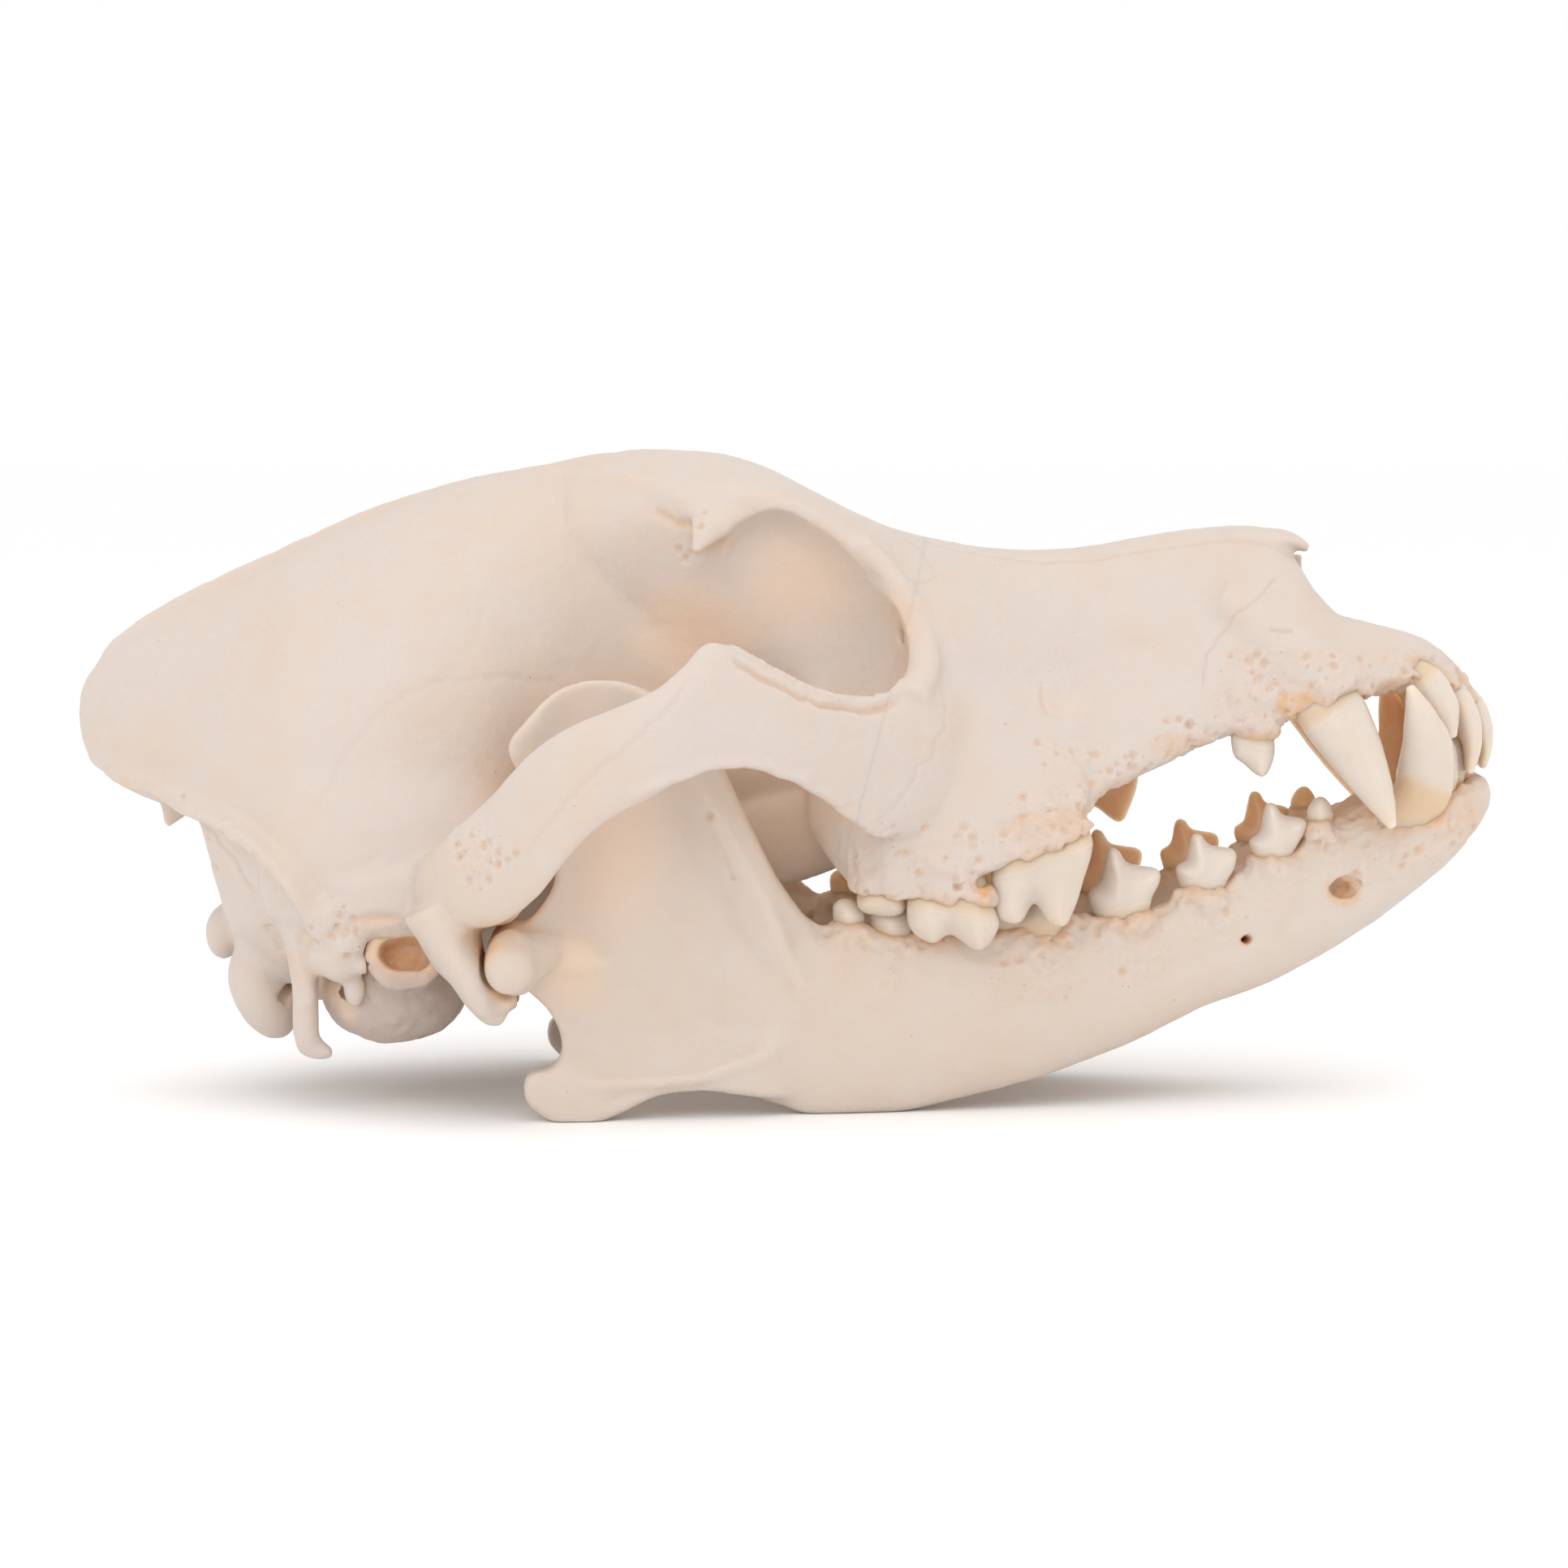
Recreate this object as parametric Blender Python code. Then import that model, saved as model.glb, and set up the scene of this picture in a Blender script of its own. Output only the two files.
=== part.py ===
"""Dog skull with its lower jaw closed: a still, life-size display model.

The skull lies as it rests on a table: the lower jaw is shut and both of its
halves touch the table with the angle of the jaw and with the lower edge under
the molars. +X is the snout, +Z is up, and y = 0 is the plane of symmetry. The
animal's right side is -Y. The origin is on the table, under the middle of the
skull's box. All sizes below are in millimetres.

The cranium is modelled whole, from lofted hulls, ribs and rods that a voxel
remesh grows together. Its hollows are then cut, and thin cuts part it into
braincase, muzzle and cheek arches. Teeth are fused to the bone they grow from.
"""
import math

import bmesh
import bpy
import numpy as np
from mathutils import Matrix, Vector

MM = 0.001

# Driving sizes of the cranium and the jaw
GAP = 0.3                      # kept between bones that touch
ARCH_HALF_WIDTH = 59.0         # middle of the cheek arch, from the plane of symmetry
ARCH_ROOT_Y = 41.0             # plane where the cheek arch is parted from the braincase
MUZZLE_CUT_LOW = (9.0, 40.0)   # x, z of the slanted cut between braincase and muzzle
MUZZLE_CUT_HIGH = (24.0, 95.0)
JAW_JOINT = (-43.9, 38.0, 28.7)    # middle of the right-hand condyle's axis
JAW_JOINT_HALF_WIDTH = 12.0
JAW_JOINT_RADIUS = 4.3
BULLA_MIDDLE = (-64.5, 20.5, 20.3)
BULLA_RADII = (12.3, 9.3, 9.8)
EAR_HOLE = (-62.0, 32.5, 26.6)
EAR_HOLE_RADII = (4.4, 3.0)
FORAMEN_MIDDLE = (-88.7, 0.0, 17.0)
FORAMEN_SLOPE = math.radians(45)   # the neck opening faces back and down
ORBIT_MIDDLE = (4.6, 32.6, 80.0)
ORBIT_RADII = (14.6, 15.0, 20.6)
ORBIT_LEAN = math.radians(-23.5)

# Fineness of the solids
FUSE_VOXEL = 1.0
CRANIUM_FACES = 4300
JAW_FACES = 1050
BULLA_SIDES = 14

SIDES = {"right": -1.0, "left": 1.0}

# Hull of the braincase, back to front: x, top z, bottom z, half width,
# z of the widest place, power of the roof curve, power of the base curve
BRAINCASE = [
    (-118.6, 68.0, 58.0, 1.6, 62.5, 2.0, 2.2),
    (-113.5, 75.6, 53.5, 7.5, 57.0, 1.7, 2.4),
    (-106.0, 80.8, 50.0, 14.5, 54.0, 1.6, 2.6),
    (-98.4, 84.6, 47.6, 20.8, 52.5, 1.6, 2.6),
    (-94.6, 86.2, 32.0, 24.4, 51.0, 1.65, 2.4),
    (-92.2, 87.2, 24.0, 26.2, 50.0, 1.7, 2.2),
    (-88.0, 89.2, 19.0, 28.8, 48.0, 1.8, 2.0),
    (-80.0, 93.4, 15.5, 32.0, 47.0, 1.95, 2.0),
    (-66.0, 99.4, 17.0, 32.4, 50.0, 2.0, 2.0),
    (-52.0, 104.0, 21.0, 30.6, 54.0, 2.0, 2.0),
    (-40.0, 107.2, 27.0, 25.0, 64.0, 2.0, 2.0),
    (-28.0, 109.2, 34.0, 20.0, 72.0, 2.1, 1.9),
    (-14.0, 108.2, 40.0, 17.0, 76.0, 2.1, 1.8),
    (2.0, 102.0, 42.0, 15.0, 74.0, 2.0, 1.9),
    (16.0, 94.0, 43.5, 14.5, 70.0, 2.0, 2.0),
]

REAR_END_MIDDLE = (-113.4, 0.0, 63.8)    # the rounded end of the top crest
REAR_END_RADII = (6.75, 4.4, 10.4)
NECK_CONDYLE_MIDDLE = (-87.6, 12.8, 18.2)
NECK_CONDYLE_RADII = (8.6, 6.2, 5.2)
NECK_CONDYLE_LEAN = math.radians(65)

# Hull of the forehead, whose edge roofs the orbits, in the same columns
FOREHEAD = [
    (-36.0, 107.0, 74.0, 18.0, 92.0, 2.1, 1.8),
    (-24.0, 109.6, 68.0, 22.5, 96.0, 2.1, 1.8),
    (-13.0, 109.0, 64.0, 27.0, 98.5, 2.2, 1.7),
    (-4.0, 106.6, 60.0, 27.8, 100.6, 2.4, 1.7),
    (5.0, 102.2, 56.0, 26.4, 98.2, 2.4, 1.8),
    (13.0, 98.2, 53.0, 25.0, 92.0, 2.3, 1.9),
    (21.0, 95.0, 51.0, 23.5, 82.0, 2.1, 2.0),
    (30.0, 92.7, 50.0, 21.0, 73.0, 2.0, 2.0),
]

# Sections of the muzzle, back to front: x, top z, half width and z of the
# nasal roof's edge, of the cheek wall and of the gum ridge, and z of the palate
MUZZLE = [
    (4.0, 101.0, 16.0, 96.0, 24.0, 68.0, 22.0, 46.0, 45.0),
    (11.0, 98.6, 17.0, 93.5, 33.0, 71.0, 31.0, 38.0, 43.0),
    (18.0, 96.0, 17.0, 92.2, 34.2, 75.5, 35.2, 36.2, 44.5),
    (25.0, 94.2, 15.0, 90.8, 31.2, 77.0, 35.8, 37.2, 46.5),
    (34.0, 92.6, 12.2, 89.8, 26.4, 75.5, 36.0, 41.0, 49.5),
    (42.0, 92.0, 10.4, 89.4, 22.6, 73.0, 35.6, 43.6, 53.0),
    (47.0, 92.1, 9.8, 89.6, 20.8, 71.5, 33.4, 47.0, 55.5),
    (52.0, 92.6, 9.2, 90.0, 19.6, 70.0, 27.6, 51.8, 57.5),
    (62.0, 94.5, 8.8, 92.0, 17.6, 73.0, 22.5, 56.2, 61.5),
    (72.0, 95.9, 9.3, 93.3, 16.8, 76.0, 19.9, 60.5, 65.0),
    (80.0, 96.4, 10.3, 93.2, 17.2, 78.0, 19.7, 63.3, 67.5),
    (85.5, 92.4, 11.0, 89.6, 18.2, 77.0, 20.8, 64.2, 68.5),
    (89.5, 86.4, 11.2, 84.2, 18.8, 75.5, 21.6, 65.6, 69.5),
    (94.0, 82.2, 11.2, 80.4, 18.4, 74.0, 21.0, 67.2, 70.0),
    (100.0, 80.4, 10.6, 79.0, 15.4, 73.0, 16.4, 67.8, 70.5),
    (108.0, 77.8, 9.0, 76.6, 12.8, 72.5, 14.0, 68.6, 70.0),
    (113.5, 72.8, 6.6, 72.0, 10.0, 70.0, 11.0, 66.6, 68.5),
    (117.6, 67.4, 4.0, 67.0, 5.4, 66.4, 5.8, 65.0, 65.6),
]
GUM_RIDGE_WIDTH = 7.0
GUM_RIDGE_HEIGHT = 3.0

# Cheek bone from the muzzle wall round to the ear: x, y, top, bottom, thickness
CHEEK_ARCH = [
    (42.0, 16.0, 68.0, 52.0, 6.0),
    (32.0, 24.0, 71.5, 49.0, 9.0),
    (24.0, 31.5, 73.0, 45.5, 9.5),
    (17.0, 38.0, 70.5, 46.0, 8.0),
    (11.0, 43.2, 69.0, 49.5, 6.6),
    (5.0, 48.0, 70.4, 54.0, 6.0),
    (-1.0, 52.0, 73.4, 57.0, 5.6),
    (-7.0, 54.8, 77.0, 58.6, 5.2),
    (-11.5, 56.5, 79.0, 58.4, 5.0),
    (-16.0, 57.8, 75.0, 57.0, 5.0),
    (-21.0, 58.6, 71.0, 54.0, 5.2),
    (-28.0, ARCH_HALF_WIDTH, 68.2, 50.3, 5.4),
    (-34.5, 58.2, 65.3, 44.0, 5.5),
    (-40.0, 55.8, 61.3, 37.2, 5.7),
    (-45.5, 52.0, 55.0, 33.4, 7.0),
    (-49.8, 47.0, 49.5, 32.0, 12.0),
    (-51.2, ARCH_ROOT_Y, 45.5, 31.6, 17.0),
    (-51.5, 33.0, 44.0, 31.4, 20.0),
    (-51.5, 24.0, 46.0, 31.0, 20.0),
]

# Plates beside the throat passage: x, y, top, bottom, thickness
PTERYGOID = [
    (14.0, 12.0, 56.0, 41.0, 5.0),
    (5.0, 11.0, 52.0, 37.0, 3.8),
    (-5.0, 10.0, 50.0, 34.4, 3.2),
    (-15.0, 9.6, 46.0, 31.8, 3.0),
    (-22.0, 9.6, 41.0, 28.5, 2.6),
]

# Ridge along the top of the braincase: x, y, top, bottom, thickness
TOP_CREST = [
    (-118.9, 0.0, 68.6, 60.0, 3.0),
    (-114.6, 0.0, 76.8, 66.0, 3.4),
    (-104.0, 0.0, 84.0, 74.0, 3.4),
    (-86.0, 0.0, 92.4, 82.0, 3.4),
    (-68.0, 0.0, 100.2, 92.0, 3.6),
    (-50.0, 0.0, 105.2, 98.0, 4.0),
    (-37.0, 0.0, 106.8, 100.0, 3.0),
]

# Rods, each as (x, y, z, radius along, radius across) from its root to its tip;
# the ear's roof is a bar: x, y, top, bottom, thickness
NUCHAL_CREST = [
    (-116.8, 0.0, 57.6, 2.2, 2.2),
    (-112.0, 7.0, 55.6, 1.9, 1.9),
    (-104.0, 15.5, 52.8, 1.7, 1.7),
    (-94.0, 24.5, 48.8, 1.7, 1.7),
    (-86.0, 30.5, 44.2, 1.9, 1.9),
    (-79.0, 33.4, 37.0, 2.3, 2.2),
    (-75.0, 33.4, 29.0, 2.0, 1.8),
]
EYE_SOCKET_RIM = [
    (12.0, 23.5, 94.0, 2.0, 2.0),
    (17.6, 24.8, 88.0, 2.3, 2.3),
    (21.6, 28.0, 81.0, 2.6, 2.6),
    (22.8, 32.6, 74.5, 2.9, 2.9),
    (20.5, 37.2, 68.5, 3.2, 3.2),
]
BROW_PROCESS = [
    (-7.0, 20.0, 102.0, 7.0, 4.0),
    (-11.4, 27.0, 97.6, 4.4, 2.4),
    (-14.0, 30.6, 93.4, 1.5, 1.3),
    (-14.6, 31.4, 91.6, 0.6, 0.6),
]
NECK_PROCESS = [
    (-80.5, 24.5, 37.0, 5.0, 4.5),
    (-79.2, 26.8, 27.0, 3.2, 3.4),
    (-78.8, 27.6, 19.0, 2.2, 2.6),
    (-78.4, 27.6, 13.5, 2.2, 2.0),
    (-77.4, 27.2, 9.8, 2.2, 1.6),
    (-75.2, 27.0, 8.2, 1.5, 1.3),
    (-73.8, 27.0, 8.6, 0.8, 0.8),
]
BEHIND_JAW_JOINT = [
    (-58.5, 37.0, 34.0, 3.0, 8.0),
    (-54.8, 37.4, 27.6, 3.2, 8.8),
    (-50.6, 37.8, 22.8, 2.7, 8.8),
    (-46.6, 38.2, 20.0, 2.0, 8.2),
    (-43.0, 38.6, 19.6, 1.3, 6.6),
]
TEMPORAL_WALL = [              # above the ear, in the same columns as the cheek arch
    (-85.0, 26.5, 56.0, 32.0, 8.0),
    (-77.0, 30.0, 56.0, 29.0, 9.0),
    (-68.0, 30.8, 57.0, 28.0, 9.4),
    (-60.0, 31.0, 56.0, 29.0, 9.6),
    (-52.0, 31.0, 54.0, 30.0, 10.0),
    (-45.0, 27.5, 51.0, 34.0, 7.0),
    (-38.0, 22.5, 48.0, 38.0, 3.0),
]
JOINT_ROOF = [
    (-47.5, 28.0, 39.0, 4.0, 5.0),
    (-46.8, 37.0, 38.4, 5.0, 5.2),
    (-46.0, 45.0, 37.0, 4.4, 5.0),
]
NECK_CONDYLE_ROOT = [
    (-87.6, 12.6, 20.0, 5.4, 5.4),
    (-86.6, 12.6, 30.0, 5.4, 5.6),
    (-87.6, 11.0, 40.0, 4.6, 5.4),
]
JOINT_BUTTRESS = [
    (-57.0, 42.0, 36.0, 6.5, 7.5),
    (-54.0, 42.0, 29.5, 6.5, 8.6),
    (-51.4, 41.6, 24.6, 5.0, 8.8),
    (-48.4, 41.0, 21.2, 3.0, 8.0),
    (-45.0, 40.0, 19.4, 1.4, 6.0),
]
EAR_ROOF = [
    (-76.0, 31.0, 36.0, 27.5, 6.0),
    (-68.0, 33.4, 37.0, 29.6, 6.6),
    (-60.0, 34.6, 38.0, 31.0, 6.6),
    (-52.0, 35.0, 38.0, 31.0, 6.6),
]
CANINE_SWELLING = [
    (93.0, 17.6, 68.0, 6.0, 5.0),
    (85.0, 15.2, 75.5, 5.8, 4.4),
    (73.0, 12.2, 84.5, 4.0, 3.2),
]
NOSE_TIP = [
    (75.0, 4.4, 94.4, 2.0, 5.6),
    (84.0, 5.0, 94.2, 1.5, 5.2),
    (88.6, 5.2, 92.2, 0.9, 3.0),
]

# Lower jaw body, front to back: x, y, top, bottom, thickness
JAW_BODY = [
    (118.4, 3.4, 54.2, 48.6, 6.2),
    (115.0, 4.8, 53.4, 43.2, 10.0),
    (107.5, 6.8, 52.0, 35.8, 14.6),
    (99.0, 7.3, 50.0, 29.2, 15.2),
    (90.0, 8.6, 46.0, 23.9, 13.8),
    (80.0, 11.4, 41.0, 19.2, 12.0),
    (70.0, 14.3, 36.6, 15.8, 10.8),
    (58.0, 17.6, 32.0, 10.4, 10.8),
    (44.0, 21.0, 32.0, 5.4, 11.0),
    (30.0, 23.9, 31.0, 2.0, 11.2),
    (16.0, 26.6, 30.4, -0.5, 10.8),
    (6.0, 28.6, 30.4, -0.6, 9.0),
    (-2.0, 30.4, 32.0, 1.8, 6.4),
    (-10.0, 32.2, 32.0, 5.6, 2.2),
]

CONDYLE_NECK = [
    (-28.0, 35.6, 25.0, 0.8, 0.8),
    (-35.0, 36.2, 27.0, 4.4, 3.0),
    (-40.0, 37.0, 27.5, 5.0, 4.0),
    (-43.5, 37.8, 28.0, 3.4, 5.0),
]
CONDYLE_SHOULDER = [
    (-44.4, 47.0, 25.8, 3.4, 4.4),
    (-42.0, 42.6, 27.0, 4.4, 4.4),
    (-39.0, 39.0, 28.4, 3.8, 3.4),
    (-35.0, 36.4, 30.0, 1.0, 1.0),
]

# Outline of the jaw's upright branch, seen from the side: x, z
RAMUS_OUTLINE = [
    (9.0, 27.0), (3.4, 32.6), (-1.4, 39.5), (-6.0, 49.0), (-11.5, 60.0), (-18.0, 67.6),
    (-27.5, 71.8), (-36.0, 70.6), (-41.8, 65.2), (-44.6, 60.8), (-42.0, 55.0), (-38.6, 46.0),
    (-37.2, 39.5), (-40.0, 34.2), (-44.5, 30.0), (-43.2, 23.2), (-38.6, 18.2), (-36.2, 12.6),
    (-37.6, 9.0), (-41.8, 7.6), (-42.0, 3.4), (-38.0, 0.0), (-32.6, -1.0), (-26.8, 0.9),
    (-20.5, 3.8), (-12.0, 4.3), (-2.0, 3.0), (6.0, 5.0),
]
RAMUS_MIDDLE = [(-46.0, 37.2), (-30.0, 35.6), (-15.0, 33.0), (-5.0, 31.0), (10.0, 27.8)]
RAMUS_INNER_HALF = 2.0         # from the branch's middle to its inner face
RAMUS_OUTER_HALF = 4.2         # and to its outer face along the edges
CHEW_HOLLOW_DEPTH = 3.8        # of the hollow where the chewing muscle lies
CHEW_HOLLOW_FRONT = [(6.0, 5.0), (19.0, 3.5), (33.0, -3.0), (45.0, -9.0), (58.0, -15.0), (80.0, -24.0)]
CHEW_HOLLOW_BASE = [(-45.0, 9.0), (-29.0, 5.0), (-15.0, 6.0), (-6.0, 8.5), (3.0, 15.0)]

# Teeth of one side that are rods: each is a list of cusps, and each cusp a rod
# from its root to its tip: x, y, z, radius along the jaw, radius across it
UPPER_RODS = {
    "incisor_1": [[(110.5, 2.8, 69.2, 1.2, 1.2), (115.9, 3.0, 66.9, 1.9, 2.0),
                   (118.3, 3.1, 62.5, 1.7, 2.4), (118.9, 3.1, 58.6, 1.1, 2.4),
                   (118.5, 3.1, 55.4, 0.5, 1.5)]],
    "incisor_2": [[(107.0, 6.6, 71.5, 1.4, 1.4), (112.6, 7.6, 68.6, 2.1, 2.1),
                   (115.2, 8.2, 63.5, 2.0, 2.6), (115.9, 8.4, 59.0, 1.4, 2.4),
                   (115.5, 8.4, 54.8, 0.6, 1.4)]],
    "incisor_3": [[(101.5, 9.6, 74.0, 2.0, 1.8), (107.2, 11.4, 70.6, 3.1, 2.5),
                   (110.0, 12.6, 66.2, 2.9, 2.5), (111.9, 13.0, 61.0, 0.8, 0.8)]],
    "canine": [[(79.0, 12.8, 79.0, 3.4, 2.4), (86.0, 15.4, 71.5, 4.8, 3.2),
                (90.8, 17.8, 66.0, 5.6, 3.8), (94.0, 19.2, 60.6, 4.9, 3.7),
                (96.8, 20.3, 55.4, 3.7, 3.0), (99.2, 21.0, 50.6, 2.2, 2.0),
                (101.0, 21.2, 46.6, 0.6, 0.6)]],
    "premolar_4_inner": [[(45.6, 24.0, 57.0, 2.4, 2.2), (47.2, 27.0, 46.0, 2.8, 2.6),
                          (47.6, 27.0, 41.5, 0.8, 0.8)]],
    "molar_1_inner": [[(27.5, 24.0, 50.0, 4.2, 3.8), (27.8, 26.0, 40.6, 5.4, 4.2),
                       (27.8, 26.2, 34.8, 4.0, 3.0), (27.8, 26.0, 33.0, 1.4, 1.2)]],
    "molar_2_inner": [[(16.4, 23.4, 49.0, 2.8, 2.8), (16.1, 25.0, 40.0, 3.6, 3.6),
                       (16.0, 25.4, 36.0, 1.6, 1.8)]],
}
LOWER_RODS = {
    "incisor_1": [[(111.6, 2.6, 45.0, 1.3, 1.3), (114.2, 2.6, 53.5, 1.6, 1.6),
                   (114.7, 2.6, 57.5, 1.2, 1.5), (114.5, 2.6, 60.2, 0.5, 0.9)]],
    "incisor_2": [[(110.4, 5.4, 45.0, 1.4, 1.4), (113.2, 5.9, 53.6, 1.7, 1.7),
                   (113.6, 6.0, 58.0, 1.3, 1.6), (113.3, 6.0, 60.6, 0.5, 0.9)]],
    "incisor_3": [[(108.6, 7.6, 45.0, 1.6, 1.6), (111.4, 8.8, 53.6, 2.0, 1.9),
                   (111.7, 9.2, 58.4, 1.5, 1.8), (111.4, 9.3, 61.0, 0.6, 0.9)]],
    "canine": [[(95.0, 8.6, 37.0, 3.4, 2.8), (103.0, 10.8, 46.0, 4.8, 3.4),
                (107.2, 13.2, 53.0, 4.8, 3.7), (107.4, 15.4, 59.0, 4.3, 3.2),
                (106.0, 16.9, 64.6, 2.7, 2.2), (104.2, 17.6, 69.8, 0.6, 0.6)]],
}

# Teeth of one side that are blades: y of the crown, half thickness, and the
# crown's outline seen from the side as x, z, from its rear root to its front root
UPPER_BLADES = {
    "premolar_1": (17.0, 2.1, [(74.2, 67.0), (74.5, 61.6), (75.1, 58.3), (76.6, 57.0), (79.6, 54.8),
                               (81.3, 57.0), (81.6, 60.4), (80.4, 67.0)]),
    "premolar_3": (22.2, 2.3, [(52.4, 59.0), (51.2, 51.0), (51.8, 47.2), (54.6, 46.8), (58.7, 44.1),
                               (60.6, 47.0), (61.9, 52.0), (61.0, 60.0)]),
    "premolar_4": (31.6, 3.1, [(35.4, 47.0), (34.0, 39.6), (34.6, 33.6), (36.4, 31.9), (38.8, 31.9),
                               (41.0, 35.0), (43.2, 32.2), (45.3, 31.2), (46.8, 32.4), (48.9, 38.4),
                               (50.4, 45.6), (46.6, 51.0)]),
    "molar_1": (32.0, 3.3, [(21.8, 43.0), (20.3, 35.4), (20.8, 30.8), (24.2, 28.5), (27.4, 29.8),
                            (31.8, 27.3), (34.4, 29.6), (34.9, 33.4), (30.4, 43.0)]),
    "molar_2": (29.8, 3.6, [(13.4, 42.0), (12.1, 36.0), (12.8, 33.6), (15.8, 32.8), (19.0, 33.0),
                            (20.0, 35.0), (19.0, 42.0)]),
}
LOWER_BLADES = {
    "premolar_1": (12.6, 1.9, [(89.0, 42.0), (87.8, 47.4), (88.4, 49.8), (90.1, 51.0), (91.7, 49.4),
                               (91.9, 47.2), (90.8, 42.0)]),
    "premolar_2": (13.4, 2.2, [(80.2, 36.0), (78.4, 41.8), (78.2, 43.8), (79.9, 45.2), (81.5, 50.3),
                               (83.6, 48.0), (87.0, 47.3), (87.5, 45.6), (85.0, 41.0), (84.4, 36.0)]),
    "premolar_3": (16.1, 2.5, [(67.6, 30.0), (66.0, 36.8), (65.6, 39.4), (67.5, 40.8), (68.8, 45.3),
                               (71.0, 43.2), (75.0, 42.4), (75.4, 40.0), (73.6, 36.0), (72.8, 30.0)]),
    "premolar_4": (19.8, 2.9, [(52.6, 24.0), (51.6, 31.6), (50.8, 35.4), (53.0, 37.2), (54.7, 43.1),
                               (57.2, 40.4), (61.8, 39.5), (62.4, 37.4), (60.8, 33.4), (60.2, 24.0)]),
    "molar_1": (22.8, 2.8, [(24.8, 19.0), (23.5, 30.6), (25.0, 32.8), (30.6, 32.6), (33.2, 35.4),
                            (35.6, 38.4), (39.4, 34.6), (42.3, 36.2), (45.4, 33.4), (46.4, 30.8),
                            (45.4, 19.0)]),
    "molar_2": (26.0, 3.0, [(15.6, 20.0), (14.2, 30.6), (15.2, 33.8), (18.0, 34.4), (20.8, 33.0),
                            (21.4, 29.0), (20.2, 20.0)]),
    "molar_3": (27.2, 2.4, [(9.2, 23.0), (8.2, 32.0), (8.6, 34.6), (10.8, 35.2), (12.8, 33.6),
                            (13.2, 31.0), (12.2, 23.0)]),
}
MISSING_TEETH = {"right": ("premolar_3",), "left": ("premolar_1",)}
LEFT_CANINE_AHEAD = 1.4        # the left upper canine stands this far before the right one
TOOTH_SIDES = 8
BLADE_RINGS = ((-1.0, 0.5), (-0.65, 0.86), (0.0, 1.0), (0.65, 0.86), (1.0, 0.5))


def clear_scene():
    """Take every object out of the file."""
    for item in list(bpy.data.objects):
        bpy.data.objects.remove(item, do_unlink=True)


def smooth_values(places, values, at):
    """Values along a monotone cubic through the given rows."""
    step = np.diff(places)[:, None]
    slope = np.diff(values, axis=0) / step
    bend = np.zeros_like(values)
    bend[0] = slope[0]
    bend[-1] = slope[-1]
    before, after = slope[:-1], slope[1:]
    turning = before * after <= 0
    safe_before = np.where(turning, 1.0, before)
    safe_after = np.where(turning, 1.0, after)
    weighted = (step[:-1] + step[1:]) / (step[:-1] / safe_before + step[1:] / safe_after)
    bend[1:-1] = np.where(turning, 0.0, weighted)
    spot = np.clip(np.searchsorted(places, at) - 1, 0, len(places) - 2)
    s = ((at - places[spot]) / step[spot, 0])[:, None]
    width = step[spot]
    return (values[spot] * (1 + 2 * s) * (1 - s) ** 2 + bend[spot] * width * s * (1 - s) ** 2
            + values[spot + 1] * s ** 2 * (3 - 2 * s) - bend[spot + 1] * width * s ** 2 * (1 - s))


def resample(rows, count, keys):
    """`count` rows, evenly spaced along the path that the first `keys` columns give."""
    rows = np.array(rows, float)
    lengths = np.linalg.norm(np.diff(rows[:, :keys], axis=0), axis=1)
    places = np.concatenate([[0.0], np.cumsum(lengths)])
    return smooth_values(places, rows, np.linspace(0.0, places[-1], count))


def rounded(angle, power):
    """One side of a superellipse: the pair (across, up) at an angle."""
    across = math.copysign(abs(math.cos(angle)) ** (2 / power), math.cos(angle))
    up = math.copysign(abs(math.sin(angle)) ** (2 / power), math.sin(angle))
    return across, up


def ease(share):
    """A smooth step from 0 to 1."""
    share = np.clip(share, 0.0, 1.0)
    return share * share * (3 - 2 * share)


def new_object(name, mesh):
    """Put a mesh in the scene."""
    item = bpy.data.objects.new(name, mesh)
    bpy.context.scene.collection.objects.link(item)
    return item


def skin(name, rings):
    """A closed body through rings of points in millimetres, with fanned ends."""
    shape = bmesh.new()
    loops = [[shape.verts.new(Vector(point) * MM) for point in ring] for ring in rings]
    sides = len(loops[0])
    for low, high in zip(loops, loops[1:]):
        for i in range(sides):
            j = (i + 1) % sides
            shape.faces.new((low[i], low[j], high[j], high[i]))
    for ring in (loops[0], loops[-1]):
        middle = sum((vert.co for vert in ring), Vector()) / sides
        centre = shape.verts.new(middle)
        for i in range(sides):
            shape.faces.new((ring[i], ring[(i + 1) % sides], centre))
    bmesh.ops.recalc_face_normals(shape, faces=shape.faces)
    mesh = bpy.data.meshes.new(name)
    shape.to_mesh(mesh)
    shape.free()
    return new_object(name, mesh)


def hull(name, rows, count=60, sides=48):
    """A hull along x, symmetrical about y = 0, from rows of section sizes."""
    rings = []
    for x, top, bottom, half, widest, roof, base in resample(rows, count, 1):
        ring = []
        for i in range(sides):
            angle = 2 * math.pi * i / sides
            upper = math.sin(angle) >= 0
            across, up = rounded(angle, roof if upper else base)
            height = (top - widest) if upper else (widest - bottom)
            ring.append((x, half * across, widest + height * up))
        rings.append(ring)
    return skin(name, rings)


def closed_curve(points, per_point):
    """A smooth closed curve through the points."""
    points = np.array(points, float)
    result = []
    for i in range(len(points)):
        a, b, c, d = (points[(i + k) % len(points)] for k in (-1, 0, 1, 2))
        for t in np.linspace(0, 1, per_point, endpoint=False):
            result.append(0.5 * (2 * b + (c - a) * t + (2 * a - 5 * b + 4 * c - d) * t ** 2
                                 + (3 * b - a - 3 * c + d) * t ** 3))
    return result


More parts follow.
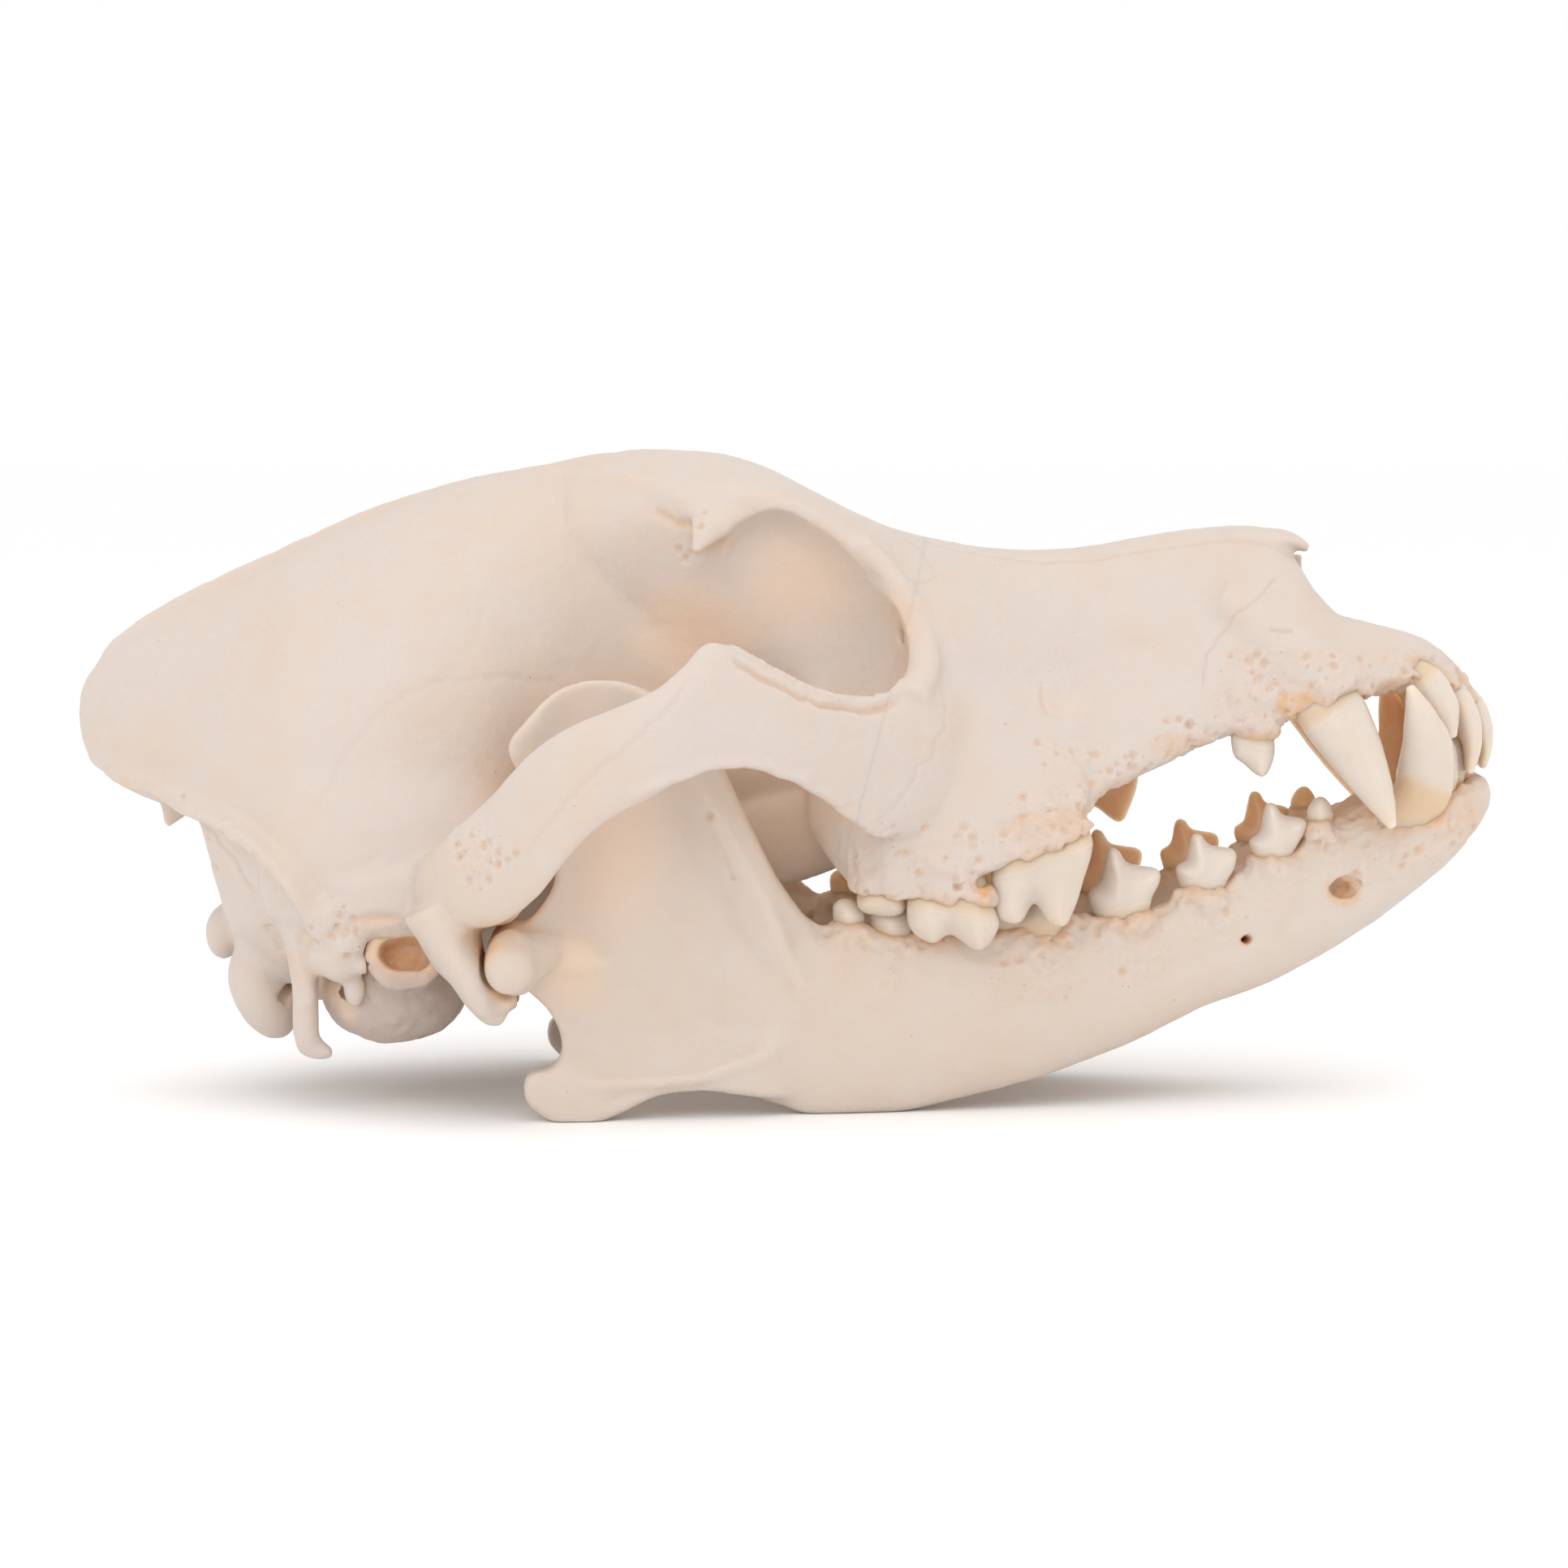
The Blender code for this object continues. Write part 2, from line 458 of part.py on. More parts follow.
def muzzle_hull(name, rows, count=80, per_point=3):
    """The muzzle, whose sections have a roof, two walls, gum ridges and a palate."""
    rings = []
    for row in resample(rows, count, 1):
        x, top, roof_half, roof_z, wall_half, wall_z, gum_half, gum_z, palate_z = row
        inner = max(gum_half - GUM_RIDGE_WIDTH, 0.35 * gum_half)
        half_section = [
            (roof_half, roof_z), (wall_half, wall_z), (gum_half, gum_z + GUM_RIDGE_HEIGHT),
            (0.5 * (gum_half + inner), gum_z), (inner, gum_z + GUM_RIDGE_HEIGHT),
        ]
        right = [(-y, z) for y, z in reversed(half_section)]
        outline = [(0.0, top)] + half_section + [(0.0, palate_z)] + right
        rings.append([(x, y, z) for y, z in closed_curve(outline, per_point)])
    return skin(name, rings)


def rib(name, rows, side, count=60, sides=24, power=2.4):
    """An upright bar along a curved path: rows of x, y, top, bottom, thickness."""
    rows = resample(rows, count, 2)
    heading = np.gradient(rows[:, :2], axis=0)
    heading /= np.linalg.norm(heading, axis=1)[:, None]
    rings = []
    for (x, y, top, bottom, thick), (along_x, along_y) in zip(rows, heading):
        ring = []
        for i in range(sides):
            across, up = rounded(2 * math.pi * i / sides, power)
            offset = 0.5 * thick * across
            ring.append((x - along_y * offset, side * (y + along_x * offset),
                         0.5 * (top + bottom) + 0.5 * (top - bottom) * up))
        rings.append(ring)
    return skin(name, rings)


def rod(name, rows, side=1.0, count=14, sides=16, grow=0.0):
    """A tapered rod: rows of x, y, z, radius along x and radius across it."""
    rows = resample(rows, count, 3)
    middles = rows[:, :3] * np.array((1.0, side, 1.0))
    heading = np.gradient(middles, axis=0)
    rings = []
    for middle, direction, row in zip(middles, heading, rows):
        axis = Vector(direction).normalized()
        lead = Vector((1.0, 0.0, 0.0))
        if abs(axis.x) > 0.9:
            lead = Vector((0.0, 0.0, 1.0))
        along = (lead - axis * lead.dot(axis)).normalized()
        across = axis.cross(along)
        long_radius, short_radius = row[3] + grow, row[4] + grow
        ring = []
        for i in range(sides):
            angle = 2 * math.pi * i / sides
            point = (Vector(middle) + along * math.cos(angle) * long_radius
                     + across * math.sin(angle) * short_radius)
            ring.append(tuple(point))
        rings.append(ring)
    return skin(name, rings)


def ball(name, middle, radii, turn_y=0.0, turn_z=0.0, sides=24):
    """An ellipsoid, turned about Y and then about Z."""
    shape = bmesh.new()
    bmesh.ops.create_uvsphere(shape, u_segments=sides, v_segments=sides // 2, radius=1.0)
    place = (Matrix.Translation(Vector(middle) * MM) @ Matrix.Rotation(turn_z, 4, "Z")
             @ Matrix.Rotation(turn_y, 4, "Y") @ Matrix.Diagonal((*[r * MM for r in radii], 1.0)))
    bmesh.ops.transform(shape, matrix=place, verts=shape.verts)
    mesh = bpy.data.meshes.new(name)
    shape.to_mesh(mesh)
    shape.free()
    return new_object(name, mesh)


def prism(name, outline, low, high, axis="Z"):
    """An outline of (x, y) or, along Y, of (x, z), extruded from low to high."""
    shape = bmesh.new()
    if axis == "Z":
        base = [shape.verts.new((x * MM, y * MM, low * MM)) for x, y in outline]
        push = Vector((0.0, 0.0, (high - low) * MM))
    else:
        base = [shape.verts.new((x * MM, low * MM, z * MM)) for x, z in outline]
        push = Vector((0.0, (high - low) * MM, 0.0))
    face = shape.faces.new(base)
    pushed = bmesh.ops.extrude_face_region(shape, geom=[face])
    moved = [part for part in pushed["geom"] if isinstance(part, bmesh.types.BMVert)]
    bmesh.ops.translate(shape, vec=push, verts=moved)
    bmesh.ops.recalc_face_normals(shape, faces=shape.faces)
    mesh = bpy.data.meshes.new(name)
    shape.to_mesh(mesh)
    shape.free()
    return new_object(name, mesh)


def settle(item):
    """Replace an object's mesh by the one its modifiers give."""
    graph = bpy.context.evaluated_depsgraph_get()
    mesh = bpy.data.meshes.new_from_object(item.evaluated_get(graph))
    old = item.data
    item.modifiers.clear()
    item.data = mesh
    bpy.data.meshes.remove(old)


def remove(items):
    """Take helper objects and their meshes away."""
    for item in items:
        mesh = item.data
        bpy.data.objects.remove(item, do_unlink=True)
        bpy.data.meshes.remove(mesh)


def grow_together(name, pieces, voxel, rounds):
    """Join overlapping pieces into one skin and soften where they meet."""
    shape = bmesh.new()
    for piece in pieces:
        shape.from_mesh(piece.data)
    mesh = bpy.data.meshes.new(name)
    shape.to_mesh(mesh)
    shape.free()
    remove(pieces)
    item = new_object(name, mesh)
    resurface(item, voxel, rounds)
    return item


def resurface(item, voxel, rounds):
    """Remesh at a voxel size and smooth the result."""
    grid = item.modifiers.new("grid", "REMESH")
    grid.mode = "VOXEL"
    grid.voxel_size = voxel * MM
    ease = item.modifiers.new("ease", "SMOOTH")
    ease.factor = 0.5
    ease.iterations = rounds
    settle(item)


def combine(item, tools, operation):
    """One Boolean of the object with a collection of tools, which are then removed."""
    group = bpy.data.collections.new("tools")
    bpy.context.scene.collection.children.link(group)
    for tool in tools:
        group.objects.link(tool)
    change = item.modifiers.new("combine", "BOOLEAN")
    change.operation = operation
    change.operand_type = "COLLECTION"
    change.collection = group
    change.solver = "MANIFOLD"
    settle(item)
    remove(tools)
    bpy.data.collections.remove(group)


def thin_out(item, faces):
    """Triangulate and collapse edges down to about this many faces."""
    split = item.modifiers.new("split", "TRIANGULATE")
    split.quad_method = "BEAUTY"
    settle(item)
    collapse = item.modifiers.new("collapse", "DECIMATE")
    collapse.ratio = min(1.0, faces / len(item.data.polygons))
    settle(item)


def keep_largest(item):
    """Drop every loose surface but the one with the most volume."""
    shape = bmesh.new()
    shape.from_mesh(item.data)
    shape.verts.ensure_lookup_table()
    seen = set()
    shells = []
    for start in shape.verts:
        if start.index in seen:
            continue
        seen.add(start.index)
        stack = [start]
        shell = []
        while stack:
            vert = stack.pop()
            shell.append(vert)
            for edge in vert.link_edges:
                other = edge.other_vert(vert)
                if other.index not in seen:
                    seen.add(other.index)
                    stack.append(other)
        spread = np.ptp(np.array([tuple(vert.co) for vert in shell]), axis=0)
        shells.append((float(np.prod(spread)), shell))
    shells.sort(key=lambda pair: pair[0], reverse=True)
    for _, shell in shells[1:]:
        bmesh.ops.delete(shape, geom=shell, context="VERTS")
    shape.to_mesh(item.data)
    shape.free()


def copy_of(item, name):
    """A second object with its own copy of the mesh."""
    return new_object(name, item.data.copy())


def cranium_body():
    """The whole upper skull without teeth and ear capsules."""
    pieces = [
        hull("braincase_hull", BRAINCASE),
        hull("forehead_hull", FOREHEAD),
        muzzle_hull("muzzle_hull", MUZZLE),
        rib("top_crest", TOP_CREST, 1.0),
        ball("rear_end", REAR_END_MIDDLE, REAR_END_RADII),
    ]
    for side in SIDES.values():
        pieces += [
            rib("cheek_arch", CHEEK_ARCH, side, count=90),
            rib("pterygoid", PTERYGOID, side),
            rod("nuchal_crest", NUCHAL_CREST, side, count=30),
            rod("eye_socket_rim", EYE_SOCKET_RIM, side),
            rod("brow_process", BROW_PROCESS, side),
            rod("neck_process", NECK_PROCESS, side),
            rod("canine_swelling", CANINE_SWELLING, side),
            rod("nose_tip", NOSE_TIP, side),
            ball("neck_tubercle", (-95.0, 6.0 * side, 27.6), (3.2, 4.0, 4.8)),
            rod("neck_condyle_root", NECK_CONDYLE_ROOT, side),
            ball("neck_condyle", (NECK_CONDYLE_MIDDLE[0], NECK_CONDYLE_MIDDLE[1] * side, NECK_CONDYLE_MIDDLE[2]),
                 NECK_CONDYLE_RADII, turn_y=NECK_CONDYLE_LEAN),
            rod("joint_roof", JOINT_ROOF, side),
            rib("temporal_wall", TEMPORAL_WALL, side, count=24, sides=12, power=2.0),
            rod("behind_jaw_joint", BEHIND_JAW_JOINT, side),
            rod("joint_buttress", JOINT_BUTTRESS, side),
            ball("mastoid", (-73.0, 31.6 * side, 27.0), (4.0, 3.2, 5.4)),
            rib("ear_roof", EAR_ROOF, side, count=20, sides=12),
        ]
    cranium = grow_together("cranium", pieces, FUSE_VOXEL, 5)
    combine(cranium, cranium_hollows(), "DIFFERENCE")
    resurface(cranium, FUSE_VOXEL, 2)
    thin_out(cranium, CRANIUM_FACES)
    return cranium


def cranium_hollows():
    """Tools for the nose, the throat passage, the neck opening and both orbits."""
    nose = [
        (58.0, 0.0, 82.0, 4.0, 4.0), (70.0, 0.0, 82.5, 9.0, 6.0), (80.0, 0.0, 82.5, 10.5, 8.2),
        (90.0, 0.0, 84.0, 12.0, 8.8), (100.0, 0.0, 85.0, 13.5, 8.2), (110.0, 0.0, 86.0, 14.0, 6.6),
        (121.0, 0.0, 88.0, 14.0, 5.0),
    ]
    inward = Vector((math.cos(FORAMEN_SLOPE), 0.0, math.sin(FORAMEN_SLOPE)))
    neck = []
    for depth, tall, wide in ((-9.0, 7.5, 9.0), (2.0, 6.8, 8.8), (14.0, 8.5, 9.6), (27.0, 7.0, 8.0)):
        place = Vector(FORAMEN_MIDDLE) + inward * depth
        neck.append((place.x, place.y, place.z, tall, wide))
    tools = [
        rod("nose_hollow", nose, count=30, sides=24),
        rod("neck_hollow", neck, sides=24),
        ball("throat_hollow", (3.0, 0.0, 50.0), (15.0, 7.0, 4.6)),
    ]
    for side in SIDES.values():
        x, y, z = ORBIT_MIDDLE
        tools.append(ball("orbit", (x, y * side, z), ORBIT_RADII, turn_y=ORBIT_LEAN))
        tools.append(ball("face_foramen", (43.5, 24.2 * side, 66.8), (4.0, 2.6, 2.6), turn_z=0.35 * side))
    return tools


def jaw_joint_rod(name, side, grow):
    """The spindle of one jaw condyle, or the room that it needs."""
    x, y, z = JAW_JOINT
    reach = JAW_JOINT_HALF_WIDTH + grow
    rows = [
        (x - 0.8, y - reach - 0.9, z - 1.0, 0.5, 0.5),
        (x - 0.6, y - reach, z - 0.8, 2.4, 2.6), (x - 0.3, y - 0.6 * reach, z - 0.3, 3.8, 4.0),
        (x, y, z - 0.6, JAW_JOINT_RADIUS, JAW_JOINT_RADIUS), (x, y + 0.6 * reach, z - 2.2, 4.5, 4.6),
        (x - 0.2, y + reach - 1.0, z - 3.0, 4.0, 4.2), (x - 0.2, y + reach + 0.5, z - 3.1, 2.6, 2.8),
        (x - 0.2, y + reach + 1.0, z - 3.2, 0.6, 0.6),
    ]
    return rod(name, rows, side, count=22, sides=16, grow=grow)


def jaw_neck_room(side):
    """The room behind the jaw's neck, below the condyle."""
    rows = [(-41.5, 36.0, 33.0, 4.4, 6.2), (-41.2, 36.0, 26.0, 4.6, 6.6), (-39.0, 36.0, 20.0, 4.8, 6.4),
            (-36.0, 36.0, 13.0, 4.4, 6.0)]
    return rod("neck_room", rows, side)


def ear_capsule(name, side, grow):
    """The round capsule under the ear and its short tube, without the hole."""
    x, y, z = BULLA_MIDDLE
    capsule = ball(name, (x, y * side, z), [r + grow for r in BULLA_RADII],
                   turn_z=-0.25 * side, sides=BULLA_SIDES + 2)
    tube = rod(name + "_tube", [
        (x + 1.0, y, z + 2.0, 4.5, 4.5), (x + 2.0, y + 8.0, z + 5.0, 5.6, 4.8),
        (EAR_HOLE[0], EAR_HOLE[1], EAR_HOLE[2], 5.5, 4.7)], side, count=6, sides=BULLA_SIDES, grow=grow)
    combine(capsule, [tube], "UNION")
    return capsule


def cut_line(z, shift):
    """x of the slanted cut between braincase and muzzle at a height."""
    (low_x, low_z), (high_x, high_z) = MUZZLE_CUT_LOW, MUZZLE_CUT_HIGH
    return low_x + (high_x - low_x) * (z - low_z) / (high_z - low_z) + shift


def behind_cut(name, shift):
    """Everything behind the slanted cut."""
    outline = [(-140.0, -10.0), (cut_line(-10.0, shift), -10.0), (cut_line(130.0, shift), 130.0),
               (-140.0, 130.0)]
    return prism(name, outline, -80.0, 80.0, axis="Y")


def arch_zone(name, side, grow):
    """The space of one cheek arch behind the slanted cut."""
    inner = ARCH_ROOT_Y - grow
    outline = [(-85.0, inner), (-26.0, inner), (-26.0, 29.0), (40.0, 29.0), (40.0, 75.0), (-85.0, 75.0)]
    outline = [(x, y * side) for x, y in outline]
    return prism(name, outline, 18.0, 84.0)


def blade(name, middle, half, outline, side):
    """A crown that is flat from side to side and thins out towards its edges."""
    points = np.array(outline)
    root = 0.5 * (points[0] + points[-1])
    rings = []
    for share, scale in BLADE_RINGS:
        ring = root + (points - root) * scale
        rings.append([(x, side * (middle + share * half), z) for x, z in ring])
    return skin(name, rings)


def tooth_pieces(rods, blades, side, missing):
    """The closed pieces of one side's teeth, with their roots inside the bone."""
    pieces = []
    for tooth, cusps in rods.items():
        ahead = LEFT_CANINE_AHEAD if (rods is UPPER_RODS and tooth == "canine" and side > 0) else 0.0
        for cusp in cusps:
            moved = [(x + ahead, *rest) for x, *rest in cusp]
            pieces.append(rod(tooth, moved, side, count=len(cusp), sides=TOOTH_SIDES))
    for tooth, (middle, half, outline) in blades.items():
        if tooth not in missing:
            pieces.append(blade(tooth, middle, half, outline, side))
    return pieces


def skull_nodes():
    """Part the cranium and fuse its teeth."""
    cranium = cranium_body()
    room = []
    for side in SIDES.values():
        room.append(jaw_joint_rod("joint_room", side, 0.7))
        room.append(jaw_neck_room(side))
        room.append(ear_capsule("ear_room", side, 0.35))
    combine(cranium, room, "DIFFERENCE")
    muzzle = copy_of(cranium, "muzzle")
    combine(muzzle, [behind_cut("cut_tool", 0.5 * GAP)], "DIFFERENCE")
    keep_largest(muzzle)
    combine(cranium, [behind_cut("cut_tool", -0.5 * GAP)], "INTERSECT")
    for name, side in SIDES.items():
        arch = copy_of(cranium, "zygomatic_arch_" + name)
        combine(arch, [arch_zone("arch_tool", side, 0.0)], "INTERSECT")
        keep_largest(arch)
        finish(arch)
    combine(cranium, [arch_zone("arch_tool", side, GAP) for side in SIDES.values()], "DIFFERENCE")
    keep_largest(cranium)
    cranium.name = "braincase"
    finish(cranium)
    teeth = []
    for name, side in SIDES.items():
        teeth += tooth_pieces(UPPER_RODS, UPPER_BLADES, side, MISSING_TEETH[name])
    combine(muzzle, teeth, "UNION")
    keep_largest(muzzle)
    finish(muzzle)


def bulla_node(name, side):
    """One ear capsule with the ear hole sunk in its tube."""
    capsule = ear_capsule("tympanic_bulla_" + name, side, 0.0)
    x, y, z = EAR_HOLE
    hole = rod("ear_hole", [(x, y - 8.0, z - 1.6, *EAR_HOLE_RADII), (x, y + 4.0, z + 0.8, *EAR_HOLE_RADII)],
               side, count=3, sides=12)
    combine(capsule, [hole], "DIFFERENCE")
    keep_largest(capsule)
    finish(capsule)


def ramus_plate(side):
    """The jaw's upright branch, hollowed on its outer face."""
    half = 3.0
    outline = [tuple(point) for point in closed_curve(RAMUS_OUTLINE, 4)]
    plate = prism("ramus", outline, -half, half, axis="Y")
    grid = plate.modifiers.new("grid", "REMESH")
    grid.mode = "VOXEL"
    grid.voxel_size = 1.2 * MM
    settle(plate)
    count = len(plate.data.vertices)
    points = np.empty(count * 3)
    plate.data.vertices.foreach_get("co", points)
    points = points.reshape(-1, 3) / MM
    x, y, z = points.T
    share = y / half
    front = np.interp(z, *zip(*CHEW_HOLLOW_FRONT))
    base = np.interp(x, *zip(*CHEW_HOLLOW_BASE))
    hollow = ease((front - x) / 9.0) * ease((z - base) / 8.0) * ease((x + 43.0) / 10.0)
    blend = ease((9.0 - x) / 12.0)
    outer = blend * (RAMUS_OUTER_HALF - CHEW_HOLLOW_DEPTH * hollow - 0.8 * ease((z - 50.0) / 20.0))
    inner = 0.4 + blend * (RAMUS_INNER_HALF - 0.4)
    middle = np.interp(x, *zip(*RAMUS_MIDDLE)) + 2.5 * ease((z - 45.0) / 25.0)
    points[:, 1] = side * (middle + np.where(share > 0, share * (outer + 0.3), share * inner))
    plate.data.vertices.foreach_set("co", (points * MM).ravel())
    if side < 0:
        plate.data.flip_normals()
    plate.data.update()
    return plate


def jaw_node(name, side):
    """One half of the lower jaw with its teeth."""
    pieces = [
        rib("jaw_body", JAW_BODY, side, count=90, power=2.6),
        ramus_plate(side),
        jaw_joint_rod("jaw_condyle", side, 0.0),
        rod("condyle_neck", CONDYLE_NECK, side),
        rod("condyle_shoulder", CONDYLE_SHOULDER, side),
    ]
    jaw = grow_together("mandible_" + name, pieces, 0.9, 3)
    thin_out(jaw, JAW_FACES)
    floor = prism("floor_tool", [(-60.0, -80.0), (140.0, -80.0), (140.0, 80.0), (-60.0, 80.0)], -20.0, 0.0)
    other = prism("mid_tool", [(-60.0, -60.0 * side), (140.0, -60.0 * side),
                               (140.0, 0.5 * GAP * side), (-60.0, 0.5 * GAP * side)], -30.0, 100.0)
    combine(jaw, [floor, other], "DIFFERENCE")
    keep_largest(jaw)
    combine(jaw, tooth_pieces(LOWER_RODS, LOWER_BLADES, side, ()), "UNION")
    keep_largest(jaw)
    finish(jaw)


def bone_material(name):
    """Dry cream bone for one piece."""
    material = bpy.data.materials.new(name + "_bone")
    material.use_nodes = True
    surface = material.node_tree.nodes["Principled BSDF"]
    surface.inputs["Base Color"].default_value = (0.76, 0.64, 0.53, 1.0)
    surface.inputs["Roughness"].default_value = 0.55
    surface.inputs["Metallic"].default_value = 0.0
    material.diffuse_color = (0.76, 0.64, 0.53, 1.0)
    return material


def finish(item):
    """Give a finished bone its material and round shading."""
    item.data.name = item.name
    item.data.materials.clear()
    item.data.materials.append(bone_material(item.name))
    item.data.shade_smooth()
    item.data.set_sharp_from_angle(angle=math.radians(50))


def main():
    clear_scene()
    skull_nodes()
    for name, side in SIDES.items():
        bulla_node(name, side)
        jaw_node(name, side)


main()
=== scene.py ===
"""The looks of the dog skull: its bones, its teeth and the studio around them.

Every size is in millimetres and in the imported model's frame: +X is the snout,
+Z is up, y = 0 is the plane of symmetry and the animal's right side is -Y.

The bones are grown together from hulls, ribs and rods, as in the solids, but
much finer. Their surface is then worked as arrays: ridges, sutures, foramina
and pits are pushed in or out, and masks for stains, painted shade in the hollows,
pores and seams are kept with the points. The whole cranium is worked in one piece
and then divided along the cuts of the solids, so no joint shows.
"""

import math

import bmesh
import bpy
import numpy as np
from mathutils import Matrix, Vector
from mathutils.bvhtree import BVHTree
from mathutils.kdtree import KDTree


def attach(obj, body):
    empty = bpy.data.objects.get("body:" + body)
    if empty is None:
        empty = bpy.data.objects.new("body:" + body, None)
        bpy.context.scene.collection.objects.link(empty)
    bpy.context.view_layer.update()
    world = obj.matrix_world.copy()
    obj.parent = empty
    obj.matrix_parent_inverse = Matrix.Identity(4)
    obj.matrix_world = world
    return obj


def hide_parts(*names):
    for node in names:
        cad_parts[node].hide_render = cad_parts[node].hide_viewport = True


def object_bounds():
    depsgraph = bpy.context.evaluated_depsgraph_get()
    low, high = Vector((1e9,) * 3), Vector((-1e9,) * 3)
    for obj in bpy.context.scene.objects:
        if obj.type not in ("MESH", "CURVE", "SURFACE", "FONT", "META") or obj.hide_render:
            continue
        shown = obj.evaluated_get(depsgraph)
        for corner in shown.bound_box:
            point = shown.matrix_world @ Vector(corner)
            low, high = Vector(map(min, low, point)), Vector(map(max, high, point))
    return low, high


MM = 0.001

# Fineness of the surfaces
CURVE_STEPS = 6                # between two points of an outline
BONE_VOXEL = 0.5
RAMUS_VOXEL = 0.8
TOOTH_VOXEL = 0.3
TOOTH_ROUNDS = 3
FEWER_ROUNDS = 1      # divides the rounds of evening
# Rounds of evening that find the creases where shade is painted
CREASE_SHADE_ROUNDS = 30
EFFORT = 1.0        # share of the rays and pits

# Camera and studio, in metres but for the lens
CAMERA_AIM_HEIGHT = 0.0523
CAMERA_DISTANCE = 0.8
CAMERA_RISE = math.radians(4.0)
CAMERA_LENS = 107.8            # millimetres
FLOOR_RADIUS = 40.0
FLOOR_GAP = 0.0001             # of the floor below the skull
SKY_STRENGTH = 1.0
SOFT_LIGHTS = [
    # name, place, width and power
    ("key_light", (-0.35, -1.25, 0.75), 1.1, 5.0),
    ("top_light", (0.1, -0.2, 1.5), 1.4, 3.0),
    ("side_light", (1.0, -1.1, 0.5), 0.8, 1.2),
]

# Driving sizes of the cranium and the jaw
GAP = 0.3                      # kept between bones that touch
ARCH_HALF_WIDTH = 59.0         # middle of the cheek arch, from the plane of symmetry
ARCH_ROOT_Y = 41.0             # plane where the cheek arch is parted from the braincase
ARCH_FRONT_X = -26.0           # in front of this and
ARCH_FRONT_TOP = 76.0          # below this it is parted
ARCH_FRONT_Y = 29.0            # at this plane instead
ARCH_REAR_X = -85.0            # no part of it lies behind this
ARCH_HEIGHTS = (18.0, 84.0)    # or outside these
MUZZLE_CUT_LOW = (9.0, 40.0)   # x, z of the slanted cut between braincase and muzzle
MUZZLE_CUT_HIGH = (24.0, 95.0)
JAW_JOINT = (-43.9, 38.0, 28.7)    # middle of a jaw condyle's axis
JAW_JOINT_HALF_WIDTH = 12.0
JAW_JOINT_RADIUS = 4.3
BULLA_MIDDLE = (-64.5, 20.5, 20.3)
BULLA_RADII = (12.3, 9.3, 9.8)
BULLA_TURN = 0.25              # radians about Z
JAW_KNOB_MIDDLE = (-43.6, 45.4, 26.6)     # the outer end of the condyle
JAW_KNOB_RADII = (4.3, 4.2, 5.6)
JAW_KNOB_LEAN = math.radians(-12)
EAR_HOLE = (-62.0, 32.5, 26.6)
EAR_HOLE_RADII = (4.4, 3.0)
FORAMEN_MIDDLE = (-88.7, 0.0, 17.0)
FORAMEN_SLOPE = math.radians(45)   # the neck opening faces back and down
ORBIT_MIDDLE = (4.6, 32.6, 80.0)
ORBIT_RADII = (14.6, 13.8, 20.6)
ORBIT_LEAN = math.radians(-23.5)

SIDES = {"right": -1.0, "left": 1.0}

# Hull of the braincase, back to front: x, top z, bottom z, half width,
# z of the widest place, power of the roof curve, power of the base curve
BRAINCASE = [
    (-118.6, 68.0, 58.0, 1.6, 62.5, 2.0, 2.2),
    (-113.5, 75.6, 53.5, 7.5, 57.0, 1.7, 2.4),
    (-106.0, 80.8, 50.0, 14.5, 54.0, 1.6, 2.6),
    (-98.4, 84.6, 47.6, 20.8, 52.5, 1.6, 2.6),
    (-94.6, 86.2, 32.0, 24.4, 51.0, 1.65, 2.4),
    (-92.2, 87.2, 24.0, 26.2, 50.0, 1.7, 2.2),
    (-88.0, 89.2, 19.0, 28.8, 48.0, 1.8, 2.0),
    (-80.0, 93.4, 15.5, 32.0, 47.0, 1.95, 2.0),
    (-66.0, 99.4, 17.0, 32.4, 50.0, 2.0, 2.0),
    (-52.0, 104.0, 21.0, 30.6, 54.0, 2.0, 2.0),
    (-40.0, 107.2, 27.0, 25.0, 64.0, 2.0, 2.0),
    (-28.0, 109.2, 34.0, 20.0, 72.0, 2.1, 1.9),
    (-14.0, 108.2, 40.0, 17.0, 76.0, 2.1, 1.8),
    (2.0, 102.0, 42.0, 15.0, 74.0, 2.0, 1.9),
    (16.0, 94.0, 43.5, 14.5, 70.0, 2.0, 2.0),
]

REAR_END_MIDDLE = (-113.4, 0.0, 63.8)    # the rounded end of the top crest
REAR_END_RADII = (6.75, 4.4, 10.4)
NECK_CONDYLE_MIDDLE = (-87.6, 12.8, 18.2)
NECK_CONDYLE_RADII = (8.6, 6.2, 5.2)
NECK_CONDYLE_LEAN = math.radians(65)

# Hull of the forehead, whose edge roofs the orbits, in the same columns
FOREHEAD = [
    (-36.0, 107.0, 74.0, 18.0, 92.0, 2.1, 1.8),
    (-24.0, 109.6, 68.0, 22.5, 96.0, 2.1, 1.8),
    (-13.0, 109.0, 64.0, 27.0, 98.5, 2.2, 1.7),
    (-4.0, 106.6, 60.0, 27.8, 100.6, 2.4, 1.7),
    (5.0, 102.2, 56.0, 26.4, 98.2, 2.4, 1.8),
    (13.0, 98.2, 53.0, 25.0, 92.0, 2.3, 1.9),
    (21.0, 95.0, 51.0, 23.5, 82.0, 2.1, 2.0),
    (30.0, 92.7, 50.0, 21.0, 73.0, 2.0, 2.0),
]

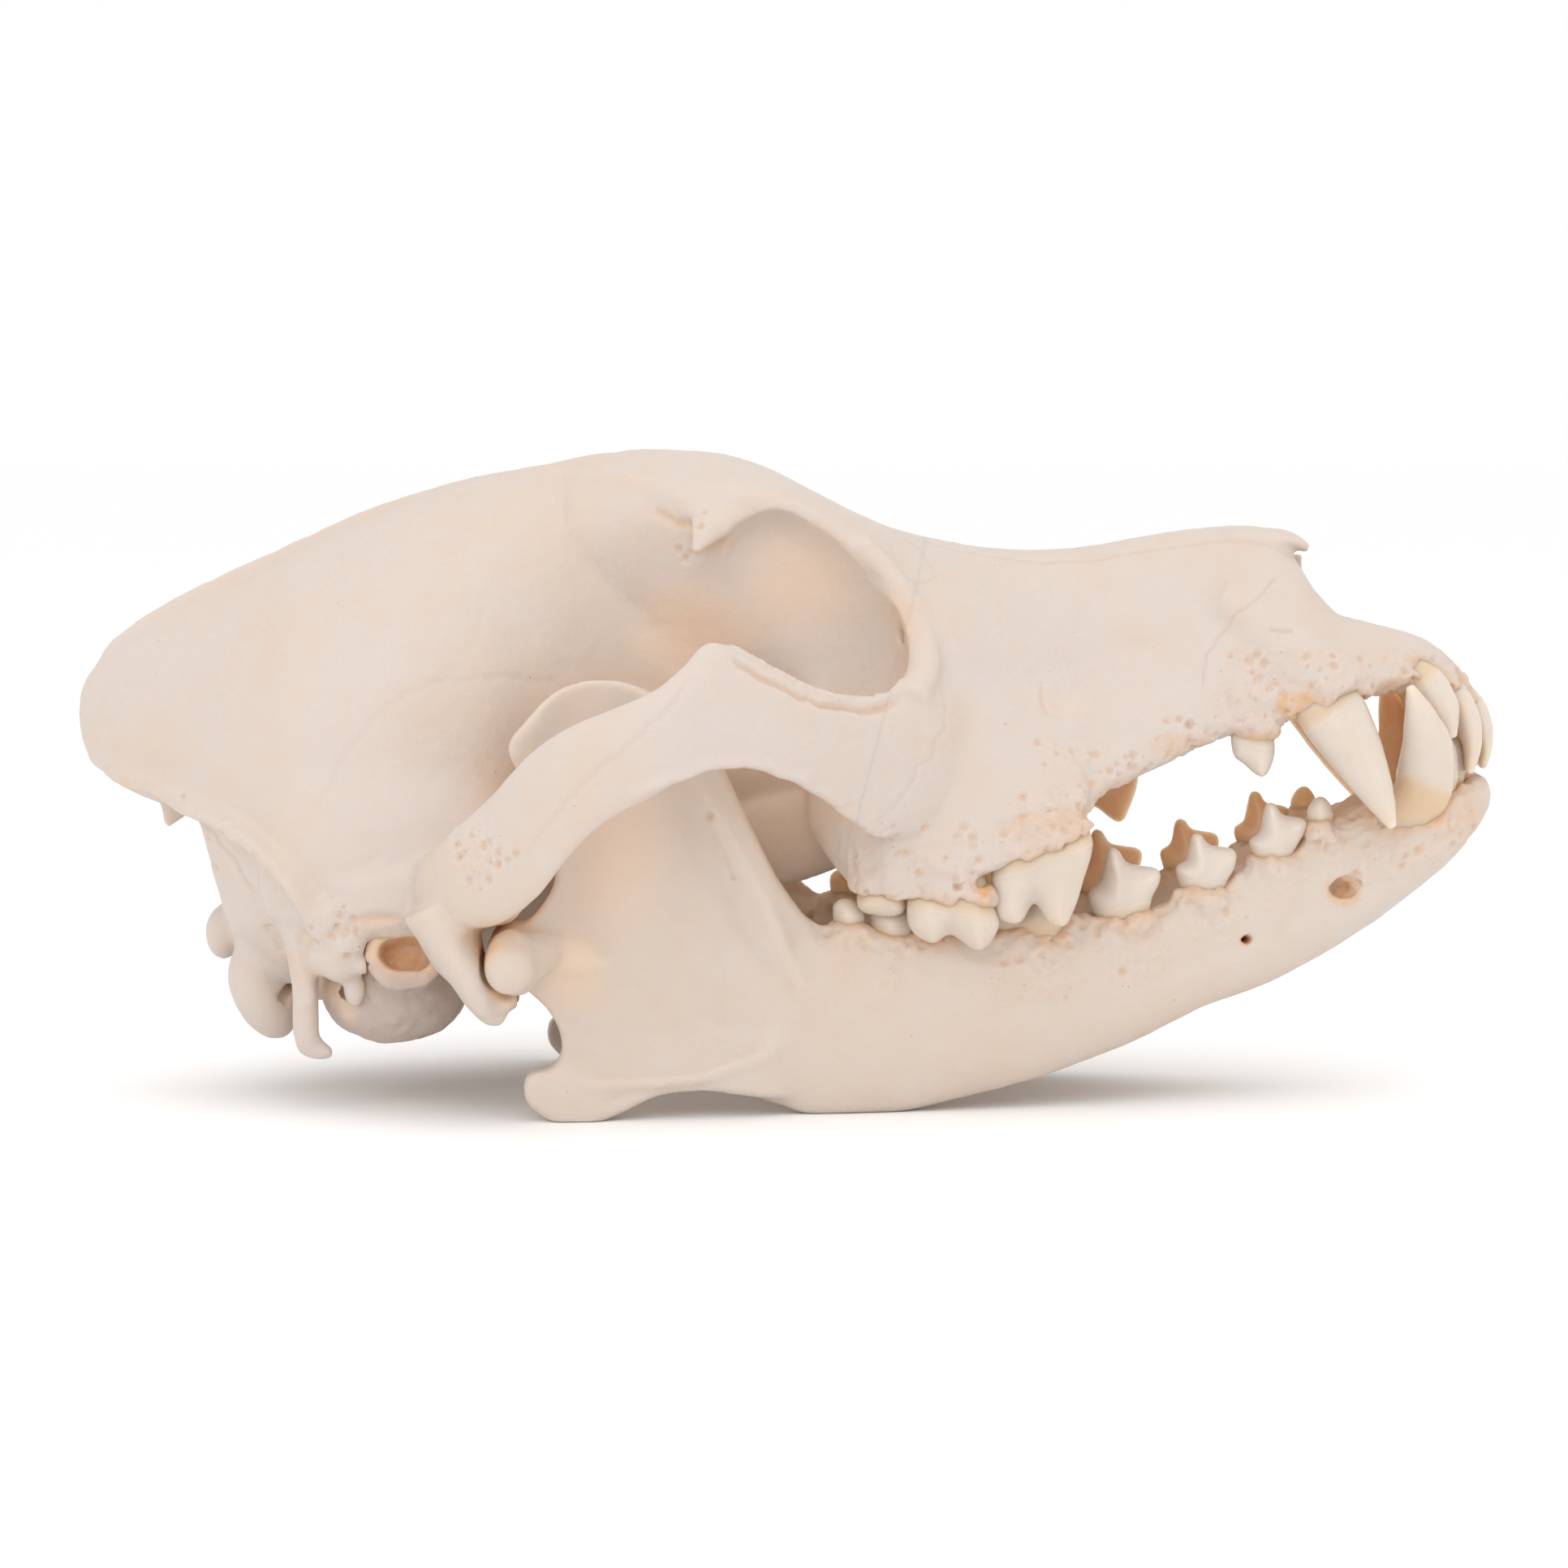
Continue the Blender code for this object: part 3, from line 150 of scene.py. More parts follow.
# Sections of the muzzle, back to front: x, top z, half width and z of the
# nasal roof's edge, of the cheek wall and of the gum ridge, and z of the palate
MUZZLE = [
    (4.0, 101.0, 16.0, 96.0, 24.0, 68.0, 22.0, 46.0, 45.0),
    (11.0, 98.6, 17.0, 93.5, 33.0, 71.0, 31.0, 38.0, 43.0),
    (18.0, 96.0, 17.0, 92.2, 34.2, 75.5, 35.2, 36.2, 44.5),
    (25.0, 94.2, 15.0, 90.8, 31.2, 77.0, 35.8, 37.2, 46.5),
    (34.0, 92.6, 12.2, 89.8, 26.4, 75.5, 36.0, 41.0, 49.5),
    (42.0, 92.0, 10.4, 89.4, 22.6, 73.0, 35.6, 43.6, 53.0),
    (47.0, 92.1, 9.8, 89.6, 20.8, 71.5, 33.4, 47.0, 55.5),
    (52.0, 92.6, 9.2, 90.0, 19.6, 70.0, 27.6, 51.8, 57.5),
    (62.0, 94.5, 8.8, 92.0, 17.6, 73.0, 22.5, 56.2, 61.5),
    (72.0, 95.9, 9.3, 93.3, 16.8, 76.0, 19.9, 60.5, 65.0),
    (80.0, 96.4, 10.3, 93.2, 17.2, 78.0, 19.7, 63.3, 67.5),
    (85.5, 92.4, 11.0, 89.6, 18.2, 77.0, 20.8, 64.2, 68.5),
    (89.5, 86.4, 11.2, 84.2, 18.8, 75.5, 21.6, 65.6, 69.5),
    (94.0, 82.2, 11.2, 80.4, 18.4, 74.0, 21.0, 67.2, 70.0),
    (100.0, 80.4, 10.6, 79.0, 15.4, 73.0, 16.4, 67.8, 70.5),
    (108.0, 77.8, 9.0, 76.6, 12.8, 72.5, 14.0, 68.6, 70.0),
    (113.5, 72.8, 6.6, 72.0, 10.0, 70.0, 11.0, 66.6, 68.5),
    (117.6, 67.4, 4.0, 67.0, 5.4, 66.4, 5.8, 65.0, 65.6),
]
GUM_RIDGE_WIDTH = 7.0
GUM_RIDGE_HEIGHT = 3.0

# Cheek bone from the muzzle wall round to the ear: x, y, top, bottom, thickness
CHEEK_ARCH = [
    (42.0, 16.0, 68.0, 52.0, 6.0),
    (32.0, 24.0, 71.5, 49.0, 9.0),
    (24.0, 31.5, 73.0, 45.5, 9.5),
    (17.0, 38.0, 70.5, 46.0, 8.0),
    (11.0, 43.2, 69.0, 49.5, 6.6),
    (5.0, 48.0, 70.4, 54.0, 6.0),
    (-1.0, 52.0, 73.4, 57.0, 5.6),
    (-7.0, 54.8, 77.0, 58.6, 5.2),
    (-11.5, 56.5, 79.0, 58.4, 5.0),
    (-16.0, 57.8, 75.0, 57.0, 5.0),
    (-21.0, 58.6, 71.0, 54.0, 5.2),
    (-28.0, ARCH_HALF_WIDTH, 68.2, 50.3, 5.4),
    (-34.5, 58.2, 65.3, 44.0, 5.5),
    (-40.0, 55.8, 61.3, 37.2, 5.7),
    (-45.5, 52.0, 55.0, 33.4, 7.0),
    (-49.8, 47.0, 49.5, 32.0, 12.0),
    (-51.2, ARCH_ROOT_Y, 45.5, 31.6, 17.0),
    (-51.5, 33.0, 44.0, 31.4, 20.0),
    (-51.5, 24.0, 46.0, 31.0, 20.0),
]

# Plates beside the throat passage: x, y, top, bottom, thickness
PTERYGOID = [
    (14.0, 12.0, 56.0, 41.0, 5.0),
    (5.0, 11.0, 52.0, 37.0, 3.8),
    (-5.0, 10.0, 50.0, 34.4, 3.2),
    (-15.0, 9.6, 46.0, 31.8, 3.0),
    (-22.0, 9.6, 41.0, 28.5, 2.6),
]

# Ridge along the top of the braincase: x, y, top, bottom, thickness
TOP_CREST = [
    (-118.9, 0.0, 68.6, 60.0, 3.0),
    (-114.6, 0.0, 76.8, 66.0, 3.4),
    (-104.0, 0.0, 84.0, 74.0, 3.4),
    (-86.0, 0.0, 92.4, 82.0, 3.4),
    (-68.0, 0.0, 100.2, 92.0, 3.6),
    (-50.0, 0.0, 105.2, 98.0, 4.0),
    (-37.0, 0.0, 106.8, 100.0, 3.0),
]

# Bars over the ear and along the temple, in the same columns
EAR_ROOF = [
    (-76.0, 30.6, 40.0, 27.5, 7.0),
    (-68.0, 32.6, 42.0, 29.6, 7.6),
    (-60.0, 33.4, 43.0, 31.0, 8.4),
    (-52.0, 34.0, 44.0, 31.0, 9.0),
]
TEMPORAL_WALL = [
    (-85.0, 26.5, 56.0, 32.0, 8.0),
    (-77.0, 30.0, 56.0, 29.0, 9.0),
    (-68.0, 30.8, 57.0, 28.0, 9.4),
    (-60.0, 31.0, 56.0, 29.0, 9.6),
    (-52.0, 31.0, 54.0, 30.0, 10.0),
    (-45.0, 27.5, 51.0, 34.0, 7.0),
    (-38.0, 22.5, 48.0, 38.0, 3.0),
]

# Rods from root to tip: x, y, z, radius along and radius across
NUCHAL_CREST = [
    (-116.8, 0.0, 57.6, 2.2, 2.2),
    (-112.0, 7.0, 55.6, 1.9, 1.9),
    (-104.0, 15.5, 52.8, 1.7, 1.7),
    (-94.0, 24.5, 48.8, 1.7, 1.7),
    (-86.0, 30.5, 44.2, 1.9, 1.9),
    (-79.0, 33.4, 37.0, 2.3, 2.2),
    (-75.0, 33.4, 29.0, 2.0, 1.8),
]
EYE_SOCKET_RIM = [
    (12.0, 23.5, 94.0, 2.0, 2.0),
    (17.6, 24.8, 88.0, 2.3, 2.3),
    (21.6, 28.0, 81.0, 2.6, 2.6),
    (22.8, 32.6, 74.5, 2.9, 2.9),
    (20.5, 37.2, 68.5, 3.2, 3.2),
]
BROW_PROCESS = [
    (-7.0, 20.0, 102.0, 7.0, 4.0),
    (-11.4, 27.0, 97.6, 4.4, 2.4),
    (-14.0, 30.6, 93.4, 1.5, 1.3),
    (-14.6, 31.4, 91.6, 0.6, 0.6),
]
NECK_PROCESS = [
    (-80.5, 24.5, 37.0, 5.0, 4.5),
    (-79.2, 26.8, 27.0, 3.2, 3.4),
    (-79.0, 27.6, 19.0, 2.3, 2.6),
    (-78.9, 27.6, 13.5, 2.3, 2.0),
    (-78.5, 27.2, 11.0, 2.3, 1.7),
    (-76.2, 27.0, 9.9, 1.7, 1.4),
    (-74.2, 27.0, 9.4, 0.9, 0.9),
]
BEHIND_JAW_JOINT = [
    (-58.5, 37.0, 34.0, 3.0, 8.0),
    (-54.8, 37.4, 27.6, 3.2, 8.8),
    (-50.6, 37.8, 22.8, 2.7, 8.8),
    (-46.6, 38.2, 20.0, 2.0, 8.2),
    (-43.0, 38.6, 19.6, 1.3, 6.6),
]
JOINT_ROOF = [
    (-47.5, 28.0, 39.0, 4.0, 5.0),
    (-46.8, 37.0, 38.4, 5.0, 5.2),
    (-46.0, 45.0, 37.0, 4.4, 5.0),
]
NECK_CONDYLE_ROOT = [
    (-87.6, 12.6, 20.0, 5.4, 5.4),
    (-86.6, 12.6, 30.0, 5.4, 5.6),
    (-87.6, 11.0, 40.0, 4.6, 5.4),
]
# The plate that stands behind the jaw joint, as a rod
JOINT_BUTTRESS = [
    (-57.0, 42.0, 36.0, 5.4, 7.5),
    (-53.4, 42.0, 29.5, 4.4, 8.6),
    (-50.6, 41.6, 24.6, 3.6, 8.8),
    (-48.4, 41.0, 21.2, 3.0, 8.0),
    (-45.0, 40.0, 19.4, 1.4, 6.0),
]
CANINE_SWELLING = [
    (93.0, 17.6, 68.0, 6.0, 5.0),
    (85.0, 15.2, 75.5, 5.8, 4.4),
    (73.0, 12.2, 84.5, 4.0, 3.2),
]
NOSE_TIP = [
    (75.0, 4.4, 94.4, 2.0, 5.6),
    (84.0, 5.0, 94.2, 1.5, 5.2),
    (88.6, 5.2, 92.2, 0.9, 3.0),
]

# Lower jaw body, front to back: x, y, top, bottom, thickness
JAW_BODY = [
    (118.4, 3.4, 54.2, 48.6, 6.2),
    (115.0, 4.8, 53.4, 43.2, 10.0),
    (107.5, 6.8, 52.0, 35.8, 14.6),
    (99.0, 7.3, 50.0, 29.2, 15.2),
    (90.0, 8.6, 46.0, 23.9, 13.8),
    (80.0, 11.4, 41.0, 19.2, 12.0),
    (70.0, 14.3, 36.6, 15.8, 10.8),
    (58.0, 17.6, 32.0, 10.4, 10.8),
    (44.0, 21.0, 32.0, 5.4, 11.0),
    (30.0, 23.9, 31.0, 2.0, 11.2),
    (16.0, 26.6, 30.4, -0.5, 10.8),
    (6.0, 28.6, 30.4, -0.6, 9.0),
    (-2.0, 30.4, 32.0, 1.8, 6.4),
    (-10.0, 32.2, 32.0, 5.6, 2.2),
]

CONDYLE_NECK = [
    (-28.0, 35.6, 25.0, 0.8, 0.8),
    (-35.0, 36.2, 27.0, 4.4, 3.0),
    (-40.0, 37.0, 27.5, 5.0, 4.0),
    (-43.5, 37.8, 28.0, 3.4, 5.0),
]
CONDYLE_SHOULDER = [
    (-44.4, 47.0, 25.8, 3.4, 4.4),
    (-42.0, 42.6, 27.0, 4.4, 4.4),
    (-39.0, 39.0, 28.4, 3.8, 3.4),
    (-35.0, 36.4, 30.0, 1.0, 1.0),
]

# Outline of the jaw's upright branch, seen from the side: x, z
RAMUS_OUTLINE = [
    (9.0, 27.0), (3.4, 32.6), (-1.4, 39.5), (-6.0, 49.0), (-11.5, 60.0), (-18.0, 67.6),
    (-27.5, 71.8), (-36.0, 70.6), (-41.8, 65.2), (-44.6, 60.8), (-42.0, 55.0), (-38.6, 46.0),
    (-37.2, 39.5), (-40.0, 34.2), (-44.5, 30.0), (-43.2, 23.2), (-38.6, 18.2), (-36.2, 12.6),
    (-37.6, 9.0), (-41.8, 7.6), (-42.0, 3.4), (-38.0, 0.0), (-32.6, -1.0), (-26.8, 0.9),
    (-20.5, 3.8), (-12.0, 4.3), (-2.0, 3.0), (6.0, 5.0),
]
RAMUS_MIDDLE = [(-46.0, 37.2), (-30.0, 35.6), (-15.0, 33.0), (-5.0, 31.0), (10.0, 27.8)]
RAMUS_ROUGH_HALF = 3.0         # half thickness of the plate that the branch is shaped from
RAMUS_INNER_HALF = 2.0         # from the branch's middle to its inner face
RAMUS_OUTER_HALF = 4.2         # and to its outer face along the edges
CHEW_HOLLOW_DEPTH = 3.8        # of the hollow where the chewing muscle lies
CHEW_HOLLOW_FRONT = [
    (6.0, 5.0), (19.0, 3.5), (33.0, -3.0), (45.0, -9.0), (58.0, -15.0), (80.0, -24.0),
]
CHEW_HOLLOW_BASE = [(-45.0, 9.0), (-29.0, 5.0), (-15.0, 6.0), (-6.0, 8.5), (3.0, 15.0)]

# Teeth of one side that are rods: each is a list of cusps, and each cusp a rod
# from its root to its tip: x, y, z, radius along the jaw, radius across it
UPPER_RODS = {
    "incisor_1": [[(110.5, 2.8, 69.2, 1.2, 1.2), (115.9, 3.0, 66.9, 1.9, 2.0),
                   (118.3, 3.1, 62.5, 1.7, 2.4), (118.9, 3.1, 58.6, 1.1, 2.4),
                   (118.5, 3.1, 55.4, 0.5, 1.5)]],
    "incisor_2": [[(107.0, 6.6, 71.5, 1.4, 1.4), (112.6, 7.6, 68.6, 2.1, 2.1),
                   (115.2, 8.2, 63.5, 2.0, 2.6), (115.9, 8.4, 59.0, 1.4, 2.4),
                   (115.5, 8.4, 54.8, 0.6, 1.4)]],
    "incisor_3": [[(101.5, 9.6, 74.0, 2.0, 1.8), (107.2, 11.4, 70.6, 3.1, 2.5),
                   (110.0, 12.6, 66.2, 2.9, 2.5), (111.9, 13.0, 61.0, 0.8, 0.8)]],
    "canine": [[(79.0, 12.8, 79.0, 3.4, 2.4), (86.0, 15.4, 71.5, 4.8, 3.2),
                (90.8, 17.8, 66.0, 5.6, 3.8), (94.0, 19.2, 60.6, 4.9, 3.7),
                (96.8, 20.3, 55.4, 3.7, 3.0), (99.2, 21.0, 50.6, 2.2, 2.0),
                (101.0, 21.2, 46.6, 0.6, 0.6)]],
    "premolar_4_inner": [[(45.6, 24.0, 57.0, 2.4, 2.2), (47.2, 27.0, 46.0, 2.8, 2.6),
                          (47.6, 27.0, 41.5, 0.8, 0.8)]],
    "molar_1_inner": [[(27.5, 24.0, 50.0, 4.2, 3.8), (27.8, 26.0, 40.6, 5.4, 4.2),
                       (27.8, 26.2, 34.8, 4.0, 3.0), (27.8, 26.0, 33.0, 1.4, 1.2)]],
    "molar_2_inner": [[(16.4, 23.4, 49.0, 2.8, 2.8), (16.1, 25.0, 40.0, 3.6, 3.6),
                       (16.0, 25.4, 36.0, 1.6, 1.8)]],
}
LOWER_RODS = {
    "incisor_1": [[(111.6, 2.6, 45.0, 1.3, 1.3), (114.2, 2.6, 53.5, 1.6, 1.6),
                   (114.7, 2.6, 57.5, 1.2, 1.5), (114.5, 2.6, 60.2, 0.5, 0.9)]],
    "incisor_2": [[(110.4, 5.4, 45.0, 1.4, 1.4), (113.2, 5.9, 53.6, 1.7, 1.7),
                   (113.6, 6.0, 58.0, 1.3, 1.6), (113.3, 6.0, 60.6, 0.5, 0.9)]],
    "incisor_3": [[(108.6, 7.6, 45.0, 1.6, 1.6), (111.4, 8.8, 53.6, 2.0, 1.9),
                   (111.7, 9.2, 58.4, 1.5, 1.8), (111.4, 9.3, 61.0, 0.6, 0.9)]],
    "canine": [[(95.0, 8.6, 37.0, 3.4, 2.8), (103.0, 10.8, 46.0, 4.8, 3.4),
                (107.2, 13.2, 53.0, 4.8, 3.7), (107.4, 15.4, 59.0, 4.3, 3.2),
                (106.0, 16.9, 64.6, 2.7, 2.2), (104.2, 17.6, 69.8, 0.6, 0.6)]],
}

# Teeth of one side that are blades: y of the crown, half thickness, and the
# crown's outline seen from the side as x, z, from its rear root to its front root
UPPER_BLADES = {
    "premolar_1": (17.0, 2.1, [(74.2, 67.0), (74.5, 61.6), (75.1, 58.3), (76.6, 57.0), (79.6, 54.8),
        (81.3, 57.0), (81.6, 60.4), (80.4, 67.0)]),
    "premolar_3": (22.2, 2.3, [(52.4, 59.0), (51.2, 51.0), (51.8, 47.2), (54.6, 46.8), (58.7, 44.1),
        (60.6, 47.0), (61.9, 52.0), (61.0, 60.0)]),
    "premolar_4": (31.6, 3.1, [(35.4, 47.0), (34.0, 39.6), (34.6, 33.6), (36.4, 31.9), (38.8, 31.9),
        (41.0, 35.0), (43.2, 32.2), (45.3, 31.2), (46.8, 32.4), (48.9, 38.4), (50.4, 45.6),
        (46.6, 51.0)]),
    "molar_1": (32.0, 3.3, [(21.8, 43.0), (20.3, 35.4), (20.8, 30.8), (24.2, 28.5), (27.4, 29.8),
        (31.8, 27.3), (34.4, 29.6), (34.9, 33.4), (30.4, 43.0)]),
    "molar_2": (29.8, 3.6, [(13.4, 42.0), (12.1, 36.0), (12.8, 33.6), (15.8, 32.8), (19.0, 33.0),
        (20.0, 35.0), (19.0, 42.0)]),
}
LOWER_BLADES = {
    "premolar_1": (12.6, 1.9, [(89.0, 42.0), (87.8, 47.4), (88.4, 49.8), (90.1, 51.0), (91.7, 49.4),
        (91.9, 47.2), (90.8, 42.0)]),
    "premolar_2": (13.4, 2.2, [(80.2, 36.0), (78.4, 41.8), (78.2, 43.8), (79.8, 45.2), (80.8, 49.6),
        (82.2, 49.8), (83.6, 48.0), (87.0, 47.3), (87.5, 45.6), (85.0, 41.0), (84.4, 36.0)]),
    "premolar_3": (16.1, 2.5, [(67.6, 30.0), (66.0, 36.8), (65.6, 39.4), (67.3, 40.8), (68.2, 44.6),
        (69.6, 44.8), (71.0, 43.2), (75.0, 42.4), (75.4, 40.0), (73.6, 36.0), (72.8, 30.0)]),
    "premolar_4": (19.8, 2.9, [(52.6, 24.0), (51.6, 31.6), (50.8, 35.4), (52.8, 37.6), (53.9, 42.4),
        (55.4, 42.6), (57.2, 40.4), (61.8, 39.5), (62.4, 37.4), (60.8, 33.4), (60.2, 24.0)]),
    "molar_1": (22.8, 2.8, [(24.8, 19.0), (23.5, 30.6), (25.0, 32.8), (30.6, 32.6), (33.2, 35.4),
        (35.6, 38.4), (39.4, 34.6), (42.3, 36.2), (45.4, 33.4), (46.4, 30.8), (45.4, 19.0)]),
    "molar_2": (26.0, 3.0, [(15.6, 20.0), (14.2, 30.6), (15.2, 33.8), (18.0, 34.4), (20.8, 33.0),
        (21.4, 29.0), (20.2, 20.0)]),
    "molar_3": (27.2, 2.4, [(9.2, 23.0), (8.2, 32.0), (8.6, 34.6), (10.8, 35.2), (12.8, 33.6),
        (13.2, 31.0), (12.2, 23.0)]),
}
RODS = {"upper": UPPER_RODS, "lower": LOWER_RODS}
BLADES = {"upper": UPPER_BLADES, "lower": LOWER_BLADES}
JAW_SLOTS = {"upper": "skull_bone", "lower": "jaw_bone"}
MISSING_TEETH = {("upper", "right"): ("premolar_3",), ("upper", "left"): ("premolar_1",)}
LEFT_CANINE_AHEAD = 1.4        # the left upper canine stands this far before the right one
# A chip in the upper carnassial: middle, radii, lift, mask and its strength
CARNASSIAL_CHIP = ((41.2, 34.6, 35.0), (0.9, 2.0, 1.0), -0.35, "seam", 0.9)

# Parts too fine for the solids
PTERYGOID_HOOK = [
    (-19.0, 9.6, 35.0, 1.6, 1.3),
    (-23.0, 9.9, 30.5, 1.4, 1.2),
    (-26.5, 10.6, 28.2, 0.8, 0.8),
]
OCCIPITAL_SPIKE = [
    (-101.5, 3.4, 55.0, 5.0, 2.2),
    (-103.2, 4.2, 49.0, 2.8, 1.6),
    (-104.8, 4.6, 45.0, 0.6, 0.6),
]
COLLAR_DROP = 2.2              # from a tooth's neck to the middle of the bone collar round it
COLLAR_WIDTH = 1.3
COLLAR_HEIGHT = 3.0

# Round shapes: middle and radii
NECK_TUBERCLE = ((-95.0, 6.0, 27.6), (3.2, 4.0, 4.8))
MASTOID = ((-73.0, 31.6, 27.0), (4.0, 3.2, 5.4))
ORBIT_ROOF = ((-1.0, 31.0, 89.5), (10.0, 10.0, 10.6))
THROAT = ((3.0, 0.0, 50.0), (15.0, 7.0, 4.6))
EAR_LUMPS = [                   # rough knobs round the ear
    ((-74.0, 33.4, 33.0), (3.4, 2.6, 3.4)),
    ((-71.0, 33.8, 28.6), (2.8, 2.4, 2.4)),
    ((-76.0, 30.6, 26.0), (2.6, 2.6, 3.4)),
    ((-69.0, 32.6, 24.8), (2.0, 2.0, 1.6)),
    ((-70.6, 29.4, 20.6), (2.0, 2.4, 3.4)),
]

# The hollow of the nose, and the room behind the jaw's neck, as rods
NOSE_HOLLOW = [
    (58.0, 0.0, 82.0, 4.0, 4.0),
    (70.0, 0.0, 82.5, 9.0, 6.0),
    (80.0, 0.0, 82.5, 10.5, 8.2),
    (90.0, 0.0, 84.0, 12.0, 8.8),
    (100.0, 0.0, 85.0, 13.5, 8.2),
    (110.0, 0.0, 86.0, 14.0, 6.6),
    (121.0, 0.0, 88.0, 14.0, 5.0),
]
JAW_NECK_ROOM = [
    (-41.5, 36.0, 33.0, 4.4, 6.2),
    (-41.2, 36.0, 26.0, 4.6, 6.6),
    (-39.0, 36.0, 20.0, 4.8, 6.4),
    (-36.0, 36.0, 13.0, 4.4, 6.0),
]
# The neck opening: way in from its middle, radius across the slope and half width
FORAMEN = [(-9.0, 7.5, 9.0), (2.0, 6.8, 8.8), (14.0, 8.5, 9.6), (27.0, 7.0, 8.0)]
SCROLL_HALF_TURNS = 4.6        # of each rolled bone in the nose
SCROLL_THICKNESS = 0.45
JOINT_ROOM = 0.7               # left round the jaw's condyle
EAR_ROOM = 0.15                # and round the ear capsule

# Openings that nerves and vessels pass through, from outside to inside
SMALL_CHANNELS = {
    "optic_canal": [(-8.0, 20.0, 58.5, 1.7, 1.6), (-8.0, 9.0, 57.5, 1.4, 1.4)],
    "orbital_fissure": [(-13.5, 20.0, 52.5, 2.2, 1.7), (-13.5, 9.0, 51.0, 1.6, 1.4)],
    "round_canal": [(-18.5, 20.0, 47.5, 1.5, 1.4), (-18.5, 10.0, 46.0, 1.2, 1.2)],
    "tear_canal": [(15.5, 29.5, 80.0, 1.6, 1.3), (21.0, 27.5, 78.0, 1.3, 1.1),
        (25.0, 26.5, 76.0, 0.9, 0.9)],
    "cheek_canal": [(13.0, 31.5, 67.0, 2.6, 2.2), (20.0, 31.0, 65.5, 2.2, 2.0),
        (26.0, 30.0, 65.0, 1.2, 1.2)],
    "hypoglossal_canal": [(-84.0, 17.5, 17.0, 1.3, 1.3), (-82.5, 11.0, 22.0, 1.1, 1.1)],
    "palate_slot": [(97.5, 4.0, 62.0, 5.4, 1.7), (97.5, 4.0, 76.0, 4.6, 1.5)],
    "palate_hole": [(38.0, 13.5, 47.0, 1.3, 1.0), (37.0, 13.5, 56.0, 0.8, 0.8)],
    "socket_gap": [(32.6, 37.5, 38.2, 1.5, 1.5), (32.8, 31.0, 39.2, 1.1, 1.1)],
}
JAW_CHANNELS = {
    "large_chin_hole": [(95.8, 19.0, 36.6, 2.5, 1.8), (93.6, 14.6, 35.8, 2.2, 1.6),
        (91.4, 11.6, 35.0, 1.4, 1.2)],
    "small_chin_hole": [(77.9, 21.0, 27.8, 1.0, 0.9), (76.4, 13.0, 27.2, 0.7, 0.7)],
}
EAR_CHANNELS = {
    "carotid_hole": [(-54.0, 10.0, 15.0, 1.5, 1.4), (-58.5, 16.0, 18.0, 1.1, 1.1)],
    "bristle_hole": [(-72.5, 28.5, 19.5, 1.4, 1.2), (-68.5, 24.0, 21.0, 1.0, 1.0)],
}

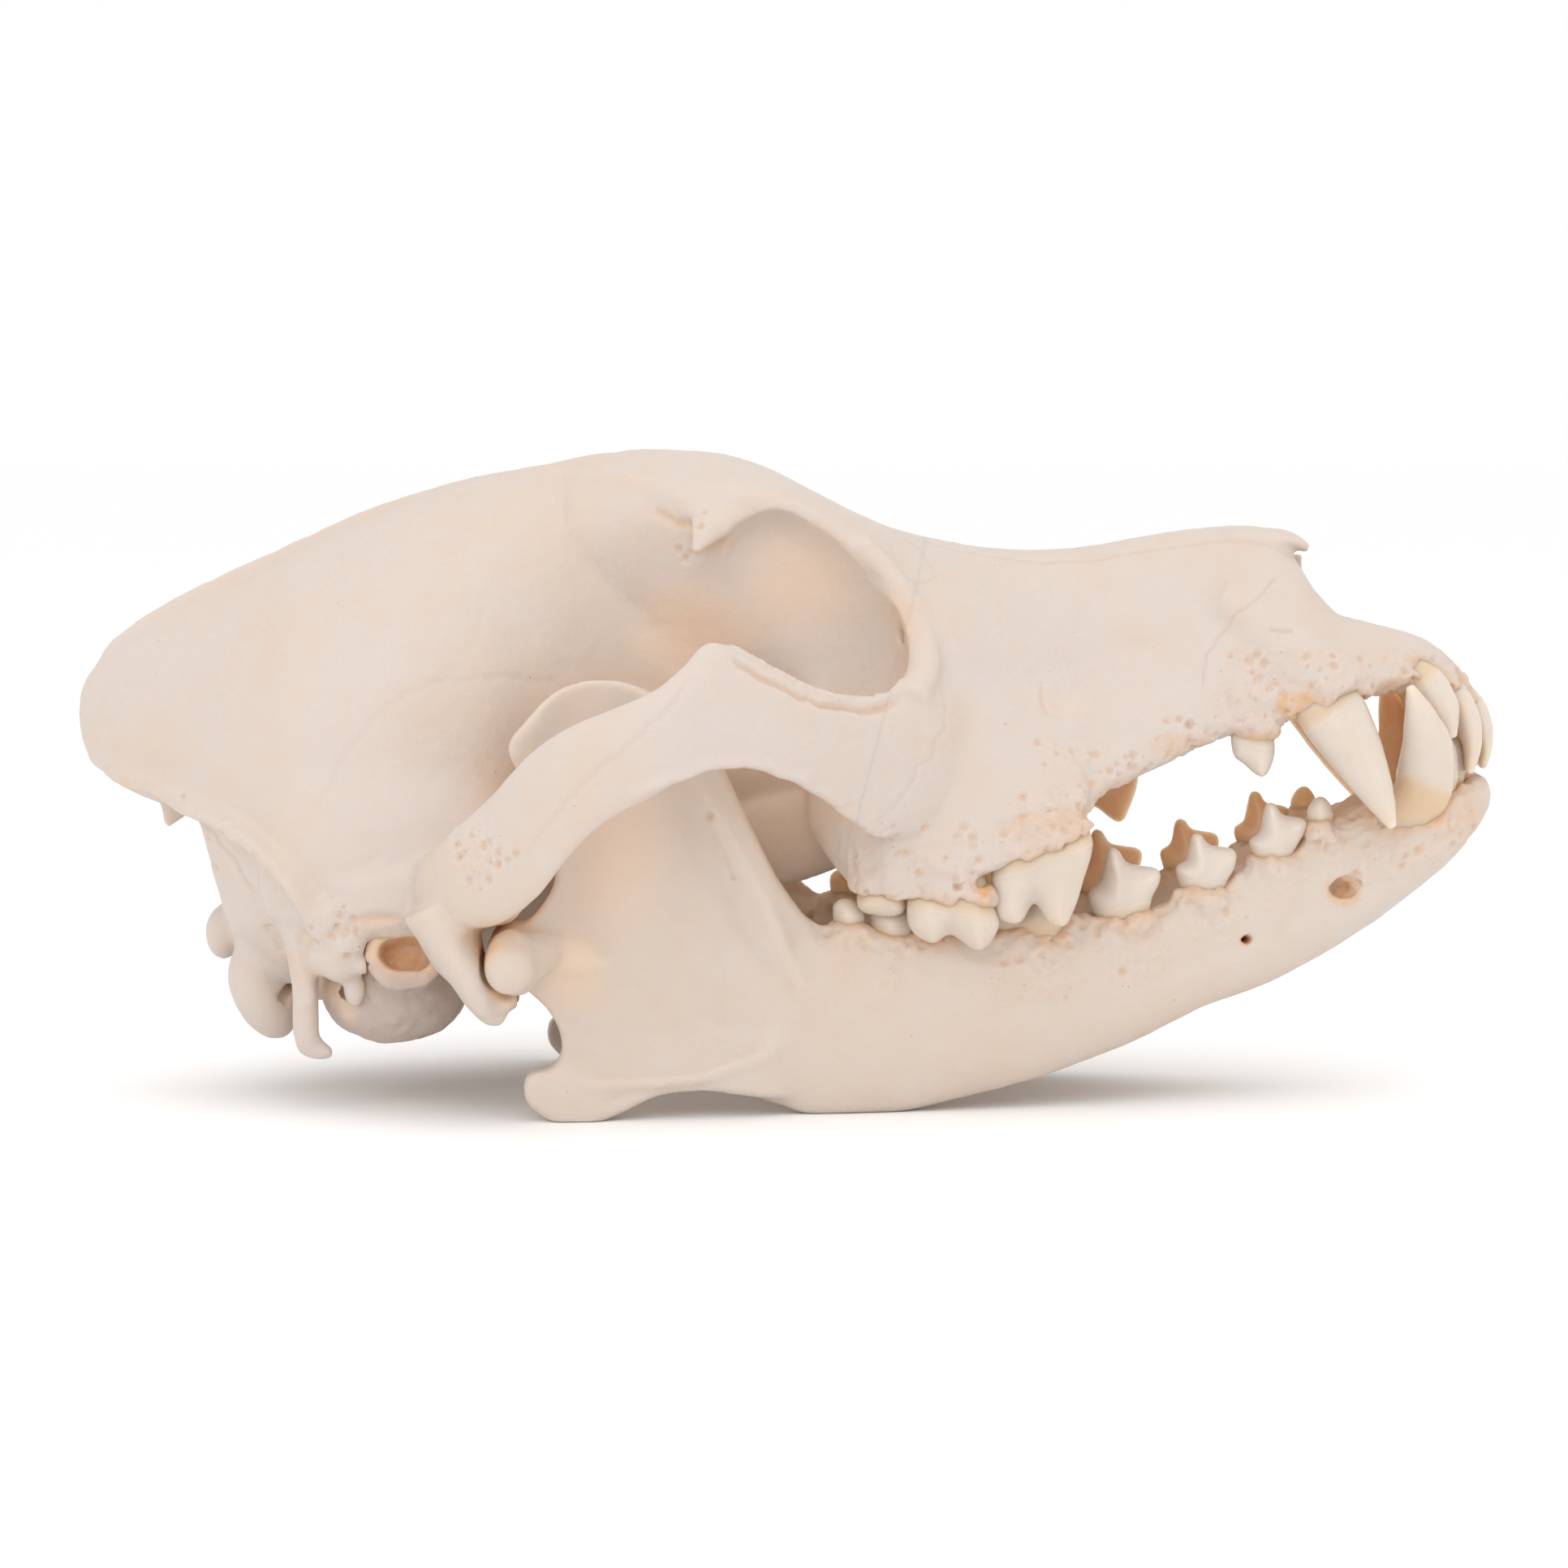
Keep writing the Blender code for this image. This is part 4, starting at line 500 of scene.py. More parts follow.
# Ridges and grooves of one side of the cranium: path, width, lift, how far it
# wanders, and for some the mask that it paints and that mask's strength
SKULL_CREASES = [
    # temple line from the brow to the top crest
    ([(-12.0, 29.0, 97.0), (-20.0, 24.0, 103.5), (-30.0, 16.0, 107.8), (-42.0, 7.0, 107.5),
     (-54.0, 2.0, 104.5)], 1.7, 0.5, 0.3),
    # edge of the brow, which is rough and cracked
    ([(-21.0, 23.0, 99.0), (-16.5, 27.0, 96.4), (-13.4, 30.5, 92.2)], 0.7, -0.5, 0.7, "stain", 0.45),
    # lip of the cheek arch under the orbit, and the groove outside it
    ([(-12.0, 56.5, 79.0), (-4.0, 53.4, 75.4), (5.0, 48.2, 70.8), (11.0, 43.4, 69.6),
     (17.0, 39.0, 70.4), (22.0, 35.4, 70.2)], 0.6, 1.0, 0.9),
    ([(-9.0, 58.0, 76.6), (-1.0, 55.4, 72.6), (7.0, 50.6, 69.0), (13.0, 45.6, 68.0),
     (20.0, 40.0, 68.6)], 0.6, -0.9, 0.8, "stain", 0.35),
    # edge under the cheek arch
    ([(-26.0, 61.5, 53.5), (-16.0, 60.2, 57.4), (-6.0, 57.4, 59.2), (2.0, 53.0, 56.4),
     (9.0, 47.5, 51.0), (13.0, 44.0, 46.0), (18.0, 41.0, 41.5)], 1.1, 0.9, 0.6),
    # sutures of the face
    ([(69.1, 18.5, 67.9), (70.0, 18.0, 73.3), (71.3, 17.5, 77.4), (73.3, 17.0, 79.8),
     (78.0, 15.5, 84.0), (84.0, 12.5, 88.5)], 0.25, -0.14, 0.5, "seam", 0.3),
    ([(80.5, 18.4, 79.8), (82.6, 18.4, 79.0), (84.8, 18.0, 78.8)], 0.35, -0.2, 0.3, "seam", 0.4),
    ([(88.0, 9.5, 90.5), (75.0, 9.2, 93.8), (60.0, 8.8, 92.4), (45.0, 9.4, 90.6), (30.0, 9.0, 91.4),
     (18.0, 6.0, 95.4), (12.0, 2.0, 98.2)], 0.3, -0.1, 0.4, "seam", 0.2),
    ([(20.5, 26.0, 86.0), (25.0, 20.0, 90.0), (22.0, 12.0, 94.0), (16.0, 5.0, 97.4)],
     0.45, -0.07, 0.5, "seam", 0.16),
    ([(23.0, 33.0, 74.0), (26.0, 34.8, 66.0), (21.0, 38.4, 57.0), (14.0, 40.5, 50.0)],
     0.45, -0.14, 0.7, "seam", 0.1),
    # suture along the cheek arch
    ([(-14.0, 59.0, 74.0), (-20.0, 61.0, 66.5), (-28.0, 62.0, 60.0), (-36.0, 61.0, 52.0),
     (-41.0, 58.0, 44.0)], 0.45, -0.15, 0.5, "seam", 0.12),
    # sutures of the braincase
    ([(-30.0, 21.0, 62.0), (-40.0, 28.0, 72.0), (-55.0, 31.5, 72.0), (-70.0, 32.5, 62.0),
     (-78.0, 33.0, 48.0)], 0.6, -0.12, 0.8, "seam", 0.07),
    ([(-34.0, 4.0, 108.0), (-36.0, 18.0, 98.0), (-34.0, 21.5, 84.0), (-30.0, 21.0, 70.0)],
     0.4, -0.05, 1.1, "seam", 0.04),
    ([(-96.0, 20.0, 50.0), (-92.0, 24.0, 44.0), (-86.0, 26.0, 36.0)], 0.6, -0.25, 0.8, "seam", 0.25),
    # vessels' courses
    ([(-44.0, 29.0, 52.0), (-54.0, 31.0, 60.0), (-66.0, 32.0, 74.0), (-72.0, 29.0, 82.0)],
     1.2, -0.16, 0.8),
    ([(-60.0, 31.5, 66.0), (-52.0, 30.5, 76.0), (-48.0, 27.5, 86.0)], 1.0, -0.12, 0.8),
    ([(40.0, 24.5, 72.0), (52.0, 19.5, 76.0), (66.0, 17.0, 80.0)], 1.4, -0.14, 0.6),
    ([(43.2, 23.5, 71.4), (42.2, 24.0, 68.0), (42.8, 24.5, 64.0)], 0.5, -0.22, 0.5, "stain", 0.22),
    # edge of the root of the cheek arch above the ear
    ([(-46.0, 47.0, 52.5), (-52.0, 40.0, 46.0), (-60.0, 36.0, 40.5), (-70.0, 35.0, 38.5),
     (-77.0, 34.6, 38.0)], 1.6, 0.3, 0.3),
    # ridge from the ear to the neck crest, and the furrow behind it
    ([(-80.0, 27.6, 31.0), (-79.0, 28.6, 24.0), (-78.5, 28.6, 17.0)], 1.1, 0.5, 0.2),
    ([(-84.5, 23.0, 32.0), (-83.5, 23.5, 25.0)], 1.3, -0.7, 0.2),
    # edge of the crest round the back of the head
    ([(-116.0, 2.4, 56.6), (-111.0, 8.4, 54.6), (-104.0, 15.5, 52.0), (-94.0, 25.0, 48.4),
     (-86.0, 31.4, 44.0), (-80.0, 34.6, 37.4), (-76.6, 35.0, 31.0)], 1.0, 1.0, 0.35),
    # grooves of the palate
    ([(90.0, 6.5, 68.8), (74.0, 8.0, 64.6), (56.0, 11.0, 58.8), (40.0, 13.5, 51.4)], 1.3, -0.6, 0.3),
]

# Places of one side where the joined shapes of the cranium are evened out:
# middle, radii, rounds
SKULL_EVENED = [
    ((-5.0, 20.0, 79.0), (17.0, 11.0, 17.5), 300),
    ((-62.0, 32.0, 54.0), (25.0, 9.0, 14.0), 200),
]

# Ridges and grooves on the plane of symmetry
SKULL_MIDLINE = [
    ([(91.0, 0.0, 92.0), (84.0, 0.0, 94.8), (75.0, 0.0, 96.0), (60.0, 0.0, 94.2), (45.0, 0.0, 92.0),
     (30.0, 0.0, 92.8), (16.0, 0.0, 96.6)], 0.8, -0.6, 0.15, "seam", 0.35),
    ([(20.0, 0.0, 95.4), (8.0, 0.0, 100.0), (-6.0, 0.0, 107.0), (-20.0, 0.0, 109.4),
     (-34.0, 0.0, 108.6), (-48.0, 0.0, 105.0)], 4.2, -0.5, 0.0),
    ([(30.0, 0.0, 92.6), (10.0, 0.0, 99.0), (-6.0, 0.0, 106.6), (-24.0, 0.0, 109.0)],
     0.5, -0.25, 0.5, "seam", 0.25),
    ([(-113.0, 0.0, 56.0), (-106.0, 0.0, 50.6), (-99.0, 0.0, 46.0),
     (-95.5, 0.0, 37.0)], 2.4, 1.0, 0.3),
    ([(100.0, 0.0, 80.4), (106.0, 0.0, 78.4), (112.0, 0.0, 74.6), (117.0, 0.0, 68.0)],
     0.6, -0.7, 0.15, "seam", 0.5),
    ([(110.0, 0.0, 69.6), (80.0, 0.0, 67.5), (50.0, 0.0, 56.6), (25.0, 0.0, 46.5)],
     0.5, -0.35, 0.3, "seam", 0.4),
    ([(-30.0, 0.0, 33.0), (-50.0, 0.0, 21.8), (-70.0, 0.0, 16.6)], 1.8, 0.5, 0.2),
]

# Hollows and swellings of one side of the cranium: middle, radii, lift, and for
# some the mask that it paints and that mask's strength. The hollow mask is painted shade.
SKULL_DENTS = [
    ((-26.0, 22.0, 84.0), (17.0, 12.0, 22.0), -1.1),
    ((57.0, 19.0, 75.0), (16.0, 9.0, 10.0), -0.9),
    ((38.0, 26.0, 72.0), (12.0, 9.0, 7.0), -0.6),
    # Painted shade in this dent and in the orbit, the temple and low behind the palate
    ((46.0, 23.0, 66.8), (5.4, 6.0, 3.6), -0.7, "hollow", 0.15),
    ((-14.0, 19.0, 78.0), (15.0, 11.0, 17.0), 0.0, "hollow", 0.7),
    ((2.0, 24.0, 86.0), (14.0, 11.0, 14.0), 0.0, "hollow", 0.5),
    ((-10.0, 14.0, 52.0), (22.0, 12.0, 16.0), 0.0, "hollow", 0.6),
    ((19.0, 30.0, 79.0), (6.0, 7.0, 13.0), 0.0, "stain", 0.35),
    ((42.0, 34.0, 52.0), (4.6, 5.0, 9.0), 0.7),
    ((48.0, 32.0, 52.0), (3.2, 5.0, 8.0), 0.5),
    ((56.0, 24.0, 57.0), (3.4, 5.0, 7.0), 0.4),
    ((26.0, 38.0, 42.0), (3.0, 5.0, 7.0), 0.6),
    ((17.0, 36.5, 42.0), (3.0, 5.0, 6.0), 0.5),
    ((-103.0, 12.0, 50.0), (9.0, 8.0, 12.0), -1.6),
    ((-92.0, 22.0, 38.0), (7.0, 6.0, 10.0), -1.2),
    ((-94.5, 9.0, 39.0), (5.0, 5.0, 7.0), 0.8),
    ((8.0, 44.5, 61.8), (1.1, 3.0, 1.0), -0.9, "stain", 0.7),
    ((-66.0, 32.0, 68.0), (15.0, 8.0, 16.0), 0.5),
    ((-44.0, 27.0, 84.0), (12.0, 8.0, 12.0), -0.4),
    ((-50.0, 48.0, 30.0), (7.0, 8.0, 4.0), -0.6),
    ((108.0, 10.0, 74.5), (5.0, 5.0, 4.0), 0.5),
    # Painted shade under the roof of the ear
    ((-66.0, 36.0, 31.8), (6.5, 5.0, 3.0), -1.4, "hollow", 0.6),
]

# Ragged patches of a mask on one side of the cranium: mask, middle, radii, strength
SKULL_PATCHES = [
    ("pores", (-47.5, 53.0, 45.0), (6.5, 7.0, 6.5), 1.0),
    ("pores", (44.6, 34.0, 49.0), (9.0, 7.0, 5.0), 1.0),
    ("pores", (30.0, 37.0, 43.0), (9.0, 6.0, 5.5), 0.8),
    ("pores", (18.0, 37.0, 42.0), (8.0, 6.0, 7.0), 0.9),
    ("pores", (57.0, 23.0, 55.5), (9.0, 6.0, 5.0), 0.95),
    ("pores", (67.0, 21.0, 61.0), (8.0, 6.0, 4.5), 1.0),
    ("pores", (80.0, 19.0, 66.5), (7.0, 6.0, 5.5), 0.9),
    ("pores", (93.0, 20.0, 69.0), (9.0, 6.0, 5.5), 0.7),
    ("pores", (104.0, 14.0, 70.5), (7.0, 7.0, 5.0), 0.9),
    ("pores", (113.0, 7.0, 71.0), (6.0, 8.0, 5.0), 1.0),
    ("pores", (-15.0, 28.0, 95.5), (6.5, 5.0, 5.0), 0.7),
    ("pores", (-72.0, 33.0, 32.0), (7.0, 6.0, 6.0), 0.9),
    ("pores", (-94.0, 18.0, 44.0), (9.0, 9.0, 8.0), 0.45),
    ("pores", (14.0, 43.0, 48.0), (6.0, 6.0, 4.0), 0.8),
    ("stain", (43.0, 36.0, 48.0), (9.0, 5.0, 3.4), 0.36),
    ("stain", (68.0, 21.0, 60.0), (10.0, 5.0, 2.4), 0.35),
    ("stain", (86.0, 19.0, 66.5), (4.0, 5.0, 2.6), 0.8),
    ("stain", (58.0, 22.0, 53.0), (8.0, 5.0, 2.4), 0.3),
    ("stain", (32.6, 34.5, 38.2), (2.6, 5.0, 2.6), 0.95),
    ("stain", (103.0, 15.0, 69.0), (4.0, 6.0, 2.6), 0.45),
    ("stain", (-62.0, 27.5, 29.5), (6.0, 5.0, 3.5), 0.8),
    ("stain", (-48.0, 42.0, 30.0), (3.0, 7.0, 6.0), 0.7),
    ("stain", (-78.0, 28.0, 25.0), (5.0, 5.0, 5.0), 0.3),
    ("stain", (-47.0, 40.0, 33.0), (7.0, 12.0, 4.0), 0.65),
    ("stain", (-12.0, 27.0, 95.0), (5.0, 4.0, 3.0), 0.3),
    ("stain", (16.0, 31.0, 70.0), (6.0, 6.0, 5.0), 0.3),
    ("polish", (-91.0, 13.0, 15.0), (11.0, 9.0, 9.0), 0.8),
]

# The same for one half of the lower jaw
JAW_CREASES = [
    ([(-15.0, 38.5, 57.0), (-8.1, 36.5, 45.0), (-2.1, 34.6, 33.1), (1.9, 33.2, 23.8),
     (4.6, 32.0, 17.0)], 1.7, 0.8, 0.2),
    ([(-33.0, 40.0, 6.0), (-24.0, 39.5, 6.4), (-15.3, 38.6, 6.9), (-9.0, 37.0, 8.6),
     (0.0, 34.6, 10.9)], 1.3, 0.6, 0.3),
    ([(-12.0, 38.0, 50.0), (-10.5, 37.5, 46.0), (-6.0, 36.0, 38.0)], 0.6, 0.35, 0.9),
    ([(-30.0, 40.0, 3.0), (-20.0, 39.0, 5.0), (-10.0, 37.5, 5.4)], 0.9, -0.35, 0.4),
    ([(14.0, 22.0, 22.0), (34.0, 19.0, 17.0), (56.0, 13.5, 17.0), (76.0, 7.0, 23.0)], 1.7, 0.45, 0.3),
    ([(-11.0, 29.0, 30.0), (-2.0, 27.0, 22.0), (10.0, 23.6, 15.0)], 1.0, -0.4, 0.2),
    ([(60.0, 22.0, 22.0), (74.0, 19.6, 26.0), (90.0, 15.8, 32.0)], 1.6, -0.18, 0.6),
    ([(100.0, 15.0, 40.0), (108.0, 13.4, 43.0), (113.0, 9.6, 46.0)], 0.8, -0.25, 0.9),
]
JAW_DENTS = [
    ((-32.0, 33.0, 34.0), (10.0, 5.0, 16.0), -0.5),
    ((-24.0, 31.5, 60.0), (10.0, 6.0, 10.0), -0.4),
    ((68.0, 20.0, 28.0), (12.0, 5.0, 6.0), -0.4),
    ((106.0, 14.0, 44.0), (7.0, 5.0, 8.0), 0.6),
    ((56.2, 23.0, 32.4), (1.3, 4.0, 3.4), -0.8, "stain", 0.6),
    ((95.0, 15.0, 36.4), (5.0, 6.0, 3.4), -0.5, "stain", 0.15),
    ((-12.5, 29.6, 30.5), (4.4, 3.0, 3.4), -0.9, "stain", 0.5),
    ((112.0, 9.0, 47.5), (10.0, 9.0, 8.0), 0.0, "stain", 0.48),
    ((103.0, 14.0, 50.0), (9.0, 6.0, 4.0), 0.0, "stain", 0.35),
    # Painted shade in the hollow of the jaw's branch and under its condyle
    ((-26.0, 38.0, 44.0), (13.0, 8.0, 22.0), 0.0, "hollow", 0.5),
    ((-34.0, 38.0, 25.0), (8.0, 6.0, 10.0), 0.0, "hollow", 0.45),
]
JAW_PATCHES = [
    ("pores", (108.0, 11.0, 47.0), (11.0, 8.0, 6.0), 0.8),
    ("pores", (114.0, 4.0, 44.0), (6.0, 8.0, 9.0), 0.7),
    ("pores", (84.0, 15.0, 42.0), (9.0, 6.0, 3.4), 0.7),
    ("pores", (71.0, 18.0, 37.5), (8.0, 6.0, 3.6), 0.8),
    ("pores", (56.0, 21.0, 33.0), (9.0, 6.0, 3.0), 1.0),
    ("pores", (36.0, 26.0, 31.0), (14.0, 6.0, 2.0), 0.7),
    ("pores", (-9.0, 37.0, 46.0), (4.0, 5.0, 8.0), 0.6),
    ("pores", (-36.0, 37.0, 4.0), (8.0, 6.0, 4.0), 0.5),
    ("stain", (94.0, 13.5, 35.6), (3.4, 4.6, 2.8), 0.9),
    ("stain", (77.0, 16.0, 27.5), (1.5, 4.5, 1.4), 0.9),
    ("stain", (56.0, 22.0, 32.6), (7.0, 5.0, 3.4), 0.5),
    ("stain", (70.5, 18.6, 37.0), (6.0, 5.0, 2.6), 0.45),
    ("stain", (83.0, 15.6, 42.2), (5.0, 5.0, 2.4), 0.35),
    ("stain", (106.0, 12.0, 51.5), (7.0, 6.0, 2.0), 0.3),
    ("stain", (36.0, 27.0, 31.5), (14.0, 5.0, 1.6), 0.3),
    ("polish", (-44.0, 38.0, 28.0), (6.0, 14.0, 6.0), 0.7),
]

# The same for one ear capsule
EAR_CREASES = [
    ([(-67.5, 32.2, 27.0), (-65.5, 32.8, 31.0), (-60.0, 33.2, 31.4), (-56.6, 32.8, 27.0)],
     0.9, 0.25, 0.2),
    ([(-67.0, 32.2, 26.0), (-64.5, 32.4, 22.4), (-59.5, 32.4, 22.2),
     (-56.6, 32.4, 26.0)], 0.9, 0.3, 0.2),
    ([(-70.0, 27.0, 24.0), (-68.0, 28.0, 17.0), (-62.0, 27.0, 12.4)], 1.0, -0.5, 0.4),
    ([(-76.0, 20.0, 22.0), (-72.0, 24.0, 14.0), (-64.0, 24.0, 11.0)], 1.3, 0.4, 0.4),
]
EAR_DENTS = [
    ((-70.0, 26.0, 16.0), (4.0, 4.0, 5.0), 0.7),
    # Painted shade in this dent
    ((-73.0, 25.0, 20.0), (2.6, 3.0, 3.4), -1.0, "hollow", 0.6),
    ((-57.0, 24.0, 13.0), (5.0, 5.0, 5.0), 0.3),
]
EAR_PATCHES = [
    ("stain", (-62.0, 27.0, 26.0), (6.0, 8.0, 4.6), 1.0),
    # Painted shade
    ("hollow", (-72.0, 25.0, 20.0), (5.0, 5.0, 6.0), 0.5),
    ("pores", (-70.0, 29.0, 24.0), (5.0, 5.0, 6.0), 0.5),
    ("polish", (-58.0, 21.0, 13.0), (11.0, 10.0, 8.0), 1.0),
]

# How the surface is worked
EVERYWHERE = slice(None)
ROUTE_STEP = 0.8               # between the points of a crease
JAG_LENGTH = 2.6               # of the lumps that make a crease wander
CREASE_END = 0.12              # share of a crease over which each end fades
PIT_RADIUS = 0.7
PIT_DEPTH = 0.45
PIT_STAIN = 0.4
SKY_RAYS = 18                  # cast from each point that the hollow mask starts from
SKY_START = 2.2                # off the surface
SKY_REACH = 0.08               # in metres
SKY_CELL = 4.0
BOX_MARGIN = 0.02
# The boxes that the bone round the teeth lies in
UPPER_SOCKETS = ((8.0, -45.0, 30.0), (125.0, 45.0, 76.0))
LOWER_SOCKETS = ((4.0, -40.0, 18.0), (122.0, 40.0, 60.0))

# Bones that the finished cranium is divided into, with the solids they stand for
CRANIUM_BONES = [
    ("braincase_bone", "braincase"), ("muzzle_bone", "muzzle"),
    ("cheek_arch_right", "zygomatic_arch_right"), ("cheek_arch_left", "zygomatic_arch_left"),
]


def smooth_values(places, values, at):
    """Values along a monotone cubic through the given rows."""
    step = np.diff(places)[:, None]
    slope = np.diff(values, axis=0) / step
    bend = np.zeros_like(values)
    bend[0] = slope[0]
    bend[-1] = slope[-1]
    before, after = slope[:-1], slope[1:]
    turning = before * after <= 0
    safe_before = np.where(turning, 1.0, before)
    safe_after = np.where(turning, 1.0, after)
    weighted = (step[:-1] + step[1:]) / (step[:-1] / safe_before + step[1:] / safe_after)
    bend[1:-1] = np.where(turning, 0.0, weighted)
    spot = np.clip(np.searchsorted(places, at) - 1, 0, len(places) - 2)
    s = ((at - places[spot]) / step[spot, 0])[:, None]
    width = step[spot]
    return (values[spot] * (1 + 2 * s) * (1 - s) ** 2 + bend[spot] * width * s * (1 - s) ** 2
            + values[spot + 1] * s ** 2 * (3 - 2 * s) - bend[spot + 1] * width * s ** 2 * (1 - s))


def resample(rows, count, keys):
    """`count` rows, evenly spaced along the path that the first `keys` columns give."""
    rows = np.array(rows, float)
    lengths = np.linalg.norm(np.diff(rows[:, :keys], axis=0), axis=1)
    places = np.concatenate([[0.0], np.cumsum(lengths)])
    return smooth_values(places, rows, np.linspace(0.0, places[-1], count))


def rounded(angle, power):
    """One side of a superellipse: the pair (across, up) at an angle."""
    across = math.copysign(abs(math.cos(angle)) ** (2 / power), math.cos(angle))
    up = math.copysign(abs(math.sin(angle)) ** (2 / power), math.sin(angle))
    return across, up


def ease(share):
    """A smooth step from 0 to 1."""
    share = np.clip(share, 0.0, 1.0)
    return share * share * (3 - 2 * share)


def mirrored(path, side):
    """A path or a point on the animal's right (-1) or left (+1) side."""
    return np.array(path, float) * (1.0, side, 1.0)


def new_object(name, data):
    """Put a mesh, a light or a camera in the scene."""
    item = bpy.data.objects.new(name, data)
    bpy.context.scene.collection.objects.link(item)
    return item


def finished_shape(name, shape):
    """Turn a shape in the making into an object of the scene."""
    mesh = bpy.data.meshes.new(name)
    shape.to_mesh(mesh)
    shape.free()
    return new_object(name, mesh)


def skin(name, rings):
    """A closed body through rings of points in millimetres, with fanned ends."""
    shape = bmesh.new()
    loops = [[shape.verts.new(Vector(point) * MM) for point in ring] for ring in rings]
    sides = len(loops[0])
    for low, high in zip(loops, loops[1:]):
        for i in range(sides):
            j = (i + 1) % sides
            shape.faces.new((low[i], low[j], high[j], high[i]))
    for ring in (loops[0], loops[-1]):
        middle = sum((vert.co for vert in ring), Vector()) / sides
        centre = shape.verts.new(middle)
        for i in range(sides):
            shape.faces.new((ring[i], ring[(i + 1) % sides], centre))
    bmesh.ops.recalc_face_normals(shape, faces=shape.faces)
    return finished_shape(name, shape)


def hull(name, rows, count=90, sides=72):
    """A hull along x, symmetrical about y = 0, from rows of section sizes."""
    rings = []
    for x, top, bottom, half, widest, roof, base in resample(rows, count, 1):
        ring = []
        for i in range(sides):
            angle = 2 * math.pi * i / sides
            upper = math.sin(angle) >= 0
            across, up = rounded(angle, roof if upper else base)
            height = (top - widest) if upper else (widest - bottom)
            ring.append((x, half * across, widest + height * up))
        rings.append(ring)
    return skin(name, rings)


def closed_curve(points):
    """A smooth closed curve through the points."""
    points = np.array(points, float)
    result = []
    for i in range(len(points)):
        a, b, c, d = (points[(i + k) % len(points)] for k in (-1, 0, 1, 2))
        for t in np.linspace(0, 1, CURVE_STEPS, endpoint=False):
            result.append(0.5 * (2 * b + (c - a) * t + (2 * a - 5 * b + 4 * c - d) * t ** 2
                                 + (3 * b - a - 3 * c + d) * t ** 3))
    return result


def muzzle_hull(name, rows, count=120):
    """The muzzle, whose sections have a roof, two walls, gum ridges and a palate."""
    rings = []
    for row in resample(rows, count, 1):
        x, top, roof_half, roof_z, wall_half, wall_z, gum_half, gum_z, palate_z = row
        inner = max(gum_half - GUM_RIDGE_WIDTH, 0.35 * gum_half)
        half_section = [
            (roof_half, roof_z), (wall_half, wall_z), (gum_half, gum_z + GUM_RIDGE_HEIGHT),
            (0.5 * (gum_half + inner), gum_z), (inner, gum_z + GUM_RIDGE_HEIGHT),
        ]
        right = [(-y, z) for y, z in reversed(half_section)]
        outline = [(0.0, top)] + half_section + [(0.0, palate_z)] + right
        rings.append([(x, y, z) for y, z in closed_curve(outline)])
    return skin(name, rings)


def rib(name, rows, side, count=120, sides=36, power=2.4):
    """An upright bar along a curved path: rows of x, y, top, bottom, thickness."""
    rows = resample(rows, count, 2)
    heading = np.gradient(rows[:, :2], axis=0)
    heading /= np.linalg.norm(heading, axis=1)[:, None]
    rings = []
    for (x, y, top, bottom, thick), (along_x, along_y) in zip(rows, heading):
        ring = []
        for i in range(sides):
            across, up = rounded(2 * math.pi * i / sides, power)
            offset = 0.5 * thick * across
            ring.append((x - along_y * offset, side * (y + along_x * offset),
                         0.5 * (top + bottom) + 0.5 * (top - bottom) * up))
        rings.append(ring)
    return skin(name, rings)


def rod(name, rows, side=1.0, count=40, sides=28, grow=0.0):
    """A tapered rod: rows of x, y, z, radius along x and radius across it."""
    rows = resample(rows, count, 3)
    middles = rows[:, :3] * np.array((1.0, side, 1.0))
    heading = np.gradient(middles, axis=0)
    rings = []
    for middle, direction, row in zip(middles, heading, rows):
        axis = Vector(direction).normalized()
        lead = Vector((1.0, 0.0, 0.0))
        if abs(axis.x) > 0.9:
            lead = Vector((0.0, 0.0, 1.0))
        along = (lead - axis * lead.dot(axis)).normalized()
        across = axis.cross(along)
        long_radius, short_radius = row[3] + grow, row[4] + grow
        ring = []
        for i in range(sides):
            angle = 2 * math.pi * i / sides
            point = (Vector(middle) + along * math.cos(angle) * long_radius
                     + across * math.sin(angle) * short_radius)
            ring.append(tuple(point))
        rings.append(ring)
    return skin(name, rings)


def ball(name, middle, radii, side=1.0, grow=0.0, turn_y=0.0, turn_z=0.0):
    """An ellipsoid of one side, turned about Y and then about Z."""
    x, y, z = middle
    shape = bmesh.new()
    bmesh.ops.create_uvsphere(shape, u_segments=48, v_segments=24, radius=1.0)
    stretch = Matrix.Diagonal((*[(radius + grow) * MM for radius in radii], 1.0))
    moved = (Matrix.Translation(Vector((x, y * side, z)) * MM) @ Matrix.Rotation(turn_z, 4, "Z")
             @ Matrix.Rotation(turn_y, 4, "Y") @ stretch)
    bmesh.ops.transform(shape, matrix=moved, verts=shape.verts)
    return finished_shape(name, shape)


def prism(name, outline, low, high):
    """An outline of (x, z), extruded along y from low to high."""
    shape = bmesh.new()
    base = [shape.verts.new((x * MM, low * MM, z * MM)) for x, z in outline]
    face = shape.faces.new(base)
    pushed = bmesh.ops.extrude_face_region(shape, geom=[face])
    moved = [part for part in pushed["geom"] if isinstance(part, bmesh.types.BMVert)]
    bmesh.ops.translate(shape, vec=(0.0, (high - low) * MM, 0.0), verts=moved)
    bmesh.ops.recalc_face_normals(shape, faces=shape.faces)
    return finished_shape(name, shape)


def settle(item):
    """Replace an object's mesh by the one its modifiers give."""
    graph = bpy.context.evaluated_depsgraph_get()
    mesh = bpy.data.meshes.new_from_object(item.evaluated_get(graph))
    old = item.data
    item.modifiers.clear()
    item.data = mesh
    bpy.data.meshes.remove(old)


def remove(items):
    """Take helper objects and their meshes away."""
    for item in items:
        mesh = item.data
        bpy.data.objects.remove(item, do_unlink=True)
        bpy.data.meshes.remove(mesh)


